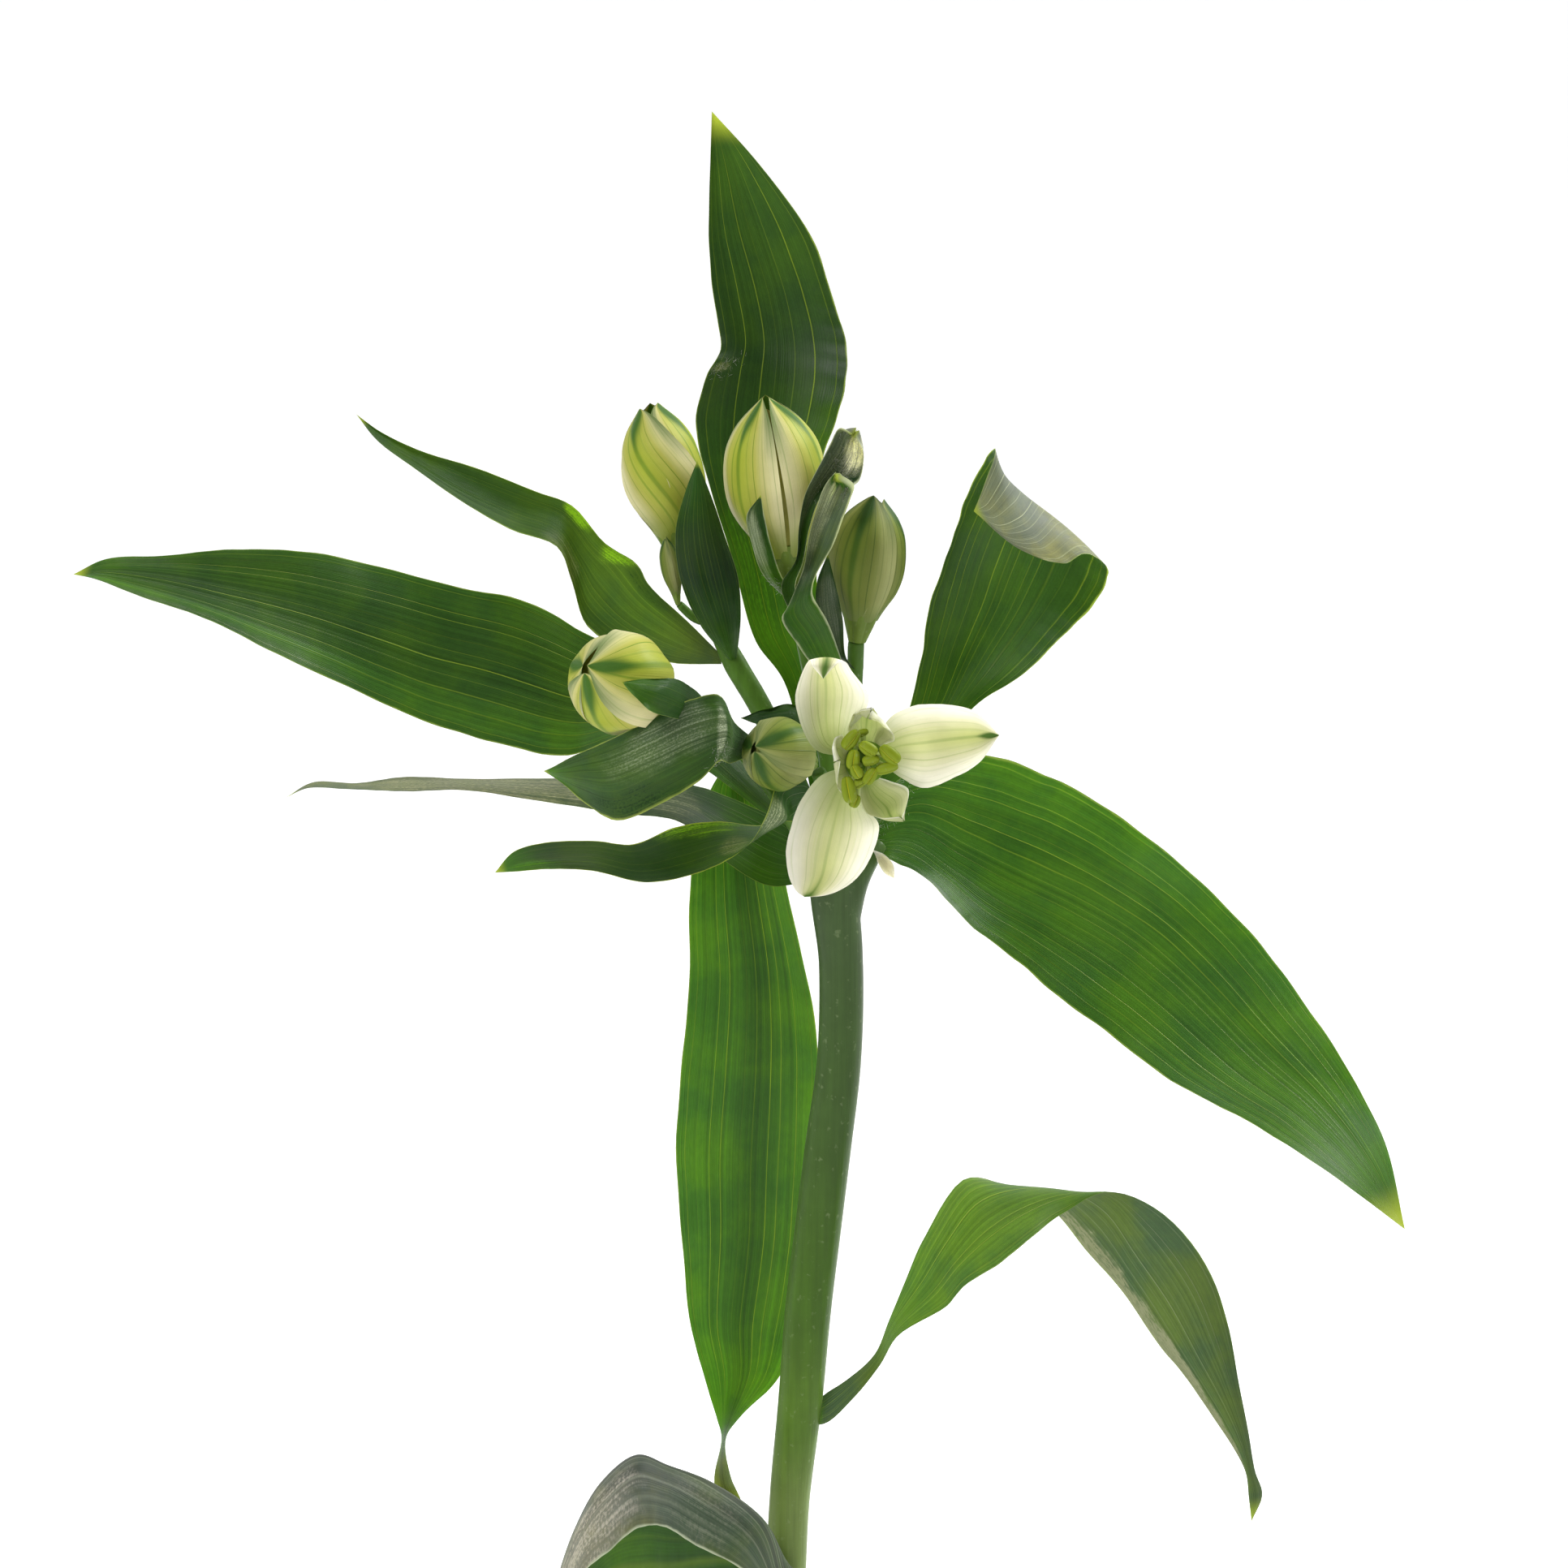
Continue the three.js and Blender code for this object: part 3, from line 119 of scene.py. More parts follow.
# Blades: cross lines from the foot to the tip, each (one edge, midrib, other edge). The last point is the
# tip. waves and wave_height are 0 where they aren't given.
BLADES = {
    "leaf_right": {
        "lines": (
            ((10.6, 322.4, 1), (11.7, 320.3, 0), (12.7, 318, -1)),
            ((15.4, 333.5, 6), (16.2, 328.6, 3), (16.8, 325, 1.4)),
            ((24.4, 341.6, 10), (22.8, 331, 6), (20.8, 323.7, 2)),
            ((35.7, 342.7, 13), (31.7, 326.6, 8), (26.1, 320.3, 2)),
            ((47.3, 339.4, 15), (40.6, 322.1, 9), (33.4, 312.7, 1)),
            ((60.6, 330.9, 14), (50.9, 317.1, 7), (42.3, 305.7, -1)),
            ((70.9, 323.1, 11), (60.6, 311.4, 4), (50.6, 298.9, -4)),
            ((82, 312, 6), (71.7, 302.1, 0), (61.3, 290.7, -8)),
            ((91.4, 299.7, 0), (83.1, 290.4, -6), (73.7, 282.7, -13)),
            ((99.7, 287.1, -7), (93.4, 281.4, -12), (85.6, 276.3, -18)),
            ((105.9, 274.6, -13), (102, 271.4, -17), (96.3, 269.3, -21)),
        ),
        "tip": (109.3, 259.6, -21), "waves": 5, "wave_height": 0.9,
    },
    "leaf_top": {
        "lines": (
            ((6.3, 327.4, 4), (7.1, 327.1, 5), (8.3, 326.9, 4)),
            ((3.4, 343.1, 12), (5.4, 343.1, 13), (7.4, 343.1, 12)),
            ((0, 356, 16), (3.4, 356.7, 18), (6.9, 357.4, 16)),
            ((-4.9, 363.1, 18), (0, 366, 21), (6, 367.4, 19)),
            ((-8.7, 376, 20), (-2.3, 378.1, 24), (5.7, 378.9, 21)),
            ((-13.4, 391.7, 22), (-5.1, 393.1, 27), (6.3, 393.1, 24)),
            ((-15.6, 401.7, 23), (-3.7, 402.4, 29), (9.1, 402, 26)),
            ((-13.4, 410.4, 25), (-2.8, 410.6, 31), (11, 408.9, 28)),
            ((-11.2, 414.6, 29), (-2.6, 416, 33), (10.9, 414.6, 30)),
            ((-12.3, 423.1, 32), (-4, 424.6, 35), (8.9, 423.1, 33)),
            ((-13.3, 434.6, 35), (-7.1, 435.3, 37), (4.6, 434.6, 36)),
            ((-13, 446.7, 38), (-10, 447.4, 39), (-4, 446.7, 38)),
        ),
        "tip": (-12.7, 456.4, 40), "waves": 3, "wave_height": 0.6,
    },
    "leaf_left": {
        "lines": (
            ((4.9, 328.9, 3), (5.3, 327.4, 3), (5.9, 326, 2)),
            ((-3.7, 338.1, 11), (-4, 335.3, 9), (-3.7, 332.9, 8)),
            ((-14, 348.9, 17), (-15.1, 345.3, 14), (-15.7, 341.7, 12)),
            ((-23.7, 358.9, 21), (-26.3, 352.4, 18), (-28, 346, 14)),
            ((-34, 364.1, 23), (-36.6, 354.9, 19), (-38, 343, 13)),
            ((-45.1, 369.9, 23), (-48, 358.9, 18), (-50.6, 345.4, 12)),
            ((-58, 373, 22), (-60.9, 362.4, 17), (-63.7, 349.1, 10)),
            ((-70.9, 376, 19), (-73.4, 366.3, 14), (-76.6, 354.9, 8)),
            ((-84, 378.9, 14), (-86.3, 370, 10), (-89.1, 361.1, 4)),
            ((-96.9, 379.4, 8), (-99.4, 372.9, 5), (-102.3, 367.1, 0)),
            ((-109.4, 378.1, 2), (-111.6, 375, 0), (-113, 370.9, -3)),
            ((-119.4, 377.6, -2), (-120.1, 375.6, -3), (-120.9, 374, -4)),
        ),
        "tip": (-125.1, 374.9, -5), "waves": 4, "wave_height": 0.9,
    },
    "leaf_upper_right": {
        "lines": (
            ((9.6, 328, 4), (10.6, 327.5, 4), (11.6, 327, 3)),
            ((13.5, 337, 9), (15.5, 336, 9), (17.5, 334.5, 8)),
            ((19.5, 345, 15), (23, 344, 16), (27, 343, 14)),
            ((22.3, 352, 18), (28, 351.7, 20), (33.5, 351.6, 17)),
            ((24, 360, 20), (32, 360.5, 23), (42.2, 357.4, 18)),
            ((25.4, 368, 21), (36, 369, 24), (49, 364, 18)),
            ((28, 376.6, 21), (38.5, 376, 24), (54, 369, 17)),
            ((30.3, 383, 20), (41, 382, 22), (57, 374, 15)),
            ((32, 388.5, 16), (44, 386.5, 18), (56.6, 376.4, 12)),
            ((35.4, 395, 11), (44.5, 387, 12), (53.5, 378.4, 9)),
            ((37.2, 397, 7), (42, 384, 6), (49, 377, 6)),
            ((35, 390, 4), (38, 383, 3), (42, 379, 4)),
        ),
        "tip": (33.4, 386, 2),
    },
    "leaf_narrow_left": {
        "lines": (
            ((5.4, 327.4, -1), (4.6, 324.6, -2), (4.6, 321, -2)),
            ((-1.1, 331.7, 4), (-1.6, 326, 1), (-2.3, 320, -3)),
            ((-8.7, 335.3, 7), (-9.4, 330.3, 2), (-10.1, 324.3, -4)),
            ((-16.6, 338, 9), (-17.3, 334.6, 2), (-18, 331.1, -5)),
            ((-26.6, 338.6, 11), (-27.3, 336, 2), (-28.7, 332.7, -6)),
            ((-41.9, 338.9, 12), (-42.3, 337.2, 3), (-43, 335.1, -6)),
            ((-55.1, 339, 11), (-55.1, 338, 3), (-55.9, 336.9, -5)),
            ((-66.6, 339.3, 9), (-66.6, 338, 3), (-66.6, 336.6, -4)),
            ((-75.1, 338.1, 6), (-75.9, 337.7, 2), (-76.6, 337.1, -2)),
            ((-83, 338.3, 3), (-83.2, 337.9, 1), (-83.7, 337.3, -1)),
        ),
        "tip": (-87.7, 335.6, 0), "waves": 3, "wave_height": 0.6,
    },
    "leaf_lower_left": {
        "lines": (
            ((6.6, 330.3, -6), (7.1, 328.9, -6.4), (7.4, 327.1, -6)),
            ((2.7, 339.3, -12), (4.9, 336, -11), (6.3, 332.4, -10)),
            ((-1.3, 337.7, -18), (0.9, 335.3, -13), (2.7, 331.4, -9)),
            ((-2.9, 333.1, -21), (0.2, 331.6, -18), (-0.9, 331.4, -9)),
            ((-5.9, 327.7, -21), (-4.2, 329, -18), (-4.6, 330.7, -10)),
            ((-10.9, 324.1, -20), (-11.4, 327.7, -15), (-11.6, 331.4, -10)),
            ((-17.3, 321.7, -19), (-18.3, 325.7, -16), (-19.1, 330.4, -12)),
            ((-24.7, 320.7, -18), (-25.7, 324.1, -16), (-26.6, 327.4, -13)),
            ((-33.7, 322.7, -17), (-33.7, 325.4, -15), (-33.4, 328, -12)),
            ((-41.6, 323, -15), (-42, 325.1, -14), (-42.6, 327.6, -11)),
            ((-46.9, 322.6, -14), (-47.3, 324.1, -13), (-47.7, 326, -11)),
        ),
        "tip": (-50.9, 322.4, -12),
    },
    "leaf_stem_tall": {
        "lines": (
            ((-2.6, 201.5, 3), (-2.2, 200, 4), (-1.6, 198.6, 4)),
            ((-11.6, 211.7, 4), (-9.9, 212, 6), (-7.7, 212.3, 5)),
            ((-12.3, 215.7, 5), (-11.1, 216, 6.5), (-9.4, 216.3, 8)),
            ((-11, 222.9, 5.5), (-10.6, 222.9, 8), (-10.2, 222.9, 10.5)),
            ((-11.7, 226, 7), (-9.9, 226.3, 9), (-7.4, 226.9, 10.5)),
            ((-14, 233.4, 9), (-8.3, 233.9, 10.5), (-1.1, 233.1, 11)),
            ((-16.3, 242.4, 9), (-8.7, 242.9, 11.5), (2.7, 243.1, 11)),
            ((-18, 257.4, 9), (-7.3, 257.7, 12.5), (4.9, 258, 11)),
            ((-19, 273.6, 9), (-6.9, 273.9, 13), (6, 274.1, 11)),
            ((-18, 288.9, 9), (-6, 289.1, 13), (6, 289.4, 11)),
            ((-16.7, 303.1, 10), (-5.9, 303.9, 13.5), (3.9, 304.6, 12)),
            ((-16.6, 317.4, 11), (-7.3, 318.1, 14.5), (0.9, 318.1, 13)),
            ((-15.6, 328.9, 14), (-8.3, 329.1, 16.5), (-2, 328.9, 14)),
            ((-12.9, 337.1, 18), (-8.7, 337.7, 19), (-4.6, 337.1, 18)),
        ),
        "tip": (-9, 343.1, 22), "waves": 3, "wave_height": 0.5,
    },
    "leaf_stem_right": {
        "lines": (
            ((4.6, 225.4, -1), (4.8, 226.9, 0), (4.7, 228.4, 1)),
            ((7.2, 225.4, -1), (7.4, 228.1, -0.6), (7.2, 230.6, 0.6)),
            ((12.6, 230.3, -2), (12, 232, -1), (11.4, 233.4, 0)),
            ((16.9, 235.7, -4), (16.3, 236.6, -2), (16, 237.7, -1)),
            ((20.1, 240.9, -6), (19.1, 242.4, -3), (18.4, 243.4, -1)),
            ((28.4, 245.9, -10), (24.9, 250, -5), (21, 249.7, -1)),
            ((31.6, 249.4, -13), (28.9, 256, -7), (24.9, 258.6, -1)),
            ((37.7, 253.4, -15), (34.6, 263, -8), (32, 268.6, 0)),
            ((43.4, 258.1, -16), (41.6, 266, -8), (39.4, 267, 3)),
            ((49.1, 262.4, -15), (49.3, 266.6, -9), (47, 263.2, 4)),
            ((56.9, 266.2, -12), (56.4, 264, -7), (53.4, 255.6, 3)),
            ((66.3, 262.7, -9), (62.7, 256, -7), (60, 248, -4)),
            ((74.3, 253.4, -10), (69.1, 246.7, -10), (65.6, 239.9, -8)),
            ((78.1, 243.1, -12), (73.7, 237.7, -13), (70.4, 233.9, -12)),
            ((80.1, 232.4, -15), (77.7, 229.6, -16), (75.4, 226.7, -15)),
            ((81.7, 224.3, -17), (80.6, 222.4, -18), (79.7, 220.1, -17)),
            ((82.9, 217.2, -18), (82.1, 216.8, -18.6), (81.3, 216.6, -18)),
            ((84.2, 212.9, -17.5), (83, 212.6, -18.6), (81.8, 212.4, -18)),
        ),
        "tip": (82.3, 208.2, -20),
    },
    "leaf_stem_left": {
        "lines": (
            ((-0.8, 193.8, -4), (0.9, 192.6, -4.4), (2.4, 191.4, -4)),
            ((2.2, 199.6, -6), (-0.1, 198.6, -9), (-2.6, 195.6, -12)),
            ((-4, 199.5, -6), (-3.4, 208.3, -12), (-8.7, 200.6, -20)),
            ((-11.5, 198.5, -6), (-12.7, 215.1, -13), (-15.4, 203.9, -24)),
            ((-18.6, 197.5, -7), (-20.1, 217.7, -14), (-21.6, 207.4, -27)),
            ((-24.6, 197, -8), (-25.9, 219.6, -16), (-25.9, 206.9, -29)),
            ((-29.6, 196.5, -9), (-32, 215.2, -17), (-30.9, 202.9, -31)),
            ((-34, 193.5, -10), (-36.9, 206.6, -19), (-35.4, 198.9, -32)),
            ((-37.3, 188.9, -10), (-40.9, 194.2, -21), (-39.4, 188.9, -32)),
            ((-40.9, 177.4, -14), (-43.4, 180.3, -22), (-42.6, 176.7, -30)),
        ),
        "tip": (-45.4, 164.6, -25),
    },
    "bract_upper_left": {
        "lines": (
            ((-10.9, 360.6, 3), (-11, 359.9, 3), (-11, 359.1, 3)),
            ((-16.6, 366.3, 2), (-18.3, 363.1, 4), (-20.1, 359.4, 4)),
            ((-23.7, 373.1, 3), (-26.6, 368.1, 7), (-30.6, 362.9, 7)),
            ((-26.1, 377.1, 5), (-32, 373.9, 8), (-34.9, 366.3, 8)),
            ((-31.6, 380.6, 8), (-35.1, 378.1, 9), (-37.4, 373.9, 7)),
            ((-37.3, 387.1, 10), (-39.4, 383.9, 8), (-40, 380, 5)),
            ((-43.7, 389.7, 9), (-46.6, 386.7, 7), (-48, 382.9, 3)),
            ((-53.7, 393.6, 7), (-55.4, 390.3, 5), (-56.6, 387.7, 2)),
            ((-63.7, 396.6, 4), (-64.4, 394.9, 3), (-65.1, 393.7, 1)),
            ((-70.9, 400, 2), (-71.4, 399.1, 1), (-71.7, 398.6, 0)),
        ),
        "tip": (-75.3, 403.1, 0),
    },
    "bract_upper_left_bud": {
        "lines": (
            ((-10, 360.2, 1.3), (-9.2, 359.8, 0.8), (-8.3, 360.2, 1.3)),
            ((-14.9, 366.3, -4), (-11.1, 366.7, -6), (-7.6, 368.1, -4)),
            ((-18.3, 374.3, -5), (-13.4, 374.3, -8.5), (-8.1, 374.6, -5)),
            ((-19.1, 382.4, -6), (-14.9, 382.9, -9.5), (-10.6, 382.4, -6)),
            ((-17.4, 389.4, -7), (-15.1, 389.9, -9), (-13, 389.3, -7)),
        ),
        "tip": (-15.3, 394.9, -8),
    },
    "bract_left_folded": {
        "lines": (
            ((-5.6, 346.2, -12.5), (-6.4, 344.8, -14), (-6.9, 342.6, -14.5)),
            ((-8.7, 348.9, -19), (-8.7, 345.3, -20.5), (-9.4, 341.7, -20)),
            ((-11.7, 353.9, -27), (-10, 348.1, -27.5), (-11.6, 342, -27)),
            ((-16.6, 353, -30), (-15.9, 346.7, -31), (-14.9, 338.6, -30)),
            ((-23.7, 349.4, -31), (-23, 343.4, -33), (-22, 334.6, -31)),
            ((-31.6, 345.6, -30), (-30.6, 340.3, -32), (-29.4, 331.7, -30)),
            ((-37.3, 342.9, -28), (-35.9, 340, -30), (-34.9, 334.6, -28)),
            ((-40.6, 341.1, -27), (-39.7, 339.9, -28), (-38.9, 338.1, -27)),
        ),
        "tip": (-42.3, 340.3, -26),
    },
    "bract_left_bud": {
        "lines": (
            ((-13.2, 351.8, -18), (-13.4, 350.7, -18.6), (-13.6, 349.4, -18)),
            ((-15.9, 354.9, -25), (-17.1, 352.4, -30), (-18.7, 349.6, -31)),
            ((-19.6, 356.7, -32.5), (-21.6, 354.4, -37), (-23.4, 351, -37.5)),
            ((-24.4, 356.6, -36.5), (-25.3, 355.2, -38.5), (-26.2, 353.4, -39)),
        ),
        "tip": (-28.6, 356, -40.5),
    },
    "bract_small_bud": {
        "lines": (
            ((6.6, 346, -9), (6.4, 344.9, -9.6), (6, 343.6, -10)),
            ((2, 352, -12), (1.6, 350.4, -14), (0.9, 348.4, -15)),
            ((-3, 351.4, -14), (-3.2, 350, -15), (-3.6, 348.4, -16)),
        ),
        "tip": (-7.7, 349.6, -16),
    },
    "bract_middle_small": {
        "lines": (
            ((1.2, 369.9, 0.6), (1.8, 369.6, 0.2), (2.4, 369.9, 0.6)),
            ((-3.7, 374.9, -5), (-2.3, 375.1, -6.5), (-0.7, 375.4, -5)),
            ((-5.7, 380.6, -8), (-4.3, 380.6, -9.5), (-2.4, 380.6, -8)),
            ((-6.6, 385.1, -9.5), (-5.1, 385.4, -11), (-3.4, 385.1, -10)),
        ),
        "tip": (-4.1, 388.9, -13.5), "waves": 2, "wave_height": 0.5,
    },
    "bract_middle_front": {
        "lines": (
            ((10.8, 353.6, 6), (11.4, 353.2, 5.6), (12, 353, 6)),
            ((5.4, 358.4, -1), (7.6, 359.2, -3), (10, 360.3, -2)),
            ((2.2, 362.9, -8), (5, 364.6, -8.4), (7.8, 366.4, -7)),
            ((-0.4, 367.2, -12), (2.4, 368.9, -12.4), (5.2, 371, -11)),
            ((0.9, 369.9, -14), (2.9, 371.2, -13.6), (5, 372.6, -13)),
            ((3.4, 376, -13), (4.6, 375.7, -12), (5.9, 375.6, -13)),
            ((4.3, 381.7, -12.5), (6, 381.1, -11), (8.6, 380, -13)),
            ((5.6, 386.3, -12), (7.7, 385.7, -10), (10.6, 385.4, -12)),
            ((6.7, 389.6, -13.4), (9, 388.8, -10.4), (11.6, 388, -12.4)),
            ((8, 391.6, -14), (9.8, 390.6, -11.6), (12.2, 390.4, -12.4)),
        ),
        "tip": (9, 392.4, -14.4), "waves": 5, "wave_height": 0.6, "ruffle": (0.3, 0.8, 4),
    },
    "bract_middle_back": {
        "lines": (
            ((2.3, 366, 1.2), (2.9, 365.8, 0.8), (3.5, 366, 1.2)),
            ((-0.5, 373, -6), (0.6, 373, -5), (2, 373, -6)),
            ((2.1, 377.7, -9), (2.7, 377.4, -8), (3.4, 377.4, -9)),
            ((2.6, 383.1, -9.5), (3.4, 383.1, -8), (4.6, 383.4, -9)),
            ((3.7, 389, -9), (5.4, 388.6, -7), (7.1, 389.4, -8)),
            ((6.6, 395.1, -7.5), (9.4, 393.6, -4.5), (13, 391.2, -6.5)),
            ((8.3, 398.2, -6.2), (11, 396, -3.4), (14.1, 395, -5.6)),
            ((10, 401, -6), (11.8, 398.6, -3.4), (14, 397.4, -5)),
        ),
        "tip": (12.6, 400, -4.6), "waves": 3, "wave_height": 0.5, "ruffle": (0.5, 0.8, 3),
    },
    "bract_right_dark": {
        "lines": (
            ((11.4, 358.8, 4.4), (12, 358.4, 4), (12.6, 358, 4.4)),
            ((8.6, 361.6, 0.6), (9.6, 361.2, -0.4), (10.8, 360.8, 0.6)),
            ((6, 367.4, -2), (8, 367.4, -3.5), (10.3, 367.4, -2.5)),
            ((5.7, 373.1, -3), (7.4, 373.9, -4.5), (9.1, 373.1, -3)),
        ),
        "tip": (7.7, 378.6, -3.5),
    },
    "tepal_outer_top": {
        "lines": (
            ((11, 342.8, -25), (11.6, 343.4, -25), (12.3, 343.9, -25)),
            ((5.7, 343.9, -29), (8.4, 345.3, -27), (11.7, 347.5, -29)),
            ((3.1, 348.1, -33), (7.4, 349.1, -30), (13.7, 350, -33)),
            ((2, 353.4, -36), (7.4, 354.6, -32), (14.9, 353.4, -36)),
            ((3.4, 358.1, -38), (7.1, 358.6, -35), (12, 357.7, -38)),
            ((4.6, 359.8, -39.6), (7.6, 360.3, -39), (10.6, 359.6, -39.8)),
            ((4.9, 358.9, -41), (7.3, 358.6, -41.4), (9.2, 359, -41)),
        ),
        "tip": (6.9, 356.5, -41), "waves": 2, "wave_height": 0.4,
    },
    "tepal_outer_right": {
        "lines": (
            ((16.7, 343.9, -25), (16.9, 343, -25), (16.7, 342.1, -25)),
            ((18, 348.9, -29), (19.9, 344.6, -26), (20.6, 339.1, -29)),
            ((22.6, 351.7, -33), (24.9, 345.3, -28), (24.9, 337.3, -33)),
            ((28.4, 352, -33), (30.3, 346, -28), (30.3, 339.3, -33)),
            ((33.4, 350.9, -32), (34.3, 346.4, -28), (34.3, 341.7, -31)),
        ),
        "tip": (37.9, 346.6, -27),
    },
    "tepal_outer_lower": {
        "lines": (
            ((11, 341.2, -25), (11.9, 340.2, -25), (13, 339.4, -25)),
            ((6, 339.1, -29), (9.9, 335.3, -26), (14.3, 333.9, -29)),
            ((2.2, 333.4, -33), (8.6, 330.3, -29), (16.7, 330.8, -33)),
            ((0.4, 326.5, -35), (7.6, 326, -31), (15.4, 325.4, -34)),
            ((0.8, 322, -35), (6.6, 321.6, -32), (12.6, 321.2, -34)),
            ((1.6, 320, -35), (5.2, 319.1, -34), (9.4, 319.1, -35)),
            ((2.4, 318.9, -35.4), (4.4, 318.4, -35), (6.8, 318.3, -35.4)),
        ),
        "tip": (3.6, 318.1, -35.4),
    },
    "tepal_inner_top": {
        "lines": (
            ((13, 344.4, -26), (14.2, 344.5, -26), (15, 343.6, -26)),
            ((11.3, 346.9, -29), (14.4, 346.9, -28), (17.6, 344.8, -29.5)),
            ((11.5, 348.6, -31.5), (14.5, 348.8, -30.5), (19.4, 345.7, -32.5)),
            ((12.1, 350, -33.5), (14.7, 350.2, -32.5), (19, 347, -34.5)),
            ((13.2, 350.4, -34.5), (14.9, 350.5, -34), (17, 349.2, -35)),
        ),
        "tip": (15.1, 350.5, -35), "waves": 4, "wave_height": 0.5, "ruffle": (0.5, 1.1, 4),
    },
    "tepal_inner_left": {
        "lines": (
            ((11.9, 342.3, -26.5), (11.7, 341.7, -26.5), (11.9, 341, -26.5)),
            ((10.9, 345, -30), (10.3, 341.4, -29.5), (10.9, 337.4, -30)),
            ((10.2, 346.7, -33), (9.6, 341.8, -32.5), (10.1, 336.5, -33)),
            ((9, 346, -35.4), (9.3, 341.9, -35), (9.3, 337.3, -35.4)),
            ((8.7, 344.4, -36.6), (9.4, 342, -36.2), (9.2, 339.4, -36.6)),
        ),
        "tip": (9.3, 342, -36.9), "waves": 4, "wave_height": 0.45, "ruffle": (0.7, 0.3, 4.4),
    },
    "tepal_inner_lower": {
        "lines": (
            ((13.6, 339, -26.5), (14.4, 338.8, -26.5), (15.2, 339.4, -26.5)),
            ((13.4, 335.6, -29.5), (15.8, 336.2, -28.5), (18.6, 338.6, -29.5)),
            ((14.4, 333, -32), (18, 333.9, -31), (21.9, 337, -32)),
            ((16.6, 331.9, -33.4), (18.9, 332.2, -32.8), (21.6, 334, -33.6)),
        ),
        "tip": (20.9, 331.8, -34), "waves": 2, "wave_height": 0.5, "ruffle": (0.4, -0.5, 3),
    },
}


# Blades whose green side is the reverse of the side that their cross lines run round.
TURNED_BLADES = {
    "leaf_right", "leaf_top", "leaf_upper_right", "leaf_narrow_left", "leaf_lower_left", "leaf_stem_tall",
    "leaf_stem_left", "bract_upper_left_bud", "bract_middle_small", "bract_middle_front", "bract_middle_back",
    "bract_right_dark", "tepal_outer_top", "tepal_outer_right", "tepal_inner_top",
}

# Lower leaves, as true places: foot height, heading in degrees from +X towards +Y, length, width and rise.
LOWER_LEAVES = {
    "leaf_low_back": {"foot": 164, "heading": 58, "length": 84, "width": 21, "rise": 8},
    "leaf_low_front": {"foot": 150, "heading": -112, "length": 78, "width": 20, "rise": 16},
    "leaf_low_right": {"foot": 136, "heading": -22, "length": 70, "width": 18, "rise": 20},
}
LOWER_LEAF_WIDTHS = (0.16, 0.14, 0.5, 0.9, 1, 0.92, 0.66, 0.3, 0)
# How they arch: share of the length that they reach out, how far the arch turns in radians, where the rise
# ends, how far they climb in millimetres and droop as a share of the length, and how deep they are cupped
ARCH_REACH = 0.86
ARCH_TURN = 1.35
ARCH_RISE_END = 1 / 1.12
ARCH_CLIMB = 10
ARCH_DROOP = 0.35
ARCH_CUP = 0.09
STEM_SKIN = 3.4

# Buds: foot and top places, widest radius, and their three tepals. Angles in degrees run from the side that
# faces the eye towards the right: where the keel is at the tepal's foot and at its tip.
BUDS = {
    "bud_upper_left": {
        "foot": (-18, 376.6, 5), "top": (-23.6, 405, 5), "radius": 6.7, "finish": "cream",
        "tepals": (
            {"foot": 205, "tip": 180, "half": 80, "length": 1.0, "lift": 0.01},
            {"foot": 95, "tip": 62, "half": 76, "length": 1.0, "lift": 0.02, "flare": 0.22},
            {"foot": 30, "tip": -66, "half": 74, "length": 0.985, "lift": 0.06, "flare": 0.26},
        ),
    },
    "bud_upper_left_slim": {
        "foot": (-18.6, 369.4, 1), "top": (-20.9, 381.6, 0), "radius": 1.7, "finish": "olive",
        "tepals": (
            {"foot": 180, "tip": 170, "half": 66, "length": 0.96, "lift": 0},
            {"foot": 70, "tip": 60, "half": 66, "length": 1.0, "lift": 0.03},
            {"foot": -50, "tip": -60, "half": 70, "length": 0.98, "lift": 0.06},
        ),
    },
    "bud_upper_middle": {
        "foot": (1.3, 372.8, 0.6), "top": (-3.4, 406.4, 0), "radius": 8.4, "finish": "cream",
        "tepals": (
            {"foot": 185, "tip": 172, "half": 90, "length": 1.0, "lift": 0.02},
            {"foot": 70, "tip": 65, "half": 59.5, "length": 0.99, "lift": 0.03, "spread": 0},
            {"foot": -46, "tip": -43.5, "half": 49.5, "length": 0.995, "lift": 0.06, "spread": 0},
        ),
    },
    "bud_upper_right": {
        "foot": (12.8, 362.8, 4.8), "top": (16.1, 389, 3), "radius": 6.3, "finish": "olive",
        "tepals": (
            {"foot": 200, "tip": 190, "half": 74, "length": 0.97, "lift": 0},
            {"foot": 84, "tip": 80, "half": 66, "length": 0.98, "lift": 0.03, "flare": 0.2},
            {"foot": -24, "tip": -20, "half": 66, "length": 1.0, "lift": 0.1, "flare": 0.14},
        ),
    },
    "bud_left": {
        "foot": (-20.6, 351.6, -16.5), "top": (-35.2, 358.8, -35), "radius": 8.2, "finish": "cream",
        "tepals": (
            {"foot": 190, "tip": 205, "half": 84, "length": 1.0, "lift": 0.03, "flare": 0.02},
            {"foot": -66, "tip": -52, "half": 68, "length": 0.985, "lift": 0.03, "flare": 0.1},
            {"foot": 70, "tip": 40, "half": 76, "length": 1.0, "lift": 0.1, "flare": 0.06},
        ),
    },
    "bud_small": {
        "foot": (4.9, 341.6, -10.4), "top": (-5.4, 344.4, -24), "radius": 6, "finish": "olive",
        "tepals": (
            {"foot": 190, "tip": 190, "half": 84, "length": 1.0, "lift": 0.01},
            {"foot": -58, "tip": -52, "half": 72, "length": 0.98, "lift": 0.02},
            {"foot": 78, "tip": 62, "half": 76, "length": 1.0, "lift": 0.08},
        ),
    },
}
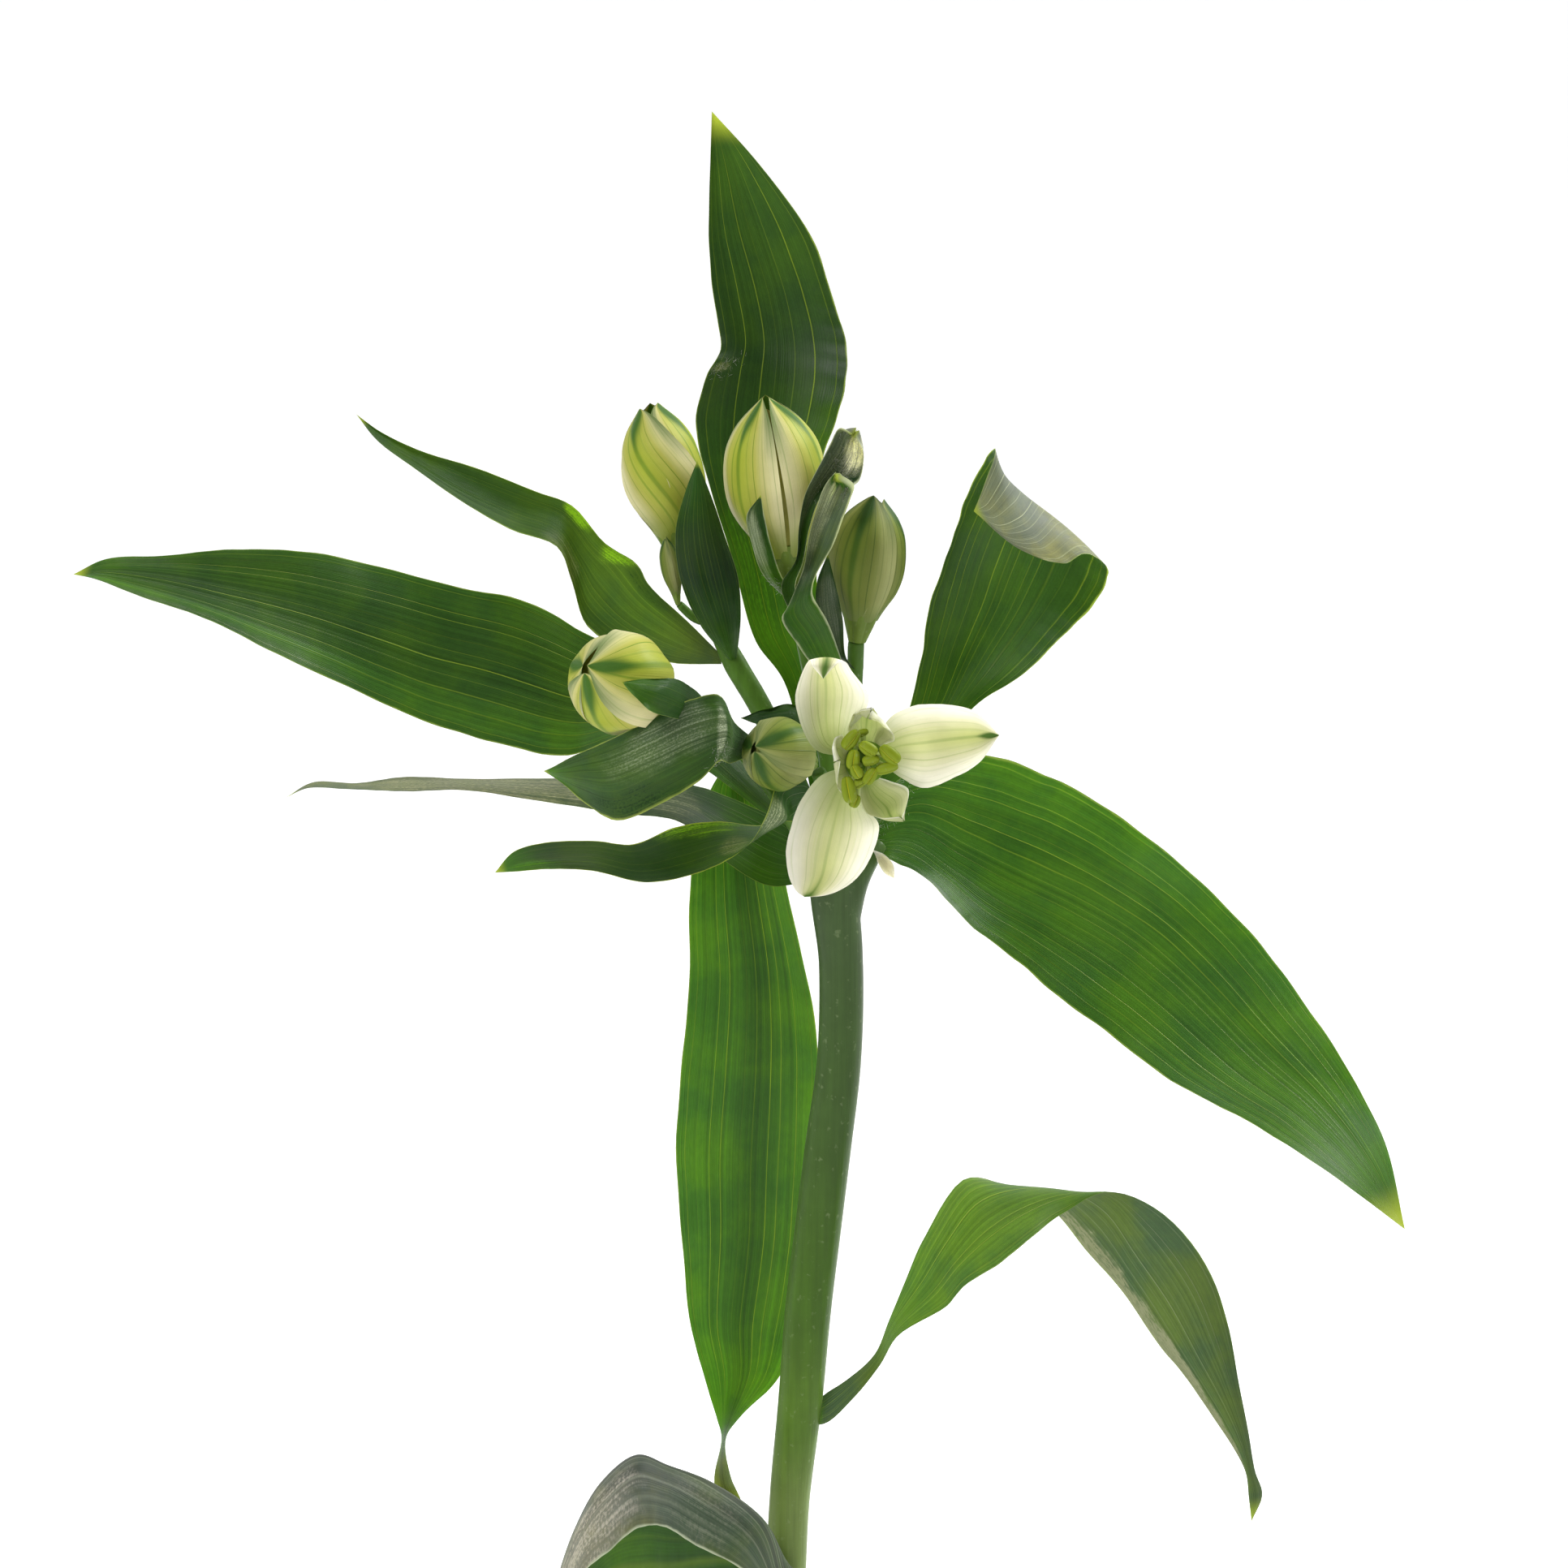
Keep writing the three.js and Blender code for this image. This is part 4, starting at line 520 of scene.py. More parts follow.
# Share of a bud's length, and share of its widest radius there
BUD_PROFILE = (
    (0, 0.24), (0.06, 0.33), (0.12, 0.42), (0.19, 0.52), (0.26, 0.64), (0.37, 0.86), (0.5, 0.99),
    (0.6, 1), (0.72, 0.93), (0.84, 0.72), (0.92, 0.48), (0.97, 0.26), (1.0, 0.06),
)
OVARY_TOP = 0.2

# Anthers: place, which way the long side leans in degrees from upright towards the right, length and radius
ANTHERS = (
    ((11.8, 345.8, -36), 38, 4, 1.3), ((13.8, 347, -34), 70, 2.2, 0.8), ((12.2, 342.3, -36.5), 8, 3.5, 1.2),
    ((12.8, 340.2, -37), -30, 2.6, 1.1), ((14.8, 344.2, -37.5), -55, 3.4, 1.3),
    ((15.3, 342.2, -37), 75, 3, 1.2),
    ((18.6, 343.2, -37), -48, 4.2, 1.45), ((18.1, 340.8, -36.5), 76, 4, 1.25),
    ((15.2, 339.4, -37), 32, 3.2, 1.1),
    ((13.4, 338.3, -36), 60, 2.8, 1), ((11.4, 337, -36.5), -10, 4.7, 1.3), ((12.5, 335, -36), 25, 2.4, 0.95),
)
# The green middle of the flower behind them: across, up, depth and radius
FLOWER_MIDDLE = (
    (14.3, 341.6, -25, 2), (14.3, 341.8, -27.5, 3.6), (14.5, 341.9, -30.5, 3.6), (14.5, 341.9, -33, 1.8))
STAMEN_FOOT = (14.1, 341.4, -26.5)
FILAMENT_RADIUS = 0.5

# The papery scale at the right of the stem's top, where the right leaf's stalk leaves it
PAPERY_SCALE = {
    "lines": (
        ((15.7, 326.4, -0.5), (15.7, 326.2, -1), (15.8, 326, -0.5)),
        ((17.6, 325.6, -0.5), (17.1, 325, -1.4), (16.5, 324.2, -0.5)),
        ((19.3, 323.7, -0.5), (18.6, 323, -1.4), (17.8, 322.2, -0.5)),
    ),
    "tip": (19.4, 321.4, -0.5),
}


def srgb(red, green, blue):
    """A colour given as it looks on a screen, 0 to 255, as the linear colour that shaders take."""
    channels = [value / 255 for value in (red, green, blue)]
    linear = [c / 12.92 if c <= 0.04045 else ((c + 0.055) / 1.055) ** 2.4 for c in channels]
    return (*linear, 1.0)


# Settings

def colour_setting(name, description, red, green, blue):
    """A colour property whose default is given as it looks on a screen."""
    return bpy.props.FloatVectorProperty(
        name=name, description=description, subtype="COLOR", size=4, default=srgb(red, green, blue),
        min=0, max=1)


class LilyLeafSettings(bpy.types.PropertyGroup):
    """Sizes and colours of the leaves and bracts."""

    rows: bpy.props.IntProperty(
        name="Rows", description="Faces along one leaf", default=96, min=20, max=240)
    columns: bpy.props.IntProperty(
        name="Columns", description="Faces across one leaf", default=28, min=8, max=80)
    ripple: bpy.props.FloatProperty(
        name="Ripple", description="Height of the fine ripple along a leaf's edge",
        default=0.12 * MM, min=0, unit="LENGTH")
    hair_length: bpy.props.FloatProperty(
        name="Hair Length", description="Length of the silvery hairs at the folds",
        default=1.1 * MM, min=0, unit="LENGTH")
    hair_radius: bpy.props.FloatProperty(
        name="Hair Radius", description="Radius of one hair", default=0.025 * MM, min=0, unit="LENGTH")
    hair_density: bpy.props.FloatProperty(
        name="Hair Density", description="Hairs on a square metre where they are thickest",
        default=12000000, min=0)
    vein_colour: colour_setting("Vein Colour", "Colour of the pale parallel veins", 150, 172, 66)
    tip_colour: colour_setting("Tip Colour", "Colour of a leaf's dry yellowish tip", 150, 165, 60)
    hair_colour: colour_setting("Hair Colour", "Colour of the silvery hairs", 225, 225, 218)


class LilyFlowerSettings(bpy.types.PropertyGroup):
    """Sizes and colours of the buds, the open flower and the stem."""

    tepal_rows: bpy.props.IntProperty(
        name="Tepal Rows", description="Faces along one tepal", default=48, min=12, max=120)
    tepal_columns: bpy.props.IntProperty(
        name="Tepal Columns", description="Faces across one tepal", default=28, min=8, max=80)
    stem_voxel: bpy.props.FloatProperty(
        name="Stem Voxel", description="Size of the mesh that joins the stem and its rays",
        default=0.4 * MM, min=0.1 * MM, unit="LENGTH")
    bud_cream: colour_setting("Bud Cream", "Colour of the pale buds", 176, 174, 84)
    anther_colour: colour_setting("Anther Colour", "Colour of the anthers", 114, 130, 20)
    stem_colour: colour_setting("Stem Colour", "Colour of the stem's skin", 62, 82, 46)


class LilyPotSettings(bpy.types.PropertyGroup):
    """Sizes and colours of the pot and its soil."""

    segments: bpy.props.IntProperty(
        name="Segments", description="Faces round the pot", default=144, min=36, max=360)
    crumb_size: bpy.props.FloatProperty(
        name="Crumb Size", description="Widest radius of a crumb of soil",
        default=1.5 * MM, min=0, unit="LENGTH")
    crumb_density: bpy.props.FloatProperty(
        name="Crumb Density", description="Crumbs on a square metre of soil", default=150000, min=0)
    clay_colour: colour_setting("Clay Colour", "Colour of the fired clay", 142, 78, 52)
    soil_colour: colour_setting("Soil Colour", "Colour of the damp soil", 62, 43, 30)


class LilyStageSettings(bpy.types.PropertyGroup):
    """The floor and the studio light."""

    floor_radius: bpy.props.FloatProperty(
        name="Floor Radius", description="Radius of the pale floor", default=9.0, min=0.5, unit="LENGTH")
    back_light: bpy.props.FloatProperty(
        name="Back Light", description="Brightness of the wide light behind the plant", default=1.15, min=0)
    front_light: bpy.props.FloatProperty(
        name="Front Light", description="Brightness of the surroundings in front", default=0.24, min=0)
    rim_power: bpy.props.FloatProperty(
        name="Rim Power", description="Power of the small light above and behind", default=16.0, min=0,
        unit="POWER")
    key_power: bpy.props.FloatProperty(
        name="Key Power", description="Power of the soft light above and in front", default=12.0, min=0,
        unit="POWER")


# Making meshes from rows of points

def spline(stops, shares):
    """Points of a centripetal Catmull-Rom curve through the stops, at shares from 0 to 1 of its spans."""
    stops = np.asarray(stops, float)
    last = len(stops) - 1
    points = []
    for share in np.atleast_1d(shares):
        span = min(int(share * last), last - 1)
        local = share * last - span
        near, far = stops[span], stops[span + 1]
        before = stops[span - 1] if span > 0 else 2 * near - far
        after = stops[span + 2] if span + 2 <= last else 2 * far - near
        gap_before = max(np.linalg.norm(near - before) ** 0.5, 1e-4)
        gap = max(np.linalg.norm(far - near) ** 0.5, 1e-4)
        gap_after = max(np.linalg.norm(after - far) ** 0.5, 1e-4)
        start = (
            (near - before) / gap_before - (far - before) / (gap_before + gap) + (far - near) / gap) * gap
        end = (
            (far - near) / gap - (after - near) / (gap + gap_after) + (after - far) / gap_after) * gap
        square = -3 * near + 3 * far - 2 * start - end
        cube = 2 * near - 2 * far + start + end
        points.append(near + start * local + square * local ** 2 + cube * local ** 3)
    return np.array(points)


def blade_rails(blade):
    """The three rails of a blade, as true places."""
    return [
        np.array([seen(line[rail]) for line in blade["lines"]] + [seen(blade["tip"])])
        for rail in range(3)]


def lower_leaf_rails(leaf):
    """The three rails of an arched leaf on the lower stem."""
    angle = math.radians(leaf["heading"])
    out = np.array([math.cos(angle), math.sin(angle), 0])
    aside = np.array([-math.sin(angle), math.cos(angle), 0])
    start = stem_centre_at(leaf["foot"]) + STEM_SKIN * out
    rails = []
    for side in (-1, 0, 1):
        places = []
        for stop, share in enumerate(LOWER_LEAF_WIDTHS):
            along = stop / (len(LOWER_LEAF_WIDTHS) - 1)
            turned = math.sin(along * ARCH_TURN) / math.sin(ARCH_TURN)
            place = start + out * leaf["length"] * ARCH_REACH * turned
            place[2] += leaf["rise"] * math.sin(math.pi * min(along / ARCH_RISE_END, 1)) + ARCH_CLIMB * along
            place[2] -= ARCH_DROOP * leaf["length"] * along ** 3
            place += aside * side * share * leaf["width"] / 2
            place[2] += side * side * share * leaf["width"] * ARCH_CUP
            places.append(place)
        rails.append(np.array(places))
    return rails


def stem_centre_at(height):
    """The middle of the stem at a height, in millimetres."""
    stops = stem_stops()[:, :3]
    above = int(np.argmax(stops[:, 2] > height))
    low, high = stops[above - 1], stops[above]
    return low + (high - low) * (height - low[2]) / (high[2] - low[2])


def stem_stops():
    """True places and radii along the stem, from its foot in the soil up to the whorl."""
    upper = [(*seen(stop[:3]), stop[3]) for stop in STEM_ROUTE]
    return np.array([*STEM_FOOT_STOPS, *upper])


# Shares of a blade's half width that its outline bulges by, and the half widths in millimetres, narrow and
# further on, between which the bulges and ripples grow
WIDE_BULGE = 0.01
SMALL_BULGE = 0.005
NARROW_HALF = 4
WIDER_HALF = 6
RIPPLES = 23
ROLL_START = 0.62


def blade_sheet(rails, rows, columns, waves=0, wave_height=0, ripple=0, roll=0, ruffle=None):
    """Rows of points lofted through three rails, cupped between them and waved along the edges.

    roll turns the edges towards the eye. ruffle is (across, up, folds): how far the far end is pushed
    in and out.
    """
    shares = np.linspace(0, 1, rows + 1)
    edge_a, middle, edge_b = [spline(rail, shares)[:, None] for rail in rails]
    side = np.linspace(-1, 1, columns + 1)[None, :, None]
    across = (edge_b - edge_a) / 2
    bow = (edge_a + edge_b) / 2 - middle
    along = shares[:, None]
    edge = side[..., 0]
    half_width = np.linalg.norm(across, axis=2)
    # A wide blade's outline bulges a little here and there.
    bulge = WIDE_BULGE * np.sin(37 * along + 1.9 * edge) * (1 + np.sin(9 * along + edge))
    bulge = bulge + SMALL_BULGE * np.sin(97 * along + 4 * edge)
    bulge = 1 + bulge * edge ** 2 * np.clip((half_width - NARROW_HALF) / WIDER_HALF, 0, 1)
    sheet = middle + across * side * bulge[..., None] + bow * side ** 2
    lift = wave_height * np.sin(math.pi * along) * edge ** 2 * np.sin(2 * math.pi * waves * along + edge)
    fine = ripple * np.clip(half_width / WIDER_HALF, 0, 1) * edge ** 4
    lift = lift + fine * np.sin(2 * math.pi * RIPPLES * along + 2.1 * edge + 3 * np.sin(17 * along))
    rolled = np.clip((np.abs(edge) - ROLL_START) / (1 - ROLL_START), 0, 1) ** 2
    rolled = rolled * np.sin(math.pi * np.clip(along, 0.05, 0.95))
    sheet[..., 1] += lift - roll * rolled * (1 + 0.5 * np.sin(19 * along + 4 * edge))
    if ruffle:
        push_across, push_up, folds = ruffle
        fold = along ** 3 * np.sin(math.pi * folds * edge + 0.6)
        sheet[..., 0] += push_across * fold
        sheet[..., 2] += push_up * fold
    return sheet


def grid_mesh(name, grid, turned=False, ring=False, foot_point=False, tip_point=False):
    """A mesh of rows of points, with the UV map "blade": u runs across and v runs along.

    The first or last row may close to one point, and a ring's last column joins its first.
    """
    rows, columns = grid.shape[0] - 1, grid.shape[1] - (0 if ring else 1)
    edit = bmesh.new()
    uv = edit.loops.layers.uv.new("blade")
    points = []
    for row, line in enumerate(grid):
        if (row == 0 and foot_point) or (row == rows and tip_point):
            points.append([edit.verts.new(Vector(line.mean(axis=0)) * MM)] * len(line))
        else:
            points.append([edit.verts.new(Vector(point) * MM) for point in line])
    for row in range(rows):
        for column in range(columns):
            beyond = (column + 1) % len(points[row])
            corners = [
                (points[row][column], column, row), (points[row][beyond], column + 1, row),
                (points[row + 1][beyond], column + 1, row + 1), (points[row + 1][column], column, row + 1)]
            if row == 0 and foot_point:
                corners.pop(1)
            if row == rows - 1 and tip_point:
                corners.pop(2)
            # Rows run along and points run across, so the front is the reverse of this order.
            ordered = corners if turned else corners[::-1]
            face = edit.faces.new([corner[0] for corner in ordered])
            face.smooth = True
            for loop, (_, across, along) in zip(face.loops, ordered):
                loop[uv].uv = (across / columns, along / rows)
    mesh = bpy.data.meshes.new(name)
    edit.to_mesh(mesh)
    edit.free()
    return mesh


def joined_mesh(name, meshes, materials):
    """One mesh of several, each with its own material. The parts are used up."""
    edit = bmesh.new()
    for index, part in enumerate(meshes):
        before = len(edit.faces)
        edit.from_mesh(part)
        edit.faces.ensure_lookup_table()
        for face in edit.faces[before:]:
            face.material_index = index
        bpy.data.meshes.remove(part)
    whole = bpy.data.meshes.new(name)
    edit.to_mesh(whole)
    edit.free()
    for material in materials:
        whole.materials.append(material)
    return whole


def ring_mesh(name, rings):
    """A closed mesh of rings of points, with a point at each end."""
    return grid_mesh(name, rings, turned=True, ring=True, foot_point=True, tip_point=True)


def add_object(name, data):
    """A new object in the scene."""
    made = bpy.data.objects.new(name, data)
    bpy.context.collection.objects.link(made)
    return made


def modified_mesh(thing):
    """A plain mesh of an object as its modifiers leave it."""
    return bpy.data.meshes.new_from_object(thing.evaluated_get(bpy.context.evaluated_depsgraph_get()))


def add_piece(name, mesh, slot, *nodes):
    """Puts a finished mesh in the scene, riding on the plant's one body in place of its CAD nodes."""
    piece = add_object(name, mesh)
    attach(piece, BODY)
    if nodes:
        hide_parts(*nodes)
    return piece


def tube_rows(stops, rows, sides):
    """Rings of points along a curve through the stops, each a true place and a radius."""
    shares = np.linspace(0, 1, rows + 1)
    centres = spline(stops[:, :3], shares)
    radii = np.interp(shares * (len(stops) - 1), np.arange(len(stops)), stops[:, 3])
    tangents = np.gradient(centres, axis=0)
    tangents /= np.linalg.norm(tangents, axis=1)[:, None]
    normal = np.cross(tangents[0], (0.3, 1, 0.2))
    turns = np.linspace(0, 2 * math.pi, sides, endpoint=False)
    rings = []
    for centre, tangent, radius in zip(centres, tangents, radii):
        normal = normal - tangent * (normal @ tangent)
        normal /= np.linalg.norm(normal)
        aside = np.cross(tangent, normal)
        rings.append(centre + radius * (
            np.cos(turns)[:, None] * normal + np.sin(turns)[:, None] * aside))
    return np.array(rings)


def closed_tube(name, stops, rows, sides):
    """A closed tube, with a point at each end."""
    rings = tube_rows(stops, rows, sides)
    ends = [np.repeat(ring.mean(axis=0)[None], sides, axis=0) for ring in (rings[0], rings[-1])]
    return ring_mesh(name, np.array([ends[0], *rings, ends[1]]))


# Building node trees

class Graph:
    """Adds nodes to a tree and joins them. An input is a value, or another node's output socket."""

    def __init__(self, tree):
        self.tree = tree

    def add(self, kind, inputs=None, **settings):
        node = self.tree.nodes.new(kind)
        for name, value in settings.items():
            setattr(node, name, value)
        for name, value in (inputs or {}).items():
            self.feed(node.inputs[name], value)
        return node

    def feed(self, socket, value):
        if isinstance(value, bpy.types.NodeSocket):
            self.tree.links.new(value, socket)
        else:
            socket.default_value = value

    def math(self, operation, *values):
        return self.add("ShaderNodeMath", dict(enumerate(values)), operation=operation).outputs[0]

    def times(self, first, second):
        return self.math("MULTIPLY", first, second)

    def minus(self, first, second):
        return self.math("SUBTRACT", first, second)

    def line(self, value, slope, start):
        """The value times the slope, plus the start."""
        return self.math("MULTIPLY_ADD", value, slope, start)

    def place(self):
        """The place on the object."""
        return self.add("ShaderNodeTexCoord").outputs["Object"]

    def bump(self, strength, depth, height):
        """A bumpy normal, with the depth in millimetres."""
        return self.add("ShaderNodeBump", {
            "Strength": strength, "Distance": depth * MM, "Height": height}).outputs[0]

    def mix(self, factor, first, second, blend="MIX"):
        inputs = {0: factor, 6: first, 7: second}
        return self.add("ShaderNodeMix", inputs, data_type="RGBA", blend_type=blend).outputs[2]

    def step(self, value, start, end, low=0.0, high=1.0):
        """A smooth step from low to high as the value goes from start to end."""
        numbers = dict(enumerate((value, start, end, low, high)))
        return self.add("ShaderNodeMapRange", numbers, interpolation_type="SMOOTHSTEP").outputs[0]

    def noise(self, vector, scale, detail=2.0, roughness=0.5):
        return self.add("ShaderNodeTexNoise", {
            "Vector": vector, "Scale": scale, "Detail": detail, "Roughness": roughness}).outputs[0]

    def ramp(self, factor, stops):
        """Colours at places from 0 to 1, blended smoothly between them."""
        node = self.add("ShaderNodeValToRGB", {"Fac": factor})
        node.color_ramp.interpolation = "EASE"
        elements = node.color_ramp.elements
        while len(elements) < len(stops):
            elements.new(0.5)
        while len(elements) > len(stops):
            elements.remove(elements[-1])
        for element, (place, colour) in zip(elements, stops):
            element.position = place
            element.color = colour
        return node.outputs[0]

    def group(self, tree, inputs):
        return self.add("ShaderNodeGroup", inputs, node_tree=tree)


def shader_group(name, inputs, outputs):
    """A new shader node group, with its graph and the nodes that hold its inputs and outputs."""
    tree = bpy.data.node_groups.new(name, "ShaderNodeTree")
    for socket, kind, default in inputs:
        made = tree.interface.new_socket(name=socket, in_out="INPUT", socket_type=kind)
        made.default_value = default
    for socket, kind in outputs:
        tree.interface.new_socket(name=socket, in_out="OUTPUT", socket_type=kind)
    graph = Graph(tree)
    return tree, graph, graph.add("NodeGroupInput").outputs, graph.add("NodeGroupOutput")


def new_material(name):
    """An empty material, its graph and its output node."""
    material = bpy.data.materials.new(name)
    material.use_nodes = True
    material.node_tree.nodes.clear()
    graph = Graph(material.node_tree)
    return material, graph, graph.add("ShaderNodeOutputMaterial")


FLOAT = "NodeSocketFloat"


def floats(*names):
    """Number outputs of a shader group."""
    return [(name, FLOAT) for name in names]


def blade_pattern_group():
    """Veins, streaks, pale margin, tip and mottling of a leaf or tepal, read from its UV map."""
    if "blade pattern" in bpy.data.node_groups:
        return bpy.data.node_groups["blade pattern"]
    tree, graph, given, out = shader_group("blade pattern", (
        ("Veins", FLOAT, 12.0), ("Vein Width", FLOAT, 0.06), ("Fine Veins", FLOAT, 90.0),
        ("Margin", FLOAT, 0.012), ("Tip Start", FLOAT, 0.95), ("Mottle Scale", FLOAT, 70.0),
        ("Streaks", FLOAT, 34.0),
    ), floats("Across", "Along", "Vein", "Fine Vein", "Margin", "Tip", "Mottle", "Streak", "Hatch", "Relief"))
    uv = graph.add("ShaderNodeUVMap", uv_map="blade").outputs[0]
    parts = graph.add("ShaderNodeSeparateXYZ", {"Vector": uv}).outputs
    across, along = parts[0], parts[1]
    place = graph.place()

    def spread_noise(share_across, share_along, detail):
        spot = graph.add("ShaderNodeCombineXYZ", {
            "X": graph.times(across, share_across), "Y": graph.times(along, share_along)})
        return graph.noise(spot.outputs[0], 1.0, detail, 0.6)

    # Veins wander a little along the blade, and lie closer together in places.
    wander = graph.minus(graph.noise(place, 60.0, 1.0), 0.5)
    spacing = graph.minus(spread_noise(5.0, 0.0, 1.0), 0.5)
    strayed = graph.line(wander, 0.02, graph.line(spacing, 0.16, across))

    def lines(count, width, power, least):
        counted = graph.times(strayed, count)
        cell = graph.math("FLOOR", counted)
        off_centre = graph.math("ABSOLUTE", graph.minus(graph.minus(counted, cell), 0.5))
        line = graph.step(off_centre, 0.0, width, 1.0, 0.0)
        chance = graph.add("ShaderNodeTexWhiteNoise", {"W": cell}, noise_dimensions="1D").outputs["Value"]
        strength = graph.line(graph.math("POWER", chance, power), 1 - least, least)
        return graph.times(line, strength)

    vein = lines(given["Veins"], given["Vein Width"], 2.2, 0.1)
    fading = graph.step(graph.noise(place, 55.0, 1.0), 0.3, 0.6, 0.55, 1.0)
    vein = graph.times(vein, fading)
    fine = lines(given["Fine Veins"], 0.4, 1.0, 0.2)
    from_edge = graph.math("MINIMUM", across, graph.minus(1.0, across))
    fray = graph.minus(graph.noise(place, 300.0, 2.0), 0.5)
    frayed = graph.line(graph.times(fray, given["Margin"]), 1.2, from_edge)
    margin = graph.step(frayed, 0.0, given["Margin"], 1.0, 0.0)
    tip = graph.step(along, given["Tip Start"], 1.0)
    mottle = graph.noise(place, given["Mottle Scale"], 4.0, 0.6)
    streak = spread_noise(given["Streaks"], 1.6, 3.0)
    hatch = spread_noise(graph.times(given["Streaks"], 1.6), 150.0, 2.0)
    relief = graph.line(fine, 0.35, graph.line(streak, 0.8, vein))
    results = (across, along, vein, fine, margin, tip, mottle, streak, hatch, relief)
    for socket, result in zip(out.inputs, results):
        graph.feed(socket, result)
    return tree


def patch_group():
    """A soft oval patch on a blade, with a ragged outline: 1 in its middle, 0 outside."""
    if "blade patch" in bpy.data.node_groups:
        return bpy.data.node_groups["blade patch"]
    tree, graph, given, out = shader_group("blade patch", (
        ("Across", FLOAT, 0.5), ("Along", FLOAT, 0.5), ("Middle Across", FLOAT, 0.5),
        ("Middle Along", FLOAT, 0.5), ("Spread Across", FLOAT, 0.2), ("Spread Along", FLOAT, 0.1),
    ), floats("Patch"))
    place = graph.place()
    squares = []
    for way in ("Across", "Along"):
        off = graph.minus(given[way], given[f"Middle {way}"])
        off = graph.math("DIVIDE", off, given[f"Spread {way}"])
        squares.append(graph.times(off, off))
    far = graph.math("SQRT", graph.math("ADD", *squares))
    ragged = graph.line(graph.minus(graph.noise(place, 240.0, 3.0), 0.5), 0.9, far)
    graph.feed(out.inputs[0], graph.step(ragged, 0.35, 1.0, 1.0, 0.0))
    return tree


def end_blade(graph, out, surface, colour, glow, bump, through):
    """Ends a blade's material: its surface, and the light that comes through it, coloured by the glow."""
    lit = graph.mix(1.0, colour, (*glow, 1.0), "MULTIPLY")
    passing = graph.add("ShaderNodeBsdfTranslucent", {"Color": lit, "Normal": bump})
    both = graph.add("ShaderNodeMixShader", {0: through, 1: surface.outputs[0], 2: passing.outputs[0]})
    graph.feed(out.inputs["Surface"], both.outputs[0])


# Roughness of a blade's grey side and of a tepal, and the light that comes through a tepal
UNDER_ROUGH = 0.55
TEPAL_ROUGH = 0.5
TEPAL_GLOW = (1.05, 1.05, 0.9)


def finish_blade(material_name, upper, under, settings, *, veins=13, vein_width=0.055, fine_veins=90,
                 streaks=34, margin=0.012, margin_share=0.6, margin_colour=None, vein_share=0.6,
                 under_vein_share=0.4, tip_start=0.94, painted_light_bands=None, patches=(), streak_depth=0.8,
                 glow=(1.35, 1.35, 0.2), through=0.4, rough=0.42, gloss=0.4, sheen=0.0):
    """A two-sided leaf: green above, grey-green below, and lit through from behind.

    upper and under are colours at places along the blade, and the bands are shares of brightness across it:
    painted light and shade, such as a bright band where light comes through.
    patches are (across, along, spread across, spread along, colour, share); some of them are painted
    highlights, glints, light coming through and shade.
    """
    if material_name in bpy.data.materials:
        return bpy.data.materials[material_name]
    material, graph, out = new_material(material_name)
    pattern = graph.group(blade_pattern_group(), {
        "Veins": float(veins), "Vein Width": vein_width, "Fine Veins": float(fine_veins), "Margin": margin,
        "Tip Start": tip_start, "Mottle Scale": 70.0, "Streaks": float(streaks)}).outputs
    behind = graph.add("ShaderNodeNewGeometry").outputs["Backfacing"]
    colour = graph.mix(behind, graph.ramp(pattern["Along"], upper), graph.ramp(pattern["Along"], under))
    # Cloudy places are yellower, and those between them bluer.
    cloud = graph.step(pattern["Mottle"], 0.36, 0.64)
    colour = graph.mix(1.0, colour, graph.mix(cloud, COOL_CLOUD, WARM_CLOUD), "MULTIPLY")
    brightness = graph.line(pattern["Streak"], streak_depth, 1 - streak_depth / 2)
    # Painted light and shade: brighter and darker bands across the blade, such as a bright band where light
    # comes through.
    if painted_light_bands:
        shares = [(place, (share, share, share, 1.0)) for place, share in painted_light_bands]
        brightness = graph.times(brightness, graph.ramp(pattern["Across"], shares))
    for layer, slope, start in (("Fine Vein", 0.14, 0.95), ("Hatch", 0.3, 0.85), ("Mottle", 0.8, 0.58)):
        brightness = graph.times(brightness, graph.line(pattern[layer], slope, start))
    colour = graph.mix(1.0, colour, brightness, "MULTIPLY")
    # Patches of colour: some are the blade's own colour, and some are painted highlights, glints, light
    # coming through and shade.
    for across, along, spread_across, spread_along, patch_colour, share in patches:
        patch = graph.group(patch_group(), {
            "Across": pattern["Across"], "Along": pattern["Along"], "Middle Across": across,
            "Middle Along": along, "Spread Across": spread_across, "Spread Along": spread_along}).outputs[0]
        broken = graph.step(graph.line(pattern["Hatch"], 0.6, pattern["Streak"]), 0.72, 1.05)
        textured = graph.times(patch, graph.line(broken, share, 0.2 * share))
        colour = graph.mix(textured, colour, patch_colour)
    strength = graph.line(behind, under_vein_share - vein_share, vein_share)
    line_colour = graph.mix(behind, tuple(settings.vein_colour), UNDER_VEIN)
    colour = graph.mix(graph.times(pattern["Vein"], strength), colour, line_colour)
    edge = margin_colour or PALE_EDGE
    colour = graph.mix(graph.times(pattern["Margin"], margin_share), colour, edge)
    colour = graph.mix(pattern["Tip"], colour, tuple(settings.tip_colour))
    bump = graph.bump(0.4, 0.12, pattern["Relief"])
    sides = graph.line(behind, UNDER_ROUGH - rough, rough - 0.12)
    roughness = graph.line(pattern["Streak"], 0.25, sides)
    surface = graph.add("ShaderNodeBsdfPrincipled", {
        "Base Color": colour, "Roughness": roughness, "Normal": bump, "Specular IOR Level": gloss,
        "Sheen Weight": sheen, "Sheen Roughness": 0.4, "Sheen Tint": (0.9, 0.95, 0.9, 1.0)})
    end_blade(graph, out, surface, colour, glow, bump, through)
    return material


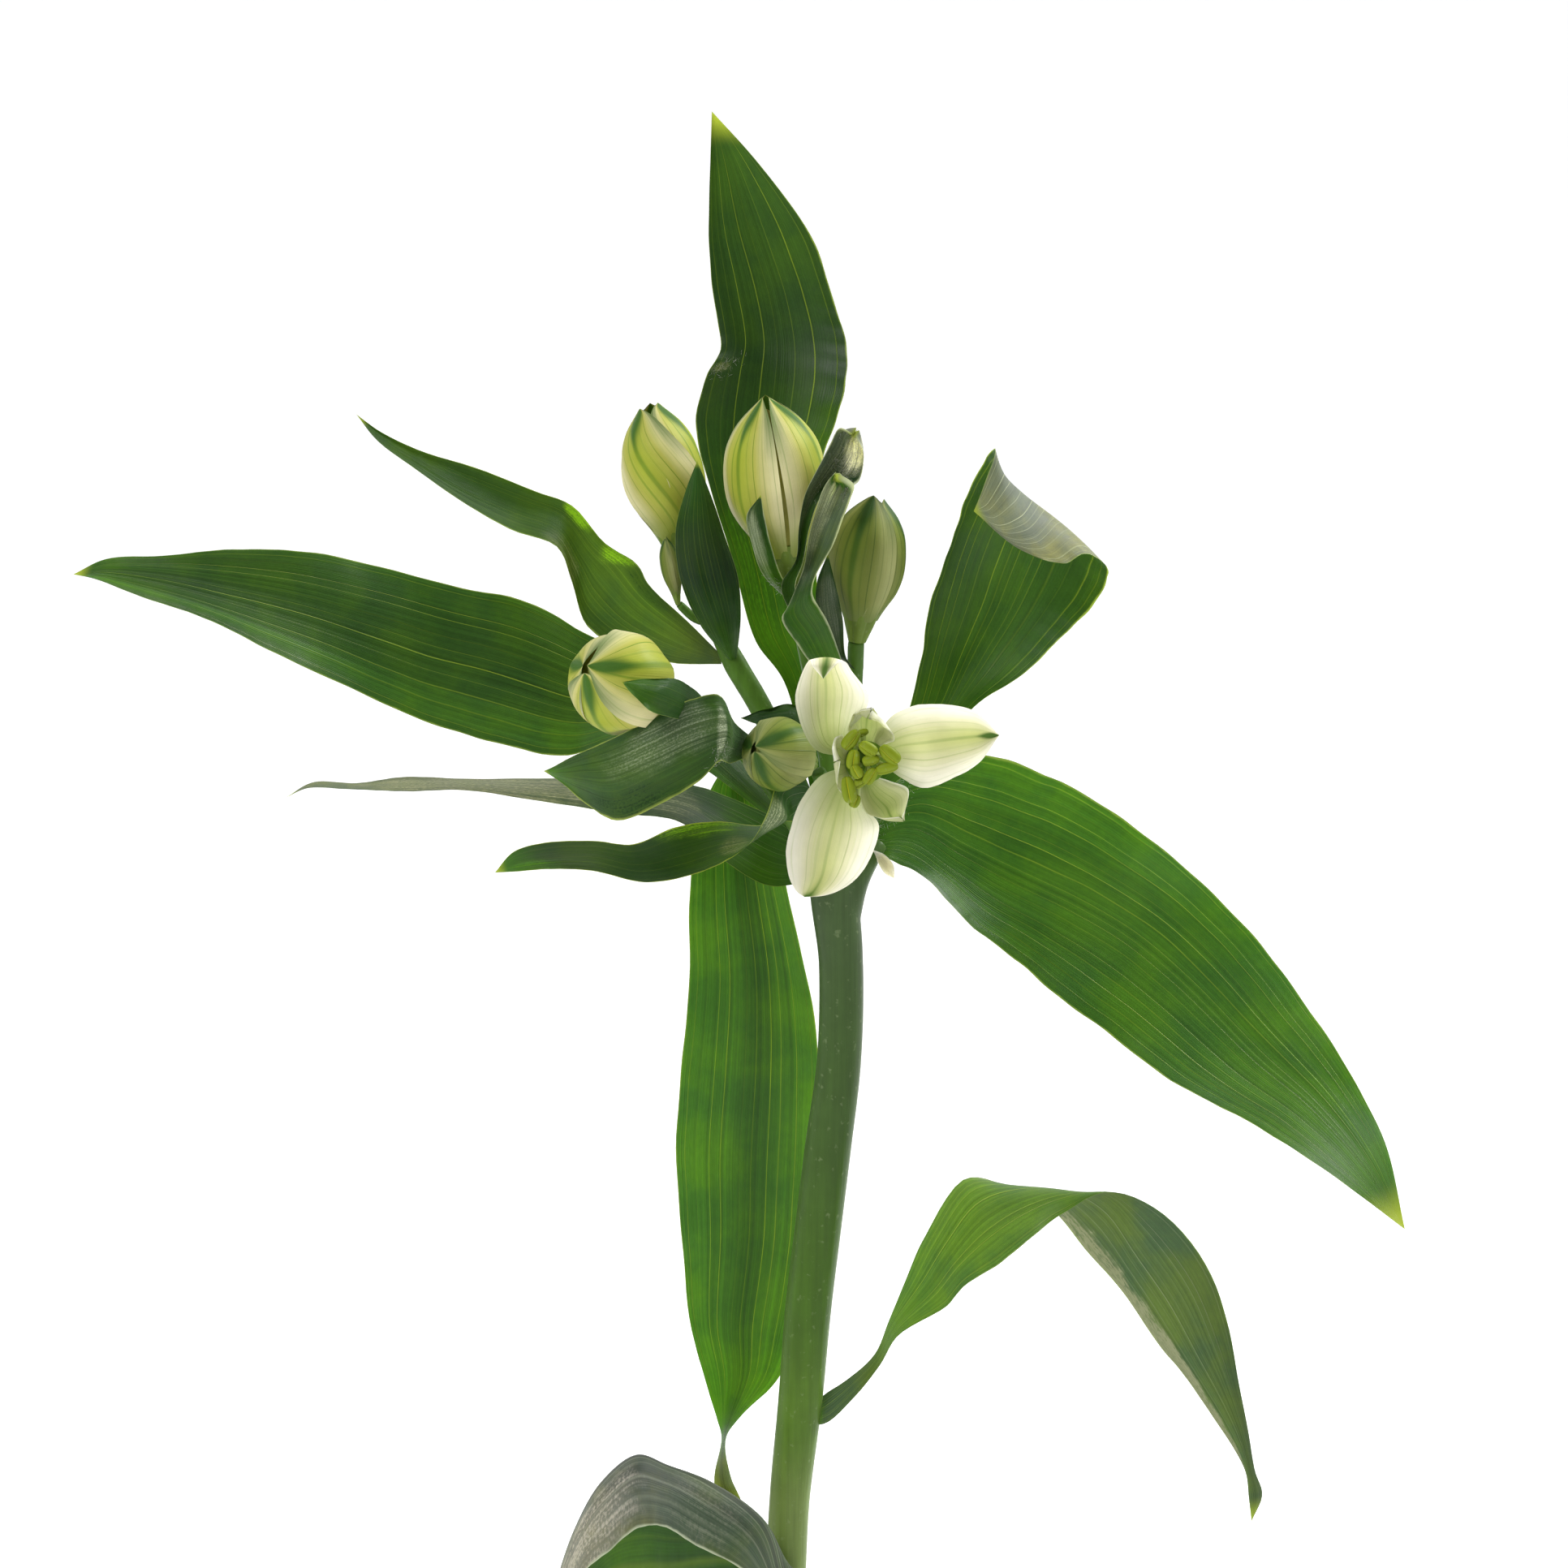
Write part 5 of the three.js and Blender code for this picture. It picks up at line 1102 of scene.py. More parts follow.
def finish_tepal(material_name, *, body, pale, keel, tip, foot, vein, halo, keel_width=0.05,
                 keel_share=0.8, halo_width=0.24, halo_share=0.5, vein_share=0.55, vein_width=0.1, veins=11,
                 tip_start=0.9, foot_end=0.2, rim_share=0.0, margin=None, through=0.35):
    """A tepal: pale at its edges, yellower inside, with a green keel, thin green veins and a greener foot."""
    if material_name in bpy.data.materials:
        return bpy.data.materials[material_name]
    material, graph, out = new_material(material_name)
    pattern = graph.group(blade_pattern_group(), {
        "Veins": float(veins), "Vein Width": vein_width, "Fine Veins": 80.0, "Margin": 0.05,
        "Tip Start": tip_start, "Mottle Scale": 160.0, "Streaks": 16.0}).outputs
    from_keel = graph.math("ABSOLUTE", graph.minus(pattern["Across"], 0.5))
    loose = graph.line(graph.minus(pattern["Streak"], 0.5), 0.16, from_keel)
    widen = graph.line(pattern["Along"], keel_width, keel_width * 0.4)
    on_keel = graph.step(from_keel, graph.times(widen, 0.2), widen, 1.0, 0.0)
    near_keel = graph.step(loose, graph.times(widen, 0.5), halo_width, 1.0, 0.0)
    late = graph.step(pattern["Along"], 0.05, 0.8, 0.6, 1.0)
    # Paler towards the edges: partly the tepal's own colour, partly painted light that makes it look plump.
    near_edge = graph.step(loose, 0.2, 0.46)
    colour = graph.mix(near_edge, body, pale)
    colour = graph.mix(graph.times(graph.times(near_keel, late), halo_share), colour, halo)
    # The same colour lies along the stronger veins.
    strong = graph.step(pattern["Streak"], 0.5, 0.7)
    colour = graph.mix(graph.times(strong, halo_share * 0.4), colour, halo)
    colour = graph.mix(graph.times(pattern["Vein"], vein_share), colour, vein)
    colour = graph.mix(graph.times(graph.times(on_keel, late), keel_share), colour, keel)
    colour = graph.mix(graph.step(pattern["Along"], 0.0, foot_end, 0.85, 0.0), colour, foot)
    if margin:
        colour = graph.mix(graph.times(pattern["Margin"], 0.8), colour, margin)
    rim = graph.times(graph.step(loose, 0.3, 0.46), graph.step(pattern["Along"], 0.5, 0.95))
    colour = graph.mix(graph.times(rim, rim_share), colour, tip)
    ragged_tip = graph.minus(graph.math("ADD", pattern["Along"], 0.2), from_keel)
    colour = graph.mix(graph.step(ragged_tip, tip_start, 1.04), colour, tip)
    shade = graph.line(pattern["Mottle"], 0.3, 0.85)
    fine = graph.line(pattern["Fine Vein"], -0.06, 1.02)
    colour = graph.mix(1.0, colour, graph.times(shade, fine), "MULTIPLY")
    bump = graph.bump(0.4, 0.15, pattern["Relief"])
    surface = graph.add("ShaderNodeBsdfPrincipled", {
        "Base Color": colour, "Roughness": graph.line(pattern["Streak"], 0.2, TEPAL_ROUGH - 0.1),
        "Normal": bump, "Specular IOR Level": 0.15})
    end_blade(graph, out, surface, colour, TEPAL_GLOW, bump, through)
    return material


def skin_pattern_group():
    """Fine lengthwise streaks, soft mottling and small specks, read from the place on the plant."""
    if "skin pattern" in bpy.data.node_groups:
        return bpy.data.node_groups["skin pattern"]
    tree, graph, given, out = shader_group("skin pattern", (("Streak", FLOAT, 0.25),), floats(
        "Streaks", "Shade", "Speck", "Relief"))
    place = graph.place()
    stretched = graph.add("ShaderNodeMapping", {"Vector": place, "Scale": (1.0, 1.0, 0.035)}).outputs[0]
    streaks = graph.noise(stretched, 1100.0, 3.0, 0.6)
    mottle = graph.noise(place, 130.0, 4.0, 0.6)
    specks = graph.noise(place, 900.0, 2.0, 0.5)
    least = graph.line(given["Streak"], -0.5, 1.0)
    shade = graph.line(streaks, given["Streak"], least)
    shade = graph.times(shade, graph.line(mottle, 0.5, 0.75))
    relief = graph.math("ADD", streaks, graph.times(specks, 0.25))
    for socket, result in zip(out.inputs, (streaks, shade, graph.step(specks, 0.62, 0.75, 0.0, 0.2), relief)):
        graph.feed(socket, result)
    return tree


def finish_skin(material_name, colour, *, streak=0.25, glossy=0.42, heights=None):
    """A stem's or ovary's skin: fine lengthwise streaks, soft mottling and a low sheen.

    heights are (height, colour) from the lowest up, blended between.
    """
    if material_name in bpy.data.materials:
        return bpy.data.materials[material_name]
    material, graph, out = new_material(material_name)
    pattern = graph.group(skin_pattern_group(), {"Streak": streak}).outputs
    base = tuple(colour)
    if heights:
        place = graph.place()
        height = graph.add("ShaderNodeSeparateXYZ", {"Vector": place}).outputs[2]
        for (low, _), (high, tone) in zip(heights, heights[1:]):
            base = graph.mix(graph.step(height, low * MM, high * MM), base, tone)
    tone = graph.mix(1.0, base, pattern["Shade"], "MULTIPLY")
    tone = graph.mix(pattern["Speck"], tone, srgb(150, 165, 120))
    bump = graph.bump(0.35, 0.2, pattern["Relief"])
    surface = graph.add("ShaderNodeBsdfPrincipled", {
        "Base Color": tone, "Roughness": graph.line(pattern["Streaks"], 0.2, glossy - 0.1),
        "Normal": bump, "Specular IOR Level": 0.15, "Sheen Weight": 0.06, "Sheen Roughness": 0.35})
    graph.feed(out.inputs["Surface"], surface.outputs[0])
    return material


# Leaf colours, as they look on a screen. Some also serve as painted light and shade below: BRIGHT and FRESH
# where light comes through, SILVER_EDGE as glints and DARK in creases.
DARK = srgb(30, 54, 22)
DEEP = srgb(40, 70, 24)
LEAF = srgb(48, 86, 26)
FRESH = srgb(66, 112, 28)
BRIGHT = srgb(112, 158, 34)
YELLOW_LEAF = srgb(80, 114, 44)
DUSTY_LEAF = srgb(58, 86, 40)
DUSKY = srgb(40, 62, 34)
GREY_GREEN = srgb(68, 86, 56)
GREY = srgb(92, 102, 88)
SILVER = srgb(136, 142, 128)
PALE_FLAP = srgb(124, 128, 106)
CREAM = srgb(236, 234, 212)
WARM_GREY = srgb(120, 120, 104)
RIDGE_GREY = srgb(92, 98, 78)
OLIVE_FOOT = srgb(78, 92, 62)
WARM_SILVER = srgb(178, 172, 160)
FUZZ = srgb(150, 152, 140)
COOL_CLOUD = (0.84, 0.92, 1.12, 1.0)
WARM_CLOUD = (1.16, 1.08, 0.66, 1.0)
UNDER_VEIN = srgb(214, 220, 196)
PALE_EDGE = srgb(140, 160, 90)
SILVER_EDGE = srgb(186, 194, 168)
YELLOW_EDGE = srgb(158, 172, 84)

# Stem colours from its foot up, at true heights in millimetres
STEM_HEIGHTS = (
    (110, srgb(104, 124, 62)), (204, srgb(104, 124, 62)), (222, srgb(78, 108, 34)), (245, srgb(62, 92, 26)),
    (285, srgb(60, 84, 38)))

# How each blade is coloured: its green side and its grey side, from the foot to the tip. A side that isn't
# given is the plain leaf's. The bands across a blade, and some patches, are painted light and shade.
PLAIN_LEAF = {"upper": ((0, LEAF), (0.5, LEAF), (1, FRESH)), "under": ((0, GREY_GREEN), (1, GREY_GREEN))}
BLADE_FINISHES = {
    "leaf_right": {
        "upper": ((0, DEEP), (0.12, LEAF), (0.6, LEAF), (1, LEAF)), "veins": 19, "vein_width": 0.05,
        "fine_veins": 100, "streaks": 40, "streak_depth": 1.2,
        # Painted light: brighter towards one edge.
        "painted_light_bands": ((0, 1.5), (0.12, 1.2), (0.3, 1.0), (1, 1.0)),
        "patches": ((0.45, 0.05, 0.6, 0.045, SILVER_EDGE, 1.3), (0.15, 0.12, 0.2, 0.035, SILVER_EDGE, 0.9)),
    },
    "leaf_top": {
        "upper": ((0, LEAF), (0.3, LEAF), (0.42, DEEP), (0.6, DARK), (1, DEEP)), "veins": 8,
        "vein_share": 0.45,
        # Painted light: the brighter green patch low on the blade, where light comes through; painted shade:
        # the dark line across it.
        "patches": (
            (0.2, 0.3, 0.45, 0.12, FRESH, 0.9), (0.25, 0.59, 0.35, 0.025, DARK, 3.5),
            (0.1, 0.6, 0.12, 0.02, FUZZ, 0.4)),
    },
    "leaf_left": {
        "upper": ((0, DEEP), (0.4, DEEP), (0.8, DEEP), (1, LEAF)), "veins": 11, "vein_width": 0.045,
        "vein_share": 0.45, "streak_depth": 1.3,
        # Painted light and shade: a bright band where light comes through, darker across the middle.
        "painted_light_bands": ((0, 1.3), (0.12, 1.0), (0.55, 0.85), (0.74, 0.95), (0.86, 1.5), (1, 1.2)),
    },
    "leaf_upper_right": {
        "upper": ((0, LEAF), (0.5, DEEP), (0.75, DEEP), (1, DEEP)),
        "under": ((0, GREY_GREEN), (0.6, GREY), (0.72, PALE_FLAP), (0.9, PALE_FLAP), (1, PALE_FLAP)),
        "veins": 15, "vein_width": 0.09, "under_vein_share": 0.6, "sheen": 0.2, "fine_veins": 70,
        "streaks": 26, "vein_share": 0.4, "margin_share": 0.9,
    },
    "leaf_narrow_left": {
        "upper": ((0, LEAF), (1, LEAF)),
        "under": ((0, LEAF), (0.16, LEAF), (0.3, DUSKY), (0.6, DUSKY), (1, GREY)), "veins": 13,
        "vein_width": 0.06, "through": 0.3, "under_vein_share": 0.22, "streak_depth": 1.3,
        "patches": ((0.5, 0.6, 1.0, 0.25, WARM_SILVER, 0.5), (0.5, 0.32, 0.6, 0.06, FUZZ, 0.4)),
    },
    "leaf_lower_left": {
        "upper": ((0, LEAF), (0.3, LEAF), (0.55, DEEP), (0.8, DUSKY), (1, FRESH)),
        "under": ((0, LEAF), (0.3, LEAF), (0.4, GREY_GREEN), (1, GREY_GREEN)), "veins": 8, "through": 0.4,
        "vein_share": 0.25, "margin": 0.03, "margin_share": 0.9, "margin_colour": YELLOW_EDGE,
        # Painted light: the bright patch at the far edge, where light comes through.
        "patches": (
            (1.0, 0.5, 0.35, 0.12, BRIGHT, 1.1), (0.35, 0.42, 0.3, 0.05, SILVER, 0.7),
            (0.1, 0.86, 0.5, 0.1, FRESH, 1.0), (0.1, 0.28, 0.5, 0.07, SILVER_EDGE, 1.0)),
    },
    "leaf_stem_tall": {
        "upper": ((0, OLIVE_FOOT), (0.17, OLIVE_FOOT), (0.21, LEAF), (0.28, FRESH), (0.5, LEAF), (1, LEAF)),
        "under": ((0, OLIVE_FOOT), (0.17, OLIVE_FOOT), (0.21, GREY_GREEN), (1, GREY_GREEN)), "veins": 10,
        "streak_depth": 1.4,
        # Painted light and shade: bright at both edges, darker past the middle.
        "painted_light_bands": ((0, 1.7), (0.15, 1.45), (0.35, 1.2), (0.55, 0.75), (0.8, 1.05), (1, 1.4)),
    },
    "leaf_stem_right": {
        "upper": (
            (0, BRIGHT), (0.06, GREY_GREEN), (0.14, GREY_GREEN), (0.24, YELLOW_LEAF), (0.5, YELLOW_LEAF),
            (1, LEAF)),
        "veins": 11, "vein_width": 0.08,
        "under_vein_share": 0.15, "vein_share": 0.8, "streak_depth": 1.3, "glow": (1.0, 1.15, 0.6),
        "patches": ((1.0, 0.7, 0.2, 0.25, WARM_GREY, 3.5), (1.0, 0.44, 0.12, 0.05, WARM_SILVER, 0.8)),
    },
    "leaf_stem_left": {
        "upper": ((0, LEAF), (1, FRESH)),
        "under": ((0, DUSKY), (0.3, GREY_GREEN), (0.45, RIDGE_GREY), (1, WARM_GREY)),
        # Painted light and shade: light and dark stripes across the blade.
        "painted_light_bands": (
            (0, 1.0), (0.18, 0.8), (0.3, 1.1), (0.42, 0.65), (0.52, 1.0), (0.6, 0.6), (0.68, 1.1),
            (0.78, 0.75), (0.86, 1.1), (1, 1.0)),
        "veins": 13, "vein_width": 0.2, "under_vein_share": 0.3, "sheen": 0.1, "streak_depth": 1.4,
        "through": 0.2, "margin": 0.012, "margin_share": 0.9, "margin_colour": SILVER_EDGE,
        "patches": (
            (0.85, 0.66, 0.22, 0.2, WARM_SILVER, 1.3), (0.5, 0.68, 0.08, 0.16, WARM_SILVER, 1.0),
            (0.25, 0.62, 0.1, 0.12, WARM_SILVER, 0.7), (0.7, 0.3, 0.5, 0.12, WARM_SILVER, 0.2)),
    },
    "bract_upper_left": {
        "upper": ((0, GREY_GREEN), (0.2, DUSTY_LEAF), (0.6, DUSTY_LEAF), (1, DEEP)), "veins": 10,
        "vein_share": 0.3, "fine_veins": 120, "margin": 0.025, "margin_share": 0.8, "streak_depth": 1.2,
        # Painted light: the two bright patches along one edge, where light comes through; painted shade: the
        # dark patch in the crinkle.
        "patches": (
            (0.0, 0.48, 0.3, 0.05, BRIGHT, 2.2), (0.05, 0.34, 0.3, 0.06, BRIGHT, 2.2),
            (0.15, 0.22, 0.1, 0.09, DARK, 1.0), (0.9, 0.45, 0.3, 0.1, SILVER, 0.5)),
    },
    "bract_upper_left_bud": {
        "upper": ((0, LEAF), (0.5, DARK), (1, LEAF)), "veins": 14, "vein_width": 0.08, "vein_share": 0.3,
        "through": 0.2, "fine_veins": 60, "sheen": 0.1, "rough": 0.32, "streak_depth": 1.2,
    },
    "bract_left_folded": {
        "upper": ((0, LEAF), (0.3, DEEP), (0.75, DUSTY_LEAF), (1, FRESH)), "veins": 14, "vein_share": 0.2,
        "through": 0.15, "sheen": 0.1, "rough": 0.3, "fine_veins": 110, "margin": 0.03, "margin_share": 0.7,
        "margin_colour": YELLOW_EDGE, "streak_depth": 1.5,
        # Painted highlights: the two silvery patches are glints along the fold and on the blade.
        "patches": (
            (0.55, 0.27, 0.5, 0.03, SILVER_EDGE, 0.9), (0.4, 0.45, 0.4, 0.22, SILVER_EDGE, 0.35),
            (0.9, 0.6, 0.2, 0.2, DARK, 1.2)),
    },
    "bract_left_bud": {
        "upper": ((0, DEEP), (1, LEAF)), "veins": 9, "vein_share": 0.25, "through": 0.2, "rough": 0.36,
    },
    "bract_small_bud": {
        "upper": ((0, DEEP), (1, DEEP)), "veins": 7, "vein_share": 0.25, "through": 0.2, "rough": 0.36,
    },
    "bract_middle_small": {
        "upper": ((0, FRESH), (0.4, LEAF), (1, DUSKY)), "veins": 7, "vein_share": 0.3, "through": 0.25,
        "margin": 0.08, "margin_share": 0.7, "margin_colour": SILVER_EDGE,
        "patches": ((0.3, 0.5, 0.5, 0.4, SILVER_EDGE, 0.9),), "streak_depth": 1.3,
    },
    "bract_middle_front": {
        "upper": ((0, FRESH), (0.35, LEAF), (0.5, GREY_GREEN), (0.85, GREY), (0.93, LEAF), (1, DUSKY)),
        "under": ((0, GREY_GREEN), (1, SILVER)), "patches": ((0.3, 0.7, 0.4, 0.25, SILVER_EDGE, 0.9),),
        "veins": 9, "vein_share": 0.35, "through": 0.2, "sheen": 0.1, "streak_depth": 1.4, "margin": 0.07,
        "margin_share": 0.9, "margin_colour": SILVER_EDGE, "rough": 0.34,
    },
    "bract_middle_back": {
        "upper": ((0, LEAF), (0.3, DEEP), (0.6, DUSKY), (1, GREY)), "under": ((0, GREY_GREEN), (1, SILVER)),
        "veins": 8, "patches": ((0.75, 0.8, 0.4, 0.2, CREAM, 2.2), (0.3, 0.6, 0.3, 0.3, SILVER, 0.6)),
        "streak_depth": 1.4, "vein_share": 0.25, "through": 0.2, "sheen": 0.1, "margin": 0.05,
        "margin_share": 0.9, "margin_colour": SILVER_EDGE, "rough": 0.34,
    },
    "bract_right_dark": {
        "patches": ((0.5, 0.6, 0.6, 0.4, SILVER, 0.7),), "streak_depth": 1.4,
        "upper": ((0, DUSKY), (1, DEEP)), "veins": 7, "vein_share": 0.2, "through": 0.15,
    },
}
TEPAL_FINISHES = {
    "tepal_outer": {
        "body": srgb(222, 218, 188), "pale": srgb(242, 238, 226), "keel": srgb(104, 138, 56),
        "tip": srgb(78, 110, 46), "foot": srgb(154, 170, 88), "vein": srgb(148, 168, 96),
        "keel_width": 0.035, "keel_share": 0.4, "halo": srgb(190, 196, 120), "halo_share": 0.9,
        "halo_width": 0.34, "veins": 9, "vein_width": 0.16, "vein_share": 0.6, "tip_start": 0.94,
        "foot_end": 0.4,
    },
    "tepal_inner": {
        "body": srgb(176, 184, 122), "pale": srgb(204, 206, 164), "keel": srgb(106, 138, 56),
        "tip": srgb(150, 174, 96), "foot": srgb(140, 168, 66), "vein": srgb(132, 158, 84),
        "keel_width": 0.04, "keel_share": 0.6, "halo": srgb(166, 182, 98), "halo_share": 0.6, "veins": 9,
        "vein_share": 0.8, "margin": srgb(246, 246, 236),
    },
}
TEPAL_FINISHES["tepal_outer_top"] = {**TEPAL_FINISHES["tepal_outer"], "tip_start": 0.72, "foot_end": 0.55}
TEPAL_FINISHES["tepal_outer_lower"] = {**TEPAL_FINISHES["tepal_outer"], "tip_start": 0.7}
BUD_FINISHES = {
    "cream": {
        "pale": srgb(214, 208, 158), "keel": srgb(78, 118, 24), "tip": srgb(62, 100, 28),
        "foot": srgb(130, 148, 52), "vein": srgb(98, 134, 30), "halo": srgb(150, 166, 36),
        "halo_share": 0.75, "halo_width": 0.3, "keel_width": 0.045, "keel_share": 0.65, "rim_share": 0.85,
        "veins": 9, "vein_width": 0.1, "tip_start": 0.88, "vein_share": 1.0, "foot_end": 0.35,
    },
    "olive": {
        "pale": srgb(160, 164, 106), "keel": srgb(56, 92, 24), "tip": srgb(52, 84, 28),
        "foot": srgb(112, 128, 66), "vein": srgb(60, 88, 34), "halo": srgb(104, 124, 38), "halo_share": 0.75,
        "halo_width": 0.32, "keel_width": 0.07, "rim_share": 0.7, "veins": 9, "vein_width": 0.12,
        "tip_start": 0.82, "vein_share": 0.9,
    },
}
OLIVE_BODY = srgb(124, 132, 66)


# Leaves, bracts and the open flower

BRACT_ROLL = 0.8
BRACT_GLOSS = 0.12
LEAF_GLOSS = 0.3
PAPERY = ((0, srgb(226, 224, 218)), (0.4, srgb(176, 176, 168)), (1, srgb(236, 234, 230)))


def blade_piece(name, blade, settings):
    """A leaf or bract in place of its CAD node, with its own finish."""
    is_bract = name.startswith("bract")
    sheet = blade_sheet(
        blade_rails(blade), settings.rows // (2 if is_bract else 1), settings.columns, blade.get("waves", 0),
        blade.get("wave_height", 0), settings.ripple / MM, BRACT_ROLL if is_bract else 0, blade.get("ruffle"))
    mesh = grid_mesh(name, sheet, turned=name in TURNED_BLADES, tip_point=True)
    mesh.materials.append(finish_blade(
        f"{name} skin", settings=settings, gloss=BRACT_GLOSS if is_bract else LEAF_GLOSS,
        **{**PLAIN_LEAF, **BLADE_FINISHES[name]}))
    return add_piece(f"fine_{name}", mesh, "bract" if is_bract else "leaf", name)


def lower_leaf_piece(name, leaf, settings):
    """An arched leaf of the lower stem, below the stretch that was seen."""
    sheet = blade_sheet(lower_leaf_rails(leaf), settings.rows, settings.columns, 2, 0.8, settings.ripple / MM)
    mesh = grid_mesh(name, sheet, tip_point=True)
    mesh.materials.append(finish_blade("lower leaf skin", settings=settings, veins=12, **PLAIN_LEAF))
    return add_piece(f"fine_{name}", mesh, "leaf", name)


def papery_scale_piece(settings):
    """The dry, whitish scale beside the stem's top."""
    sheet = blade_sheet(blade_rails(PAPERY_SCALE), 30, 16, ripple=0.4)
    mesh = grid_mesh("papery_scale", sheet, tip_point=True)
    mesh.materials.append(finish_blade(
        "papery scale skin", PAPERY, PAPERY, settings, veins=9, margin=0.1, margin_colour=PAPERY[0][1],
        tip_start=0.99, vein_share=0.1, under_vein_share=0.1, glow=(1.0, 1.0, 1.0), rough=0.25))
    return add_piece("fine_papery_scale", mesh, "bract")


def tepal_piece(name, blade, settings):
    """A tepal of the open flower."""
    sheet = blade_sheet(
        blade_rails(blade), settings.tepal_rows, settings.tepal_columns, blade.get("waves", 0),
        blade.get("wave_height", 0), ruffle=blade.get("ruffle"))
    mesh = grid_mesh(name, sheet, turned=name in TURNED_BLADES, tip_point=True)
    kind = name.rsplit("_", 1)[0]
    finish = name if name in TEPAL_FINISHES else kind
    mesh.materials.append(finish_tepal(f"{finish} skin", **TEPAL_FINISHES[finish]))
    return add_piece(f"fine_{name}", mesh, "tepal" if kind == "tepal_outer" else "inner_tepal", name)


def anther_meshes(place, lean, length, radius):
    """A plump anther of two lobes, and the yellow seam in the groove between them."""
    turns = np.linspace(0, 2 * math.pi, 36, endpoint=False)
    angle, spin = math.radians(lean), math.radians(0.7 * lean)
    meshes = []
    two_lobes = 0.34 + 0.66 * np.abs(np.cos(turns)) ** 0.7
    for name, lobes, depth in (("anther", two_lobes, 1), ("seam", 0.45, 0.35)):
        rings = []
        for along in np.linspace(0, math.pi, 15):
            reach = radius * math.sin(along) ** 0.6 * (1 + 0.1 * math.cos(along)) * lobes
            flat_x = reach * np.cos(turns) * depth
            flat_y = reach * np.sin(turns)
            x = flat_x * math.cos(spin) - flat_y * math.sin(spin)
            y = flat_x * math.sin(spin) + flat_y * math.cos(spin)
            z = np.full_like(turns, -math.cos(along) * length / 2)
            rings.append(np.stack([x, y, z], axis=1))
        shape = np.array(rings)
        turned = shape.copy()
        turned[..., 0] = shape[..., 0] * math.cos(angle) + shape[..., 2] * math.sin(angle)
        turned[..., 2] = shape[..., 2] * math.cos(angle) - shape[..., 0] * math.sin(angle)
        meshes.append(ring_mesh(name, turned + place))
    return meshes


def stamens_piece(settings):
    """The filaments and anthers in the open flower, round its green middle."""
    foot = seen(STAMEN_FOOT)
    middle = np.array([[*seen(stop[:3]), stop[3]] for stop in FLOWER_MIDDLE])
    meshes = [closed_tube("middle", middle, 24, 32)]
    for place, lean, length, radius in ANTHERS:
        end = seen(place)
        bend = (foot + end) / 2 + np.array([0, 0, 0.8])
        stops = np.array([[*point, FILAMENT_RADIUS] for point in (foot, bend, end)])
        meshes.append(closed_tube("filament", stops, 12, 10))
        meshes.extend(anther_meshes(end, lean, length, radius))
    filament = finish_skin("filament skin", srgb(176, 192, 110), streak=0.1)
    anther = finish_skin("anther skin", settings.anther_colour, streak=0.15, glossy=0.5)
    seam = finish_skin("anther seam", srgb(178, 174, 34), streak=0.1, glossy=0.5)
    inside = finish_skin("flower middle", srgb(92, 124, 30), streak=0.2)
    whole = joined_mesh("stamens", meshes, [inside] + [filament, anther, seam] * len(ANTHERS))
    return add_piece("fine_stamens", whole, "stamen", "stamens")


# Buds

def round_bud(bud, along, radius, angle):
    """Rows of points at shares of a bud's length, each at a radius and an angle round its axis."""
    foot, top = seen(bud["foot"]), seen(bud["top"])
    length = np.linalg.norm(top - foot)
    axis = (top - foot) / length
    front = np.array([0, -1.0, 0.0]) + axis * axis[1]
    front /= np.linalg.norm(front)
    points = foot + (along * length)[:, None, None] * axis
    points = points + (radius * np.cos(angle))[..., None] * front
    return points + (radius * np.sin(angle))[..., None] * np.cross(axis, front)


def bud_radius_at(along):
    """Share of a bud's widest radius at a share of its length, on a smooth curve through the profile."""
    stops = np.array([[share, radius, 0] for share, radius in BUD_PROFILE])
    curve = spline(stops, np.linspace(0, 1, 200))
    return np.interp(along, curve[:, 0], curve[:, 1])


def bud_tepal_sheet(bud, tepal, settings):
    """One tepal wrapped round a bud: wide at its middle, meeting the others at the top."""
    shares = np.linspace(0, 1, settings.tepal_rows + 1)
    side = np.linspace(-1, 1, settings.tepal_columns + 1)[None, :]
    along = OVARY_TOP - 0.03 + (tepal["length"] - OVARY_TOP + 0.03) * shares
    turn = np.radians(tepal["foot"] + (tepal["tip"] - tepal["foot"]) * shares ** 1.2)[:, None]
    spread = tepal.get("spread", 0.25)
    half = np.radians(tepal["half"]) * (1 + spread * (1 - np.sin(math.pi * np.clip(shares * 1.6, 0, 0.5))))
    half = (half * (1 - shares ** 26) ** 0.6)[:, None]
    angle = turn + half * side
    # The keel stands out a little, the tepal's edges lift over the next one, and the tips come together.
    lifting = np.clip(shares[:, None] / 0.3, 0, 1)
    crest = 1 + 0.06 * np.exp(-(side / 0.16) ** 2) + (0.04 * side ** 6 + tepal["lift"]) * lifting
    crest = crest + 0.02 * np.cos(7 * side + 5 * shares[:, None]) * lifting
    closing = 1 - 0.75 * shares[:, None] ** 14
    flare = tepal.get("flare", 0.05) * shares[:, None] ** 9
    tucked = 0.97 + 0.03 * np.clip(shares[:, None] / 0.12, 0, 1)
    radius = bud["radius"] * (bud_radius_at(along)[:, None] * crest * closing * tucked + flare)
    return round_bud(bud, along, radius, angle)


def bud_body_rows(bud, start, end, share, ribs=0, depth=0.0, rows=40, sides=72):
    """Rings of points round a bud's axis from one share of its length to another, with lengthwise ribs."""
    along = np.linspace(start, end, rows + 1)
    turns = np.linspace(0, 2 * math.pi, sides, endpoint=False)[None, :]
    radius = bud["radius"] * share * bud_radius_at(along)[:, None]
    radius = radius * (1 - depth * (1 - np.abs(np.cos(ribs * turns / 2))) ** 1.2)
    return round_bud(bud, along, radius, turns)


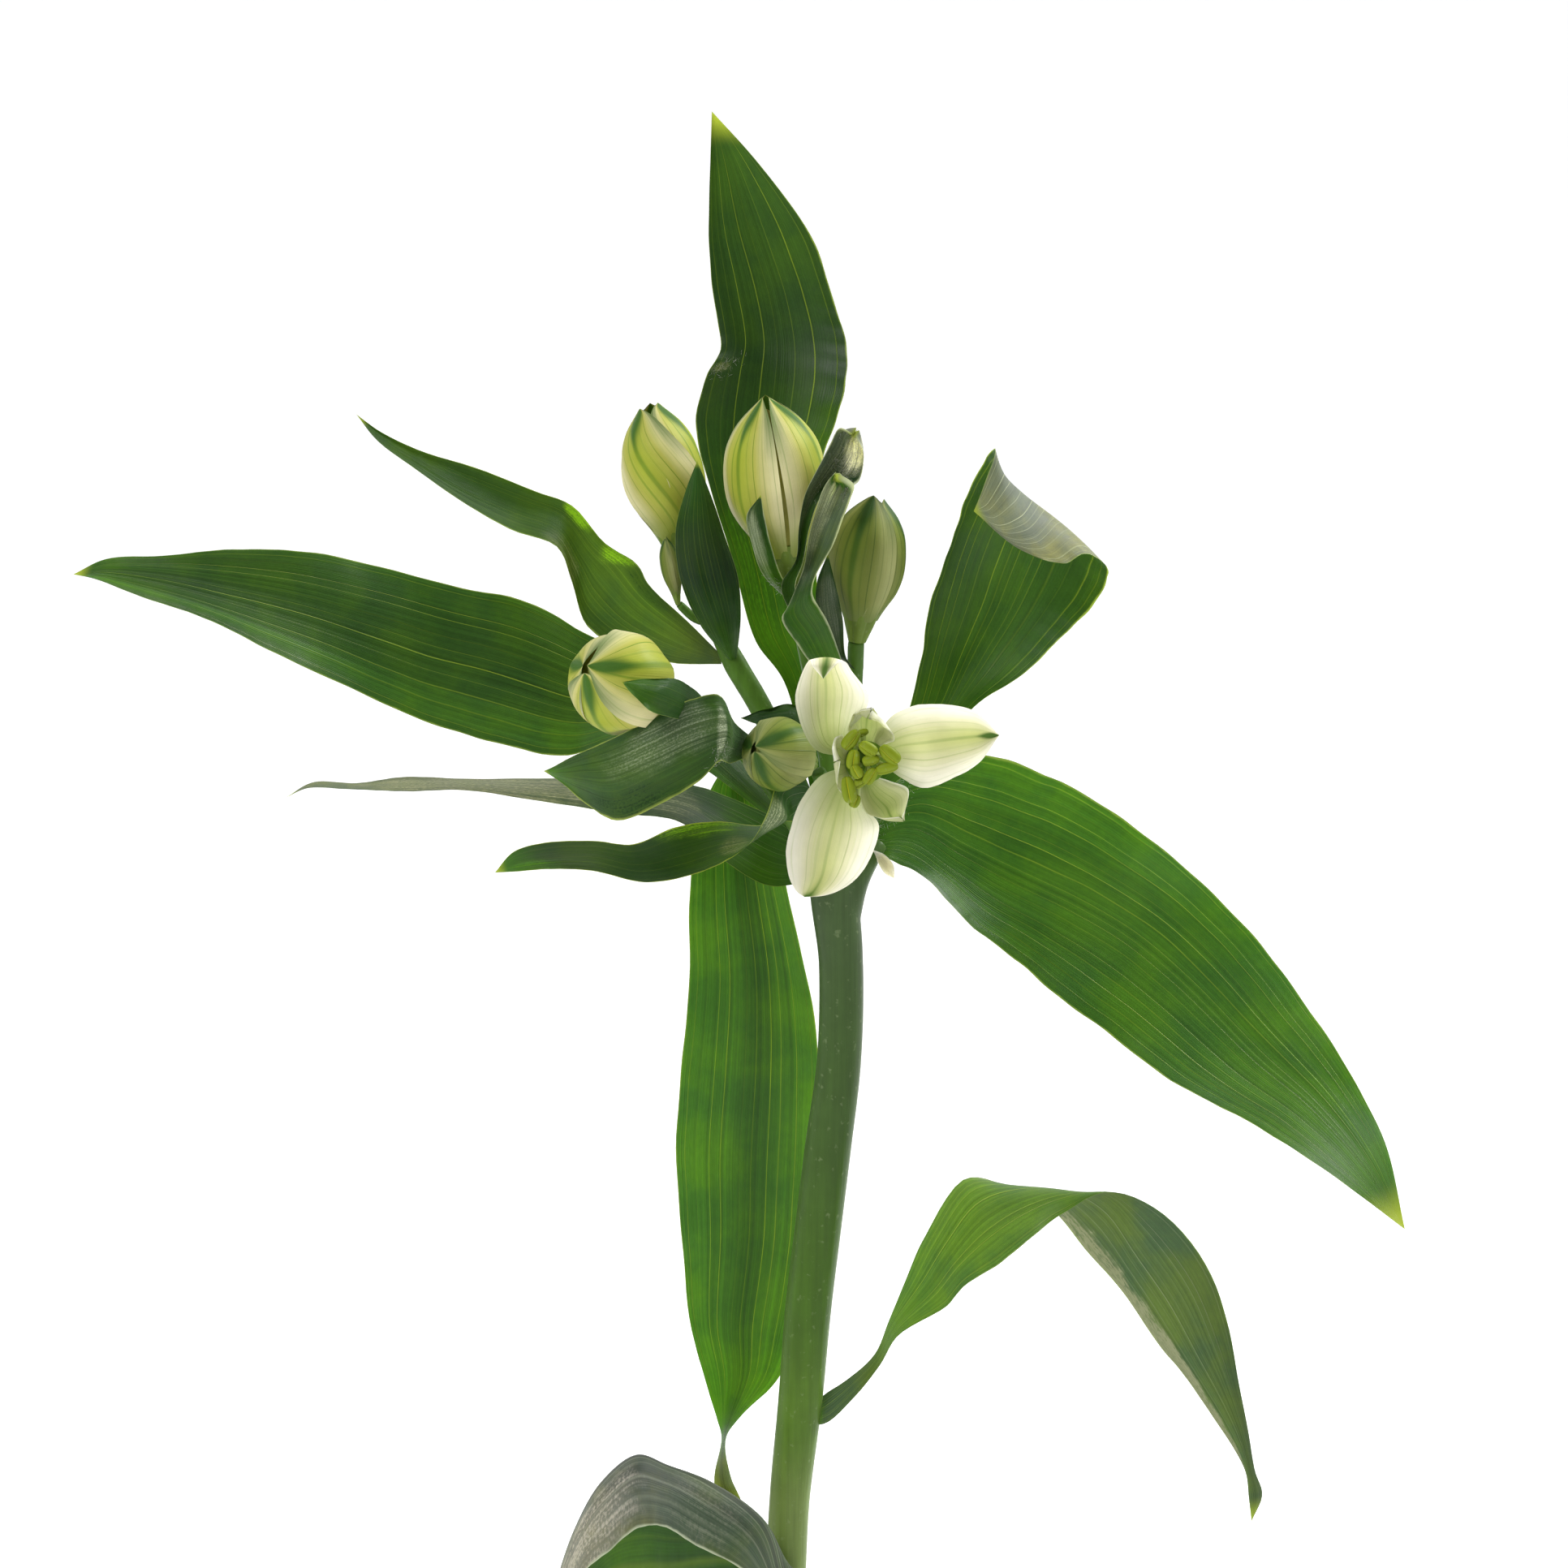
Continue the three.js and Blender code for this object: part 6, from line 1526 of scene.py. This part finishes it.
def bud_piece(name, bud, settings):
    """A closed bud: three overlapping tepals on an inner core and a six-ribbed ovary."""
    core = bud_body_rows(bud, 0.16, 0.93, 0.92, 3, 0.04)
    core[-8:] += (core[-8:].mean(axis=1, keepdims=True) - core[-8:]) * np.linspace(0, 0.9, 8)[:, None, None]
    ovary = bud_body_rows(bud, 0, 0.25, 1.0, 6, 0.12, rows=18)
    kind = bud["finish"]
    body = settings.bud_cream if kind == "cream" else OLIVE_BODY
    tepal_skin = finish_tepal(f"{kind} bud skin", body=tuple(body), through=0.12, **BUD_FINISHES[kind])
    # The core stands for the inner tepals in the slits between the outer ones; it is painted darker than
    # them, as painted shade in the slits.
    core_skin = finish_skin(f"{kind} bud inner skin", tuple(0.8 * share for share in body), streak=0.5)
    ovary_skin = finish_skin("ovary skin", srgb(106, 128, 50), streak=0.5)
    meshes = [
        ring_mesh("core", core),
        ring_mesh("ovary", ovary)]
    for tepal in bud["tepals"]:
        meshes.append(grid_mesh("tepal", bud_tepal_sheet(bud, tepal, settings), turned=True, tip_point=True))
    skins = [core_skin, ovary_skin] + [tepal_skin] * len(bud["tepals"])
    return add_piece(f"fine_{name}", joined_mesh(name, meshes, skins), "bud", name)


# Stem

def stem_piece(settings):
    """The stem and its rays, joined into one skin."""
    meshes = [closed_tube("stalk", stem_stops(), 220, 28)]
    for ray in RAYS:
        stops = np.array([(*seen(stop[:3]), stop[3]) for stop in ray])
        meshes.append(closed_tube("ray", stops, 50, 20))
    rough = add_object("stem_rough", joined_mesh("stem_rough", meshes, []))
    remesh = rough.modifiers.new("join", "REMESH")
    remesh.mode = "VOXEL"
    remesh.voxel_size = settings.stem_voxel
    smooth = rough.modifiers.new("soften", "SMOOTH")
    smooth.factor = 0.5
    smooth.iterations = 4
    mesh = modified_mesh(rough)
    bpy.data.objects.remove(rough)
    for face in mesh.polygons:
        face.use_smooth = True
    mesh.materials.clear()
    mesh.materials.append(finish_skin("stem skin", STEM_HEIGHTS[0][1], heights=(
        *STEM_HEIGHTS, (318, tuple(settings.stem_colour)), (336, srgb(72, 106, 34))), streak=0.6))
    return add_piece("fine_stem", mesh, "stem", "stem")


# Pot and soil

DRAIN_HOLES = 3
CORNER_CUT = 0.9


def inner_radius_at(height):
    """Radius of the pot's inside at a height."""
    narrow, wide = POT_BASE_RADIUS - POT_WALL, POT_RIM_RADIUS - COLLAR_STEP - POT_WALL
    return narrow + (wide - narrow) * height / POT_HEIGHT


def outer_radius_at(height):
    return inner_radius_at(height) + POT_WALL


def pot_profile():
    """Radius and height round the pot's wall, from the middle of its base, outside, over the rim and down."""
    collar_foot = POT_HEIGHT - COLLAR_HEIGHT
    corners = (
        (0, 0), (POT_BASE_RADIUS - 1.5, 0), (POT_BASE_RADIUS, 1.5),
        (outer_radius_at(collar_foot), collar_foot),
        (outer_radius_at(collar_foot) + COLLAR_STEP, collar_foot + 2.5),
        (POT_RIM_RADIUS, POT_HEIGHT - 2), (POT_RIM_RADIUS - 1.5, POT_HEIGHT),
        (inner_radius_at(POT_HEIGHT) + 1.5, POT_HEIGHT), (inner_radius_at(POT_HEIGHT - 2), POT_HEIGHT - 2),
        (inner_radius_at(POT_FLOOR + 2), POT_FLOOR + 2), (inner_radius_at(POT_FLOOR) - 2, POT_FLOOR),
        (0, POT_FLOOR),
    )
    # Each corner is rounded by cutting it twice.
    points = np.array(corners, float)
    for _ in range(2):
        rounded = [points[0]]
        for before, corner, after in zip(points[:-2], points[1:-1], points[2:]):
            reach_in = min(0.25, CORNER_CUT / max(np.linalg.norm(corner - before), 1e-6))
            reach_out = min(0.25, CORNER_CUT / max(np.linalg.norm(after - corner), 1e-6))
            rounded.append(corner + (before - corner) * reach_in)
            rounded.append(corner + (after - corner) * reach_out)
        points = np.array([*rounded, points[-1]])
    return points


def level_ring(radius, turns, height):
    """A level ring of points round the pot's axis."""
    return np.stack([radius * np.cos(turns), radius * np.sin(turns), np.full_like(turns, height)], axis=1)


def pot_piece(settings):
    """The clay pot, with three drain holes cut through its floor."""
    turns = np.linspace(0, 2 * math.pi, settings.segments, endpoint=False)
    rings = [level_ring(radius, turns, height) for radius, height in pot_profile()]
    rough = add_object("pot_rough", ring_mesh("pot", np.array(rings)))
    cutters = []
    for hole in range(DRAIN_HOLES):
        angle = 2 * math.pi * hole / DRAIN_HOLES + math.pi / 6
        x, y = DRAIN_DISTANCE * math.cos(angle), DRAIN_DISTANCE * math.sin(angle)
        stops = np.array([(x, y, height, DRAIN_RADIUS) for height in (-POT_FLOOR, 0.5, 2 * POT_FLOOR)])
        cutter = add_object("drain", closed_tube("drain", stops, 2, 32))
        cut = rough.modifiers.new("drain", "BOOLEAN")
        cut.operation = "DIFFERENCE"
        cut.solver = "EXACT"
        cut.object = cutter
        cutters.append(cutter)
    whole = modified_mesh(rough)
    for used in (rough, *cutters):
        bpy.data.objects.remove(used)
    whole.materials.clear()
    whole.materials.append(finish_clay(settings))
    for face in whole.polygons:
        face.use_smooth = True
        face.material_index = 0
    return add_piece("fine_pot", whole, "terracotta", "pot")


def finish_clay(settings):
    """Fired clay: speckled, with turning marks, a pale bloom in cloudy patches and rubbed edges."""
    material, graph, out = new_material("fired clay")
    place = graph.place()
    height = graph.add("ShaderNodeSeparateXYZ", {"Vector": place}).outputs[2]
    cloud = graph.noise(place, 28.0, 5.0, 0.6)
    grain = graph.noise(place, 900.0, 3.0, 0.7)
    stretched = graph.add("ShaderNodeMapping", {"Vector": place, "Scale": (0.05, 0.05, 1.0)}).outputs[0]
    marks = graph.noise(stretched, 420.0, 2.0)
    clay = tuple(settings.clay_colour)
    tone = graph.mix(graph.step(cloud, 0.3, 0.7), clay, srgb(134, 64, 38))
    tone = graph.mix(graph.step(grain, 0.45, 0.75, 0.0, 0.5), tone, srgb(206, 136, 98))
    bloom = graph.times(graph.step(cloud, 0.5, 0.72), graph.step(grain, 0.25, 0.6, 0.3, 1.0))
    near_soil = graph.step(height, 0.03, 0.1, 0.25, 0.6)
    tone = graph.mix(graph.times(bloom, near_soil), tone, srgb(222, 190, 166))
    bevel = graph.add("ShaderNodeNewGeometry").outputs["Pointiness"]
    tone = graph.mix(graph.step(bevel, 0.52, 0.6, 0.0, 0.5), tone, srgb(212, 150, 116))
    relief = graph.line(marks, 0.8, graph.times(grain, 0.5))
    bump = graph.bump(0.45, 0.3, relief)
    surface = graph.add("ShaderNodeBsdfPrincipled", {
        "Base Color": tone, "Roughness": graph.line(grain, 0.2, 0.75), "Normal": bump,
        "Specular IOR Level": 0.25})
    graph.feed(out.inputs["Surface"], surface.outputs[0])
    return material


def soil_height_at(x, y):
    """Height of the soil's top, which rises and falls a little."""
    lumps = np.sin(0.21 * x + 1.3) * np.cos(0.17 * y) + 0.6 * np.sin(0.37 * x - 0.29 * y + 0.8)
    return SOIL_HEIGHT + SOIL_LUMP * lumps


def finish_soil(settings):
    """Damp dark soil with paler fibres and grains."""
    material, graph, out = new_material("damp soil")
    place = graph.place()
    clods = graph.noise(place, 260.0, 6.0, 0.7)
    grains = graph.noise(place, 1500.0, 3.0, 0.7)
    tone = graph.mix(graph.step(clods, 0.3, 0.7), srgb(38, 27, 20), tuple(settings.soil_colour))
    tone = graph.mix(graph.step(grains, 0.62, 0.8, 0.0, 0.7), tone, srgb(122, 96, 70))
    relief = graph.line(clods, 1.0, graph.times(grains, 0.4))
    bump = graph.bump(0.9, 1.0, relief)
    surface = graph.add("ShaderNodeBsdfPrincipled", {
        "Base Color": tone, "Roughness": graph.line(clods, 0.2, 0.72), "Normal": bump,
        "Specular IOR Level": 0.3})
    graph.feed(out.inputs["Surface"], surface.outputs[0])
    return material


def soil_piece(settings):
    """The soil in the pot: a lumpy top with crumbs lying on it."""
    skin = finish_soil(settings)
    reach = inner_radius_at(SOIL_HEIGHT) - 0.5
    foot_reach = inner_radius_at(POT_FLOOR) - 2.6
    turns = np.linspace(0, 2 * math.pi, settings.segments, endpoint=False)
    foot = POT_FLOOR + 0.3
    rows = [level_ring(radius, turns, height) for radius, height in (
        (0, foot), (foot_reach, foot), (reach, SOIL_HEIGHT - 3))]
    for share in np.linspace(1, 0, 42):
        x, y = reach * share * np.cos(turns), reach * share * np.sin(turns)
        fine = 0.7 * np.sin(1.1 * x + 0.8 * np.sin(0.9 * y)) * np.sin(1.3 * y + 0.5)
        fine = fine * min(1, 6 * (1 - share) + 0.2)
        rows.append(np.stack([x, y, soil_height_at(x, y) + fine], axis=1))
    body = ring_mesh("soil", np.array(rows))
    top = grid_mesh("soil_top", np.array(rows[4:]), turned=True, ring=True, tip_point=True)
    crumbs = scatter_on(top, crumb_tree(), skin, {
        "Density": settings.crumb_density, "Size": settings.crumb_size})
    return add_piece("fine_soil", joined_mesh("soil", [body, crumbs], [skin, skin]), "soil", "soil")


# Repeats made by Geometry Nodes

def geometry_tree(name, sizes):
    """A new Geometry Nodes tree with a mesh in, named sizes and a mesh out."""
    tree = bpy.data.node_groups.new(name, "GeometryNodeTree")
    tree.interface.new_socket(name="Mesh", in_out="INPUT", socket_type="NodeSocketGeometry")
    for size, default in sizes:
        tree.interface.new_socket(name=size, in_out="INPUT", socket_type=FLOAT).default_value = default
    tree.interface.new_socket(name="Finish", in_out="INPUT", socket_type="NodeSocketMaterial")
    tree.interface.new_socket(name="Mesh", in_out="OUTPUT", socket_type="NodeSocketGeometry")
    graph = Graph(tree)
    return tree, graph, graph.add("NodeGroupInput").outputs, graph.add("NodeGroupOutput")


def scatter_on(mesh, tree, skin, sizes):
    """Runs a Geometry Nodes tree on a mesh and returns what it made, as a plain mesh."""
    carrier = add_object("carrier", mesh)
    modifier = carrier.modifiers.new("scatter", "NODES")
    modifier.node_group = tree
    for socket in tree.interface.items_tree:
        if socket.in_out == "INPUT" and socket.name in sizes:
            modifier[socket.identifier] = sizes[socket.name]
        if socket.in_out == "INPUT" and socket.name == "Finish":
            modifier[socket.identifier] = skin
    carrier.update_tag()
    made = modified_mesh(carrier)
    bpy.data.objects.remove(carrier)
    bpy.data.meshes.remove(mesh)
    return made


# Seeds of what is scattered
CRUMB_SPOT_SEED = 11
CRUMB_TURN_SEED = 3
CRUMB_SIZE_SEED = 5
HAIR_SPOT_SEED = 7
HAIR_LEAN_SEED = 9
HAIR_SIZE_SEED = 13


def random_vector(graph, low, high, seed):
    node = graph.add("FunctionNodeRandomValue", {0: low, 1: high, "Seed": seed}, data_type="FLOAT_VECTOR")
    return node.outputs[0]


def random_share(graph, seed):
    return graph.add("FunctionNodeRandomValue", {"Seed": seed}, data_type="FLOAT").outputs[1]


def place_instances(graph, out, given, inputs):
    """Ends a tree: instances on points, realized and given their finish."""
    placed = graph.add("GeometryNodeInstanceOnPoints", inputs).outputs[0]
    solid = graph.add("GeometryNodeRealizeInstances", {"Geometry": placed}).outputs[0]
    dressed = graph.add("GeometryNodeSetMaterial", {"Geometry": solid, "Material": given["Finish"]})
    graph.feed(out.inputs[0], dressed.outputs[0])


def crumb_tree():
    """Rough little crumbs of soil, scattered and turned at random."""
    tree, graph, given, out = geometry_tree("soil crumbs", (("Density", 150000.0), ("Size", 1.5 * MM)))
    spots = graph.add("GeometryNodeDistributePointsOnFaces", {
        "Mesh": given["Mesh"], "Density": given["Density"], "Seed": CRUMB_SPOT_SEED}).outputs["Points"]
    ball = graph.add("GeometryNodeMeshIcoSphere", {"Radius": 1.0, "Subdivisions": 2}).outputs["Mesh"]
    place = graph.add("GeometryNodeInputPosition").outputs[0]
    bumps = graph.noise(place, 1.3, 2.0)
    pushed = graph.add("ShaderNodeVectorMath", {
        0: place, 3: graph.line(bumps, 1.1, 0.4)}, operation="SCALE").outputs[0]
    crumb = graph.add("GeometryNodeSetPosition", {"Geometry": ball, "Position": pushed}).outputs[0]
    turn = random_vector(graph, (0, 0, 0), (6.28, 6.28, 6.28), CRUMB_TURN_SEED)
    small = graph.line(graph.math("POWER", random_share(graph, CRUMB_SIZE_SEED), 3.0), 0.75, 0.25)
    size = graph.times(small, given["Size"])
    place_instances(graph, out, given, {"Points": spots, "Instance": crumb, "Rotation": turn, "Scale": size})
    return tree


# Where silvery hairs grow: blade, middle of the patch across and along, its spread both ways, and its share
HAIR_PATCHES = (
    ("leaf_right", 0.35, 0.07, 0.5, 0.022, 0.8), ("leaf_right", 0.15, 0.12, 0.22, 0.03, 1.0),
    ("leaf_top", 0.1, 0.6, 0.12, 0.02, 0.5), ("bract_middle_back", 0.8, 0.8, 0.35, 0.16, 2.5),
    ("bract_middle_front", 0.8, 0.85, 0.2, 0.1, 0.5), ("bract_left_folded", 0.95, 0.25, 0.15, 0.06, 0.7),
    ("bract_middle_small", 0.5, 0.12, 0.5, 0.06, 0.8),
)
# Rows and columns of the sheet that they grow on
HAIR_GROUND = (60, 24)


def hair_tree():
    """Short tapering hairs that lean at random, thick where the mesh's "fuzz" is high."""
    tree, graph, given, out = geometry_tree("silvery hairs", (
        ("Density", 1.0), ("Length", 1.3 * MM), ("Radius", 0.03 * MM)))
    fuzz = graph.add(
        "GeometryNodeInputNamedAttribute", {"Name": "fuzz"}, data_type="FLOAT").outputs["Attribute"]
    spots = graph.add("GeometryNodeDistributePointsOnFaces", {
        "Mesh": given["Mesh"], "Density": graph.times(given["Density"], fuzz), "Seed": HAIR_SPOT_SEED})
    hair = graph.add("GeometryNodeMeshCone", {
        "Vertices": 3, "Radius Top": graph.times(given["Radius"], 0.3),
        "Radius Bottom": given["Radius"], "Depth": given["Length"]}).outputs["Mesh"]
    lean = random_vector(graph, (-1.45, -1.45, -3.14), (1.45, 1.45, 3.14), HAIR_LEAN_SEED)
    turned = graph.add("FunctionNodeRotateRotation", {
        "Rotation": spots.outputs["Rotation"], "Rotate By": lean}, rotation_space="LOCAL").outputs[0]
    size = graph.line(random_share(graph, HAIR_SIZE_SEED), 0.7, 0.3)
    place_instances(graph, out, given, {
        "Points": spots.outputs["Points"], "Instance": hair, "Rotation": turned, "Scale": size})
    return tree


def finish_hair(settings):
    """Silvery hair, a little uneven in tone."""
    material, graph, out = new_material("silvery hair")
    place = graph.place()
    tone = graph.mix(graph.noise(place, 500.0, 2.0), tuple(settings.hair_colour), srgb(170, 165, 155))
    surface = graph.add("ShaderNodeBsdfPrincipled", {"Base Color": tone, "Roughness": 0.5})
    passing = graph.add("ShaderNodeBsdfTranslucent", {"Color": tone})
    both = graph.add("ShaderNodeMixShader", {0: 0.4, 1: surface.outputs[0], 2: passing.outputs[0]})
    graph.feed(out.inputs["Surface"], both.outputs[0])
    return material


def hairs_piece(settings):
    """Silvery hairs at the folds of leaves and bracts, on the side that faces the eye."""
    patches = []
    fuzz = []
    for name, across, along, spread_across, spread_along, share in HAIR_PATCHES:
        blade = BLADES[name]
        rows, columns = HAIR_GROUND
        sheet = blade_sheet(
            blade_rails(blade), rows, columns, blade.get("waves", 0), blade.get("wave_height", 0))
        row, column = np.mgrid[0:rows + 1, 0:columns + 1]
        far = ((column / columns - across) / spread_across) ** 2 + ((row / rows - along) / spread_along) ** 2
        patches.append(grid_mesh("patch", sheet, turned=name in TURNED_BLADES))
        fuzz.append((share * np.exp(-far)).ravel())
    ground = joined_mesh("hair_ground", patches, [])
    attribute = ground.attributes.new("fuzz", "FLOAT", "POINT")
    attribute.data.foreach_set("value", np.concatenate(fuzz).astype(np.float32))
    hairs = scatter_on(ground, hair_tree(), finish_hair(settings), {
        "Density": settings.hair_density, "Length": settings.hair_length, "Radius": settings.hair_radius})
    return add_piece("fine_hairs", hairs, "bract")


# Stage

def floor_piece(settings):
    """A wide pale floor, not part of the plant."""
    material, graph, out = new_material("pale floor")
    place = graph.place()
    tone = graph.mix(graph.noise(place, 3.0, 2.0), (0.9, 0.9, 0.9, 1.0), (0.93, 0.93, 0.93, 1.0))
    surface = graph.add("ShaderNodeBsdfPrincipled", {
        "Base Color": tone, "Roughness": 0.9, "Specular IOR Level": 0.1, "Emission Color": (1, 1, 1, 1),
        "Emission Strength": 0.38})
    graph.feed(out.inputs["Surface"], surface.outputs[0])
    edit = bmesh.new()
    bmesh.ops.create_circle(edit, cap_ends=True, radius=settings.floor_radius, segments=96)
    mesh = bpy.data.meshes.new("floor")
    edit.to_mesh(mesh)
    edit.free()
    mesh.materials.append(material)
    floor = add_object("floor", mesh)


def studio_world(settings):
    """Wide soft light: bright behind the plant, dimmer in front."""
    world = bpy.data.worlds.new("studio")
    world.use_nodes = True
    world.node_tree.nodes.clear()
    graph = Graph(world.node_tree)
    direction = graph.add("ShaderNodeTexCoord").outputs["Generated"]
    parts = graph.add("ShaderNodeSeparateXYZ", {"Vector": direction}).outputs
    strength = graph.step(parts[1], -0.35, 0.45, settings.front_light, settings.back_light)
    light = graph.add("ShaderNodeBackground", {"Color": (1, 1, 1, 1), "Strength": strength})
    out = graph.add("ShaderNodeOutputWorld")
    graph.feed(out.inputs["Surface"], light.outputs[0])
    bpy.context.scene.world = world


def area_light(name, place, aim, size, power):
    light = bpy.data.lights.new(name, "AREA")
    light.shape = "DISK"
    light.size = size
    light.energy = power
    lamp = add_object(name, light)
    lamp.location = place
    lamp.rotation_euler = (Vector(aim) - Vector(place)).to_track_quat("-Z", "Y").to_euler()


def eye_camera():
    """The camera at the eye that the plant's places were read from."""
    camera = bpy.data.cameras.new("eye")
    camera.sensor_width = SENSOR_WIDTH
    camera.lens = SENSOR_WIDTH * EYE_DISTANCE / FRAME_WIDTH
    camera.clip_start = 0.05
    camera.clip_end = 50
    holder = add_object("eye", camera)
    holder.location = Vector(EYE) * MM
    holder.rotation_euler = Vector(EYE_FORWARD).to_track_quat("-Z", "Y").to_euler()
    bpy.context.scene.camera = holder


# Operators, one for each piece or group of like pieces

class LILY_OT_set_stage(bpy.types.Operator):
    """Sets the floor, the studio light and the camera."""

    bl_idname = "lily.set_stage"
    bl_label = "Set Stage"
    bl_options = {"REGISTER", "UNDO"}

    def execute(self, context):
        settings = context.scene.lily_stage
        floor_piece(settings)
        studio_world(settings)
        area_light("key", (-0.6, -0.8, 1.3), (0, 0, 0.34), 0.5, settings.key_power)
        area_light("rim", (0.75, 0.35, 1.05), (0, 0, 0.36), 0.4, settings.rim_power)
        eye_camera()
        context.scene.view_settings.view_transform = "Standard"
        return {"FINISHED"}


class LILY_OT_add_pot(bpy.types.Operator):
    """Adds the clay pot."""

    bl_idname = "lily.add_pot"
    bl_label = "Add Pot"
    bl_options = {"REGISTER", "UNDO"}

    def execute(self, context):
        pot_piece(context.scene.lily_pot)
        return {"FINISHED"}


class LILY_OT_add_soil(bpy.types.Operator):
    """Adds the soil and its crumbs."""

    bl_idname = "lily.add_soil"
    bl_label = "Add Soil"
    bl_options = {"REGISTER", "UNDO"}

    def execute(self, context):
        soil_piece(context.scene.lily_pot)
        return {"FINISHED"}


class LILY_OT_add_stem(bpy.types.Operator):
    """Adds the stem and its rays."""

    bl_idname = "lily.add_stem"
    bl_label = "Add Stem"
    bl_options = {"REGISTER", "UNDO"}

    def execute(self, context):
        stem_piece(context.scene.lily_flower)
        return {"FINISHED"}


class LILY_OT_add_leaves(bpy.types.Operator):
    """Adds the leaves and bracts."""

    bl_idname = "lily.add_leaves"
    bl_label = "Add Leaves and Bracts"
    bl_options = {"REGISTER", "UNDO"}

    def execute(self, context):
        for name, blade in BLADES.items():
            if not name.startswith("tepal"):
                blade_piece(name, blade, context.scene.lily_leaf)
        papery_scale_piece(context.scene.lily_leaf)
        for name, leaf in LOWER_LEAVES.items():
            lower_leaf_piece(name, leaf, context.scene.lily_leaf)
        return {"FINISHED"}


class LILY_OT_add_buds(bpy.types.Operator):
    """Adds the closed buds."""

    bl_idname = "lily.add_buds"
    bl_label = "Add Buds"
    bl_options = {"REGISTER", "UNDO"}

    def execute(self, context):
        for name, bud in BUDS.items():
            bud_piece(name, bud, context.scene.lily_flower)
        return {"FINISHED"}


class LILY_OT_add_flower(bpy.types.Operator):
    """Adds the open flower's tepals and stamens."""

    bl_idname = "lily.add_flower"
    bl_label = "Add Open Flower"
    bl_options = {"REGISTER", "UNDO"}

    def execute(self, context):
        for name, blade in BLADES.items():
            if name.startswith("tepal"):
                tepal_piece(name, blade, context.scene.lily_flower)
        stamens_piece(context.scene.lily_flower)
        return {"FINISHED"}


class LILY_OT_add_hairs(bpy.types.Operator):
    """Adds the silvery hairs at the folds."""

    bl_idname = "lily.add_hairs"
    bl_label = "Add Hairs"
    bl_options = {"REGISTER", "UNDO"}

    def execute(self, context):
        hairs_piece(context.scene.lily_leaf)
        return {"FINISHED"}


OPERATORS = (
    LILY_OT_set_stage, LILY_OT_add_pot, LILY_OT_add_soil, LILY_OT_add_stem, LILY_OT_add_leaves,
    LILY_OT_add_buds, LILY_OT_add_flower, LILY_OT_add_hairs,
)
SETTINGS = {
    "lily_leaf": LilyLeafSettings, "lily_flower": LilyFlowerSettings, "lily_pot": LilyPotSettings,
    "lily_stage": LilyStageSettings,
}


class LILY_PT_panel(bpy.types.Panel):
    """Lists the plant's settings and its pieces."""

    bl_label = "Peruvian Lily"
    bl_idname = "LILY_PT_panel"
    bl_space_type = "VIEW_3D"
    bl_region_type = "UI"
    bl_category = "Peruvian Lily"

    def draw(self, context):
        for name, group in SETTINGS.items():
            box = self.layout.box()
            for value in group.__annotations__:
                box.prop(getattr(context.scene, name), value)
        for operator in OPERATORS:
            self.layout.operator(operator.bl_idname)


def register():
    for group in SETTINGS.values():
        bpy.utils.register_class(group)
    for name, group in SETTINGS.items():
        setattr(bpy.types.Scene, name, bpy.props.PointerProperty(type=group))
    for operator in OPERATORS:
        bpy.utils.register_class(operator)
    bpy.utils.register_class(LILY_PT_panel)


def unregister():
    bpy.utils.unregister_class(LILY_PT_panel)
    for operator in reversed(OPERATORS):
        bpy.utils.unregister_class(operator)
    for name, group in SETTINGS.items():
        delattr(bpy.types.Scene, name)
        bpy.utils.unregister_class(group)


def main():
    register()
    bpy.ops.lily.set_stage()
    bpy.ops.lily.add_pot()
    bpy.ops.lily.add_soil()
    bpy.ops.lily.add_stem()
    bpy.ops.lily.add_leaves()
    bpy.ops.lily.add_buds()
    bpy.ops.lily.add_flower()
    bpy.ops.lily.add_hairs()


if __name__ == "__main__":
    main()
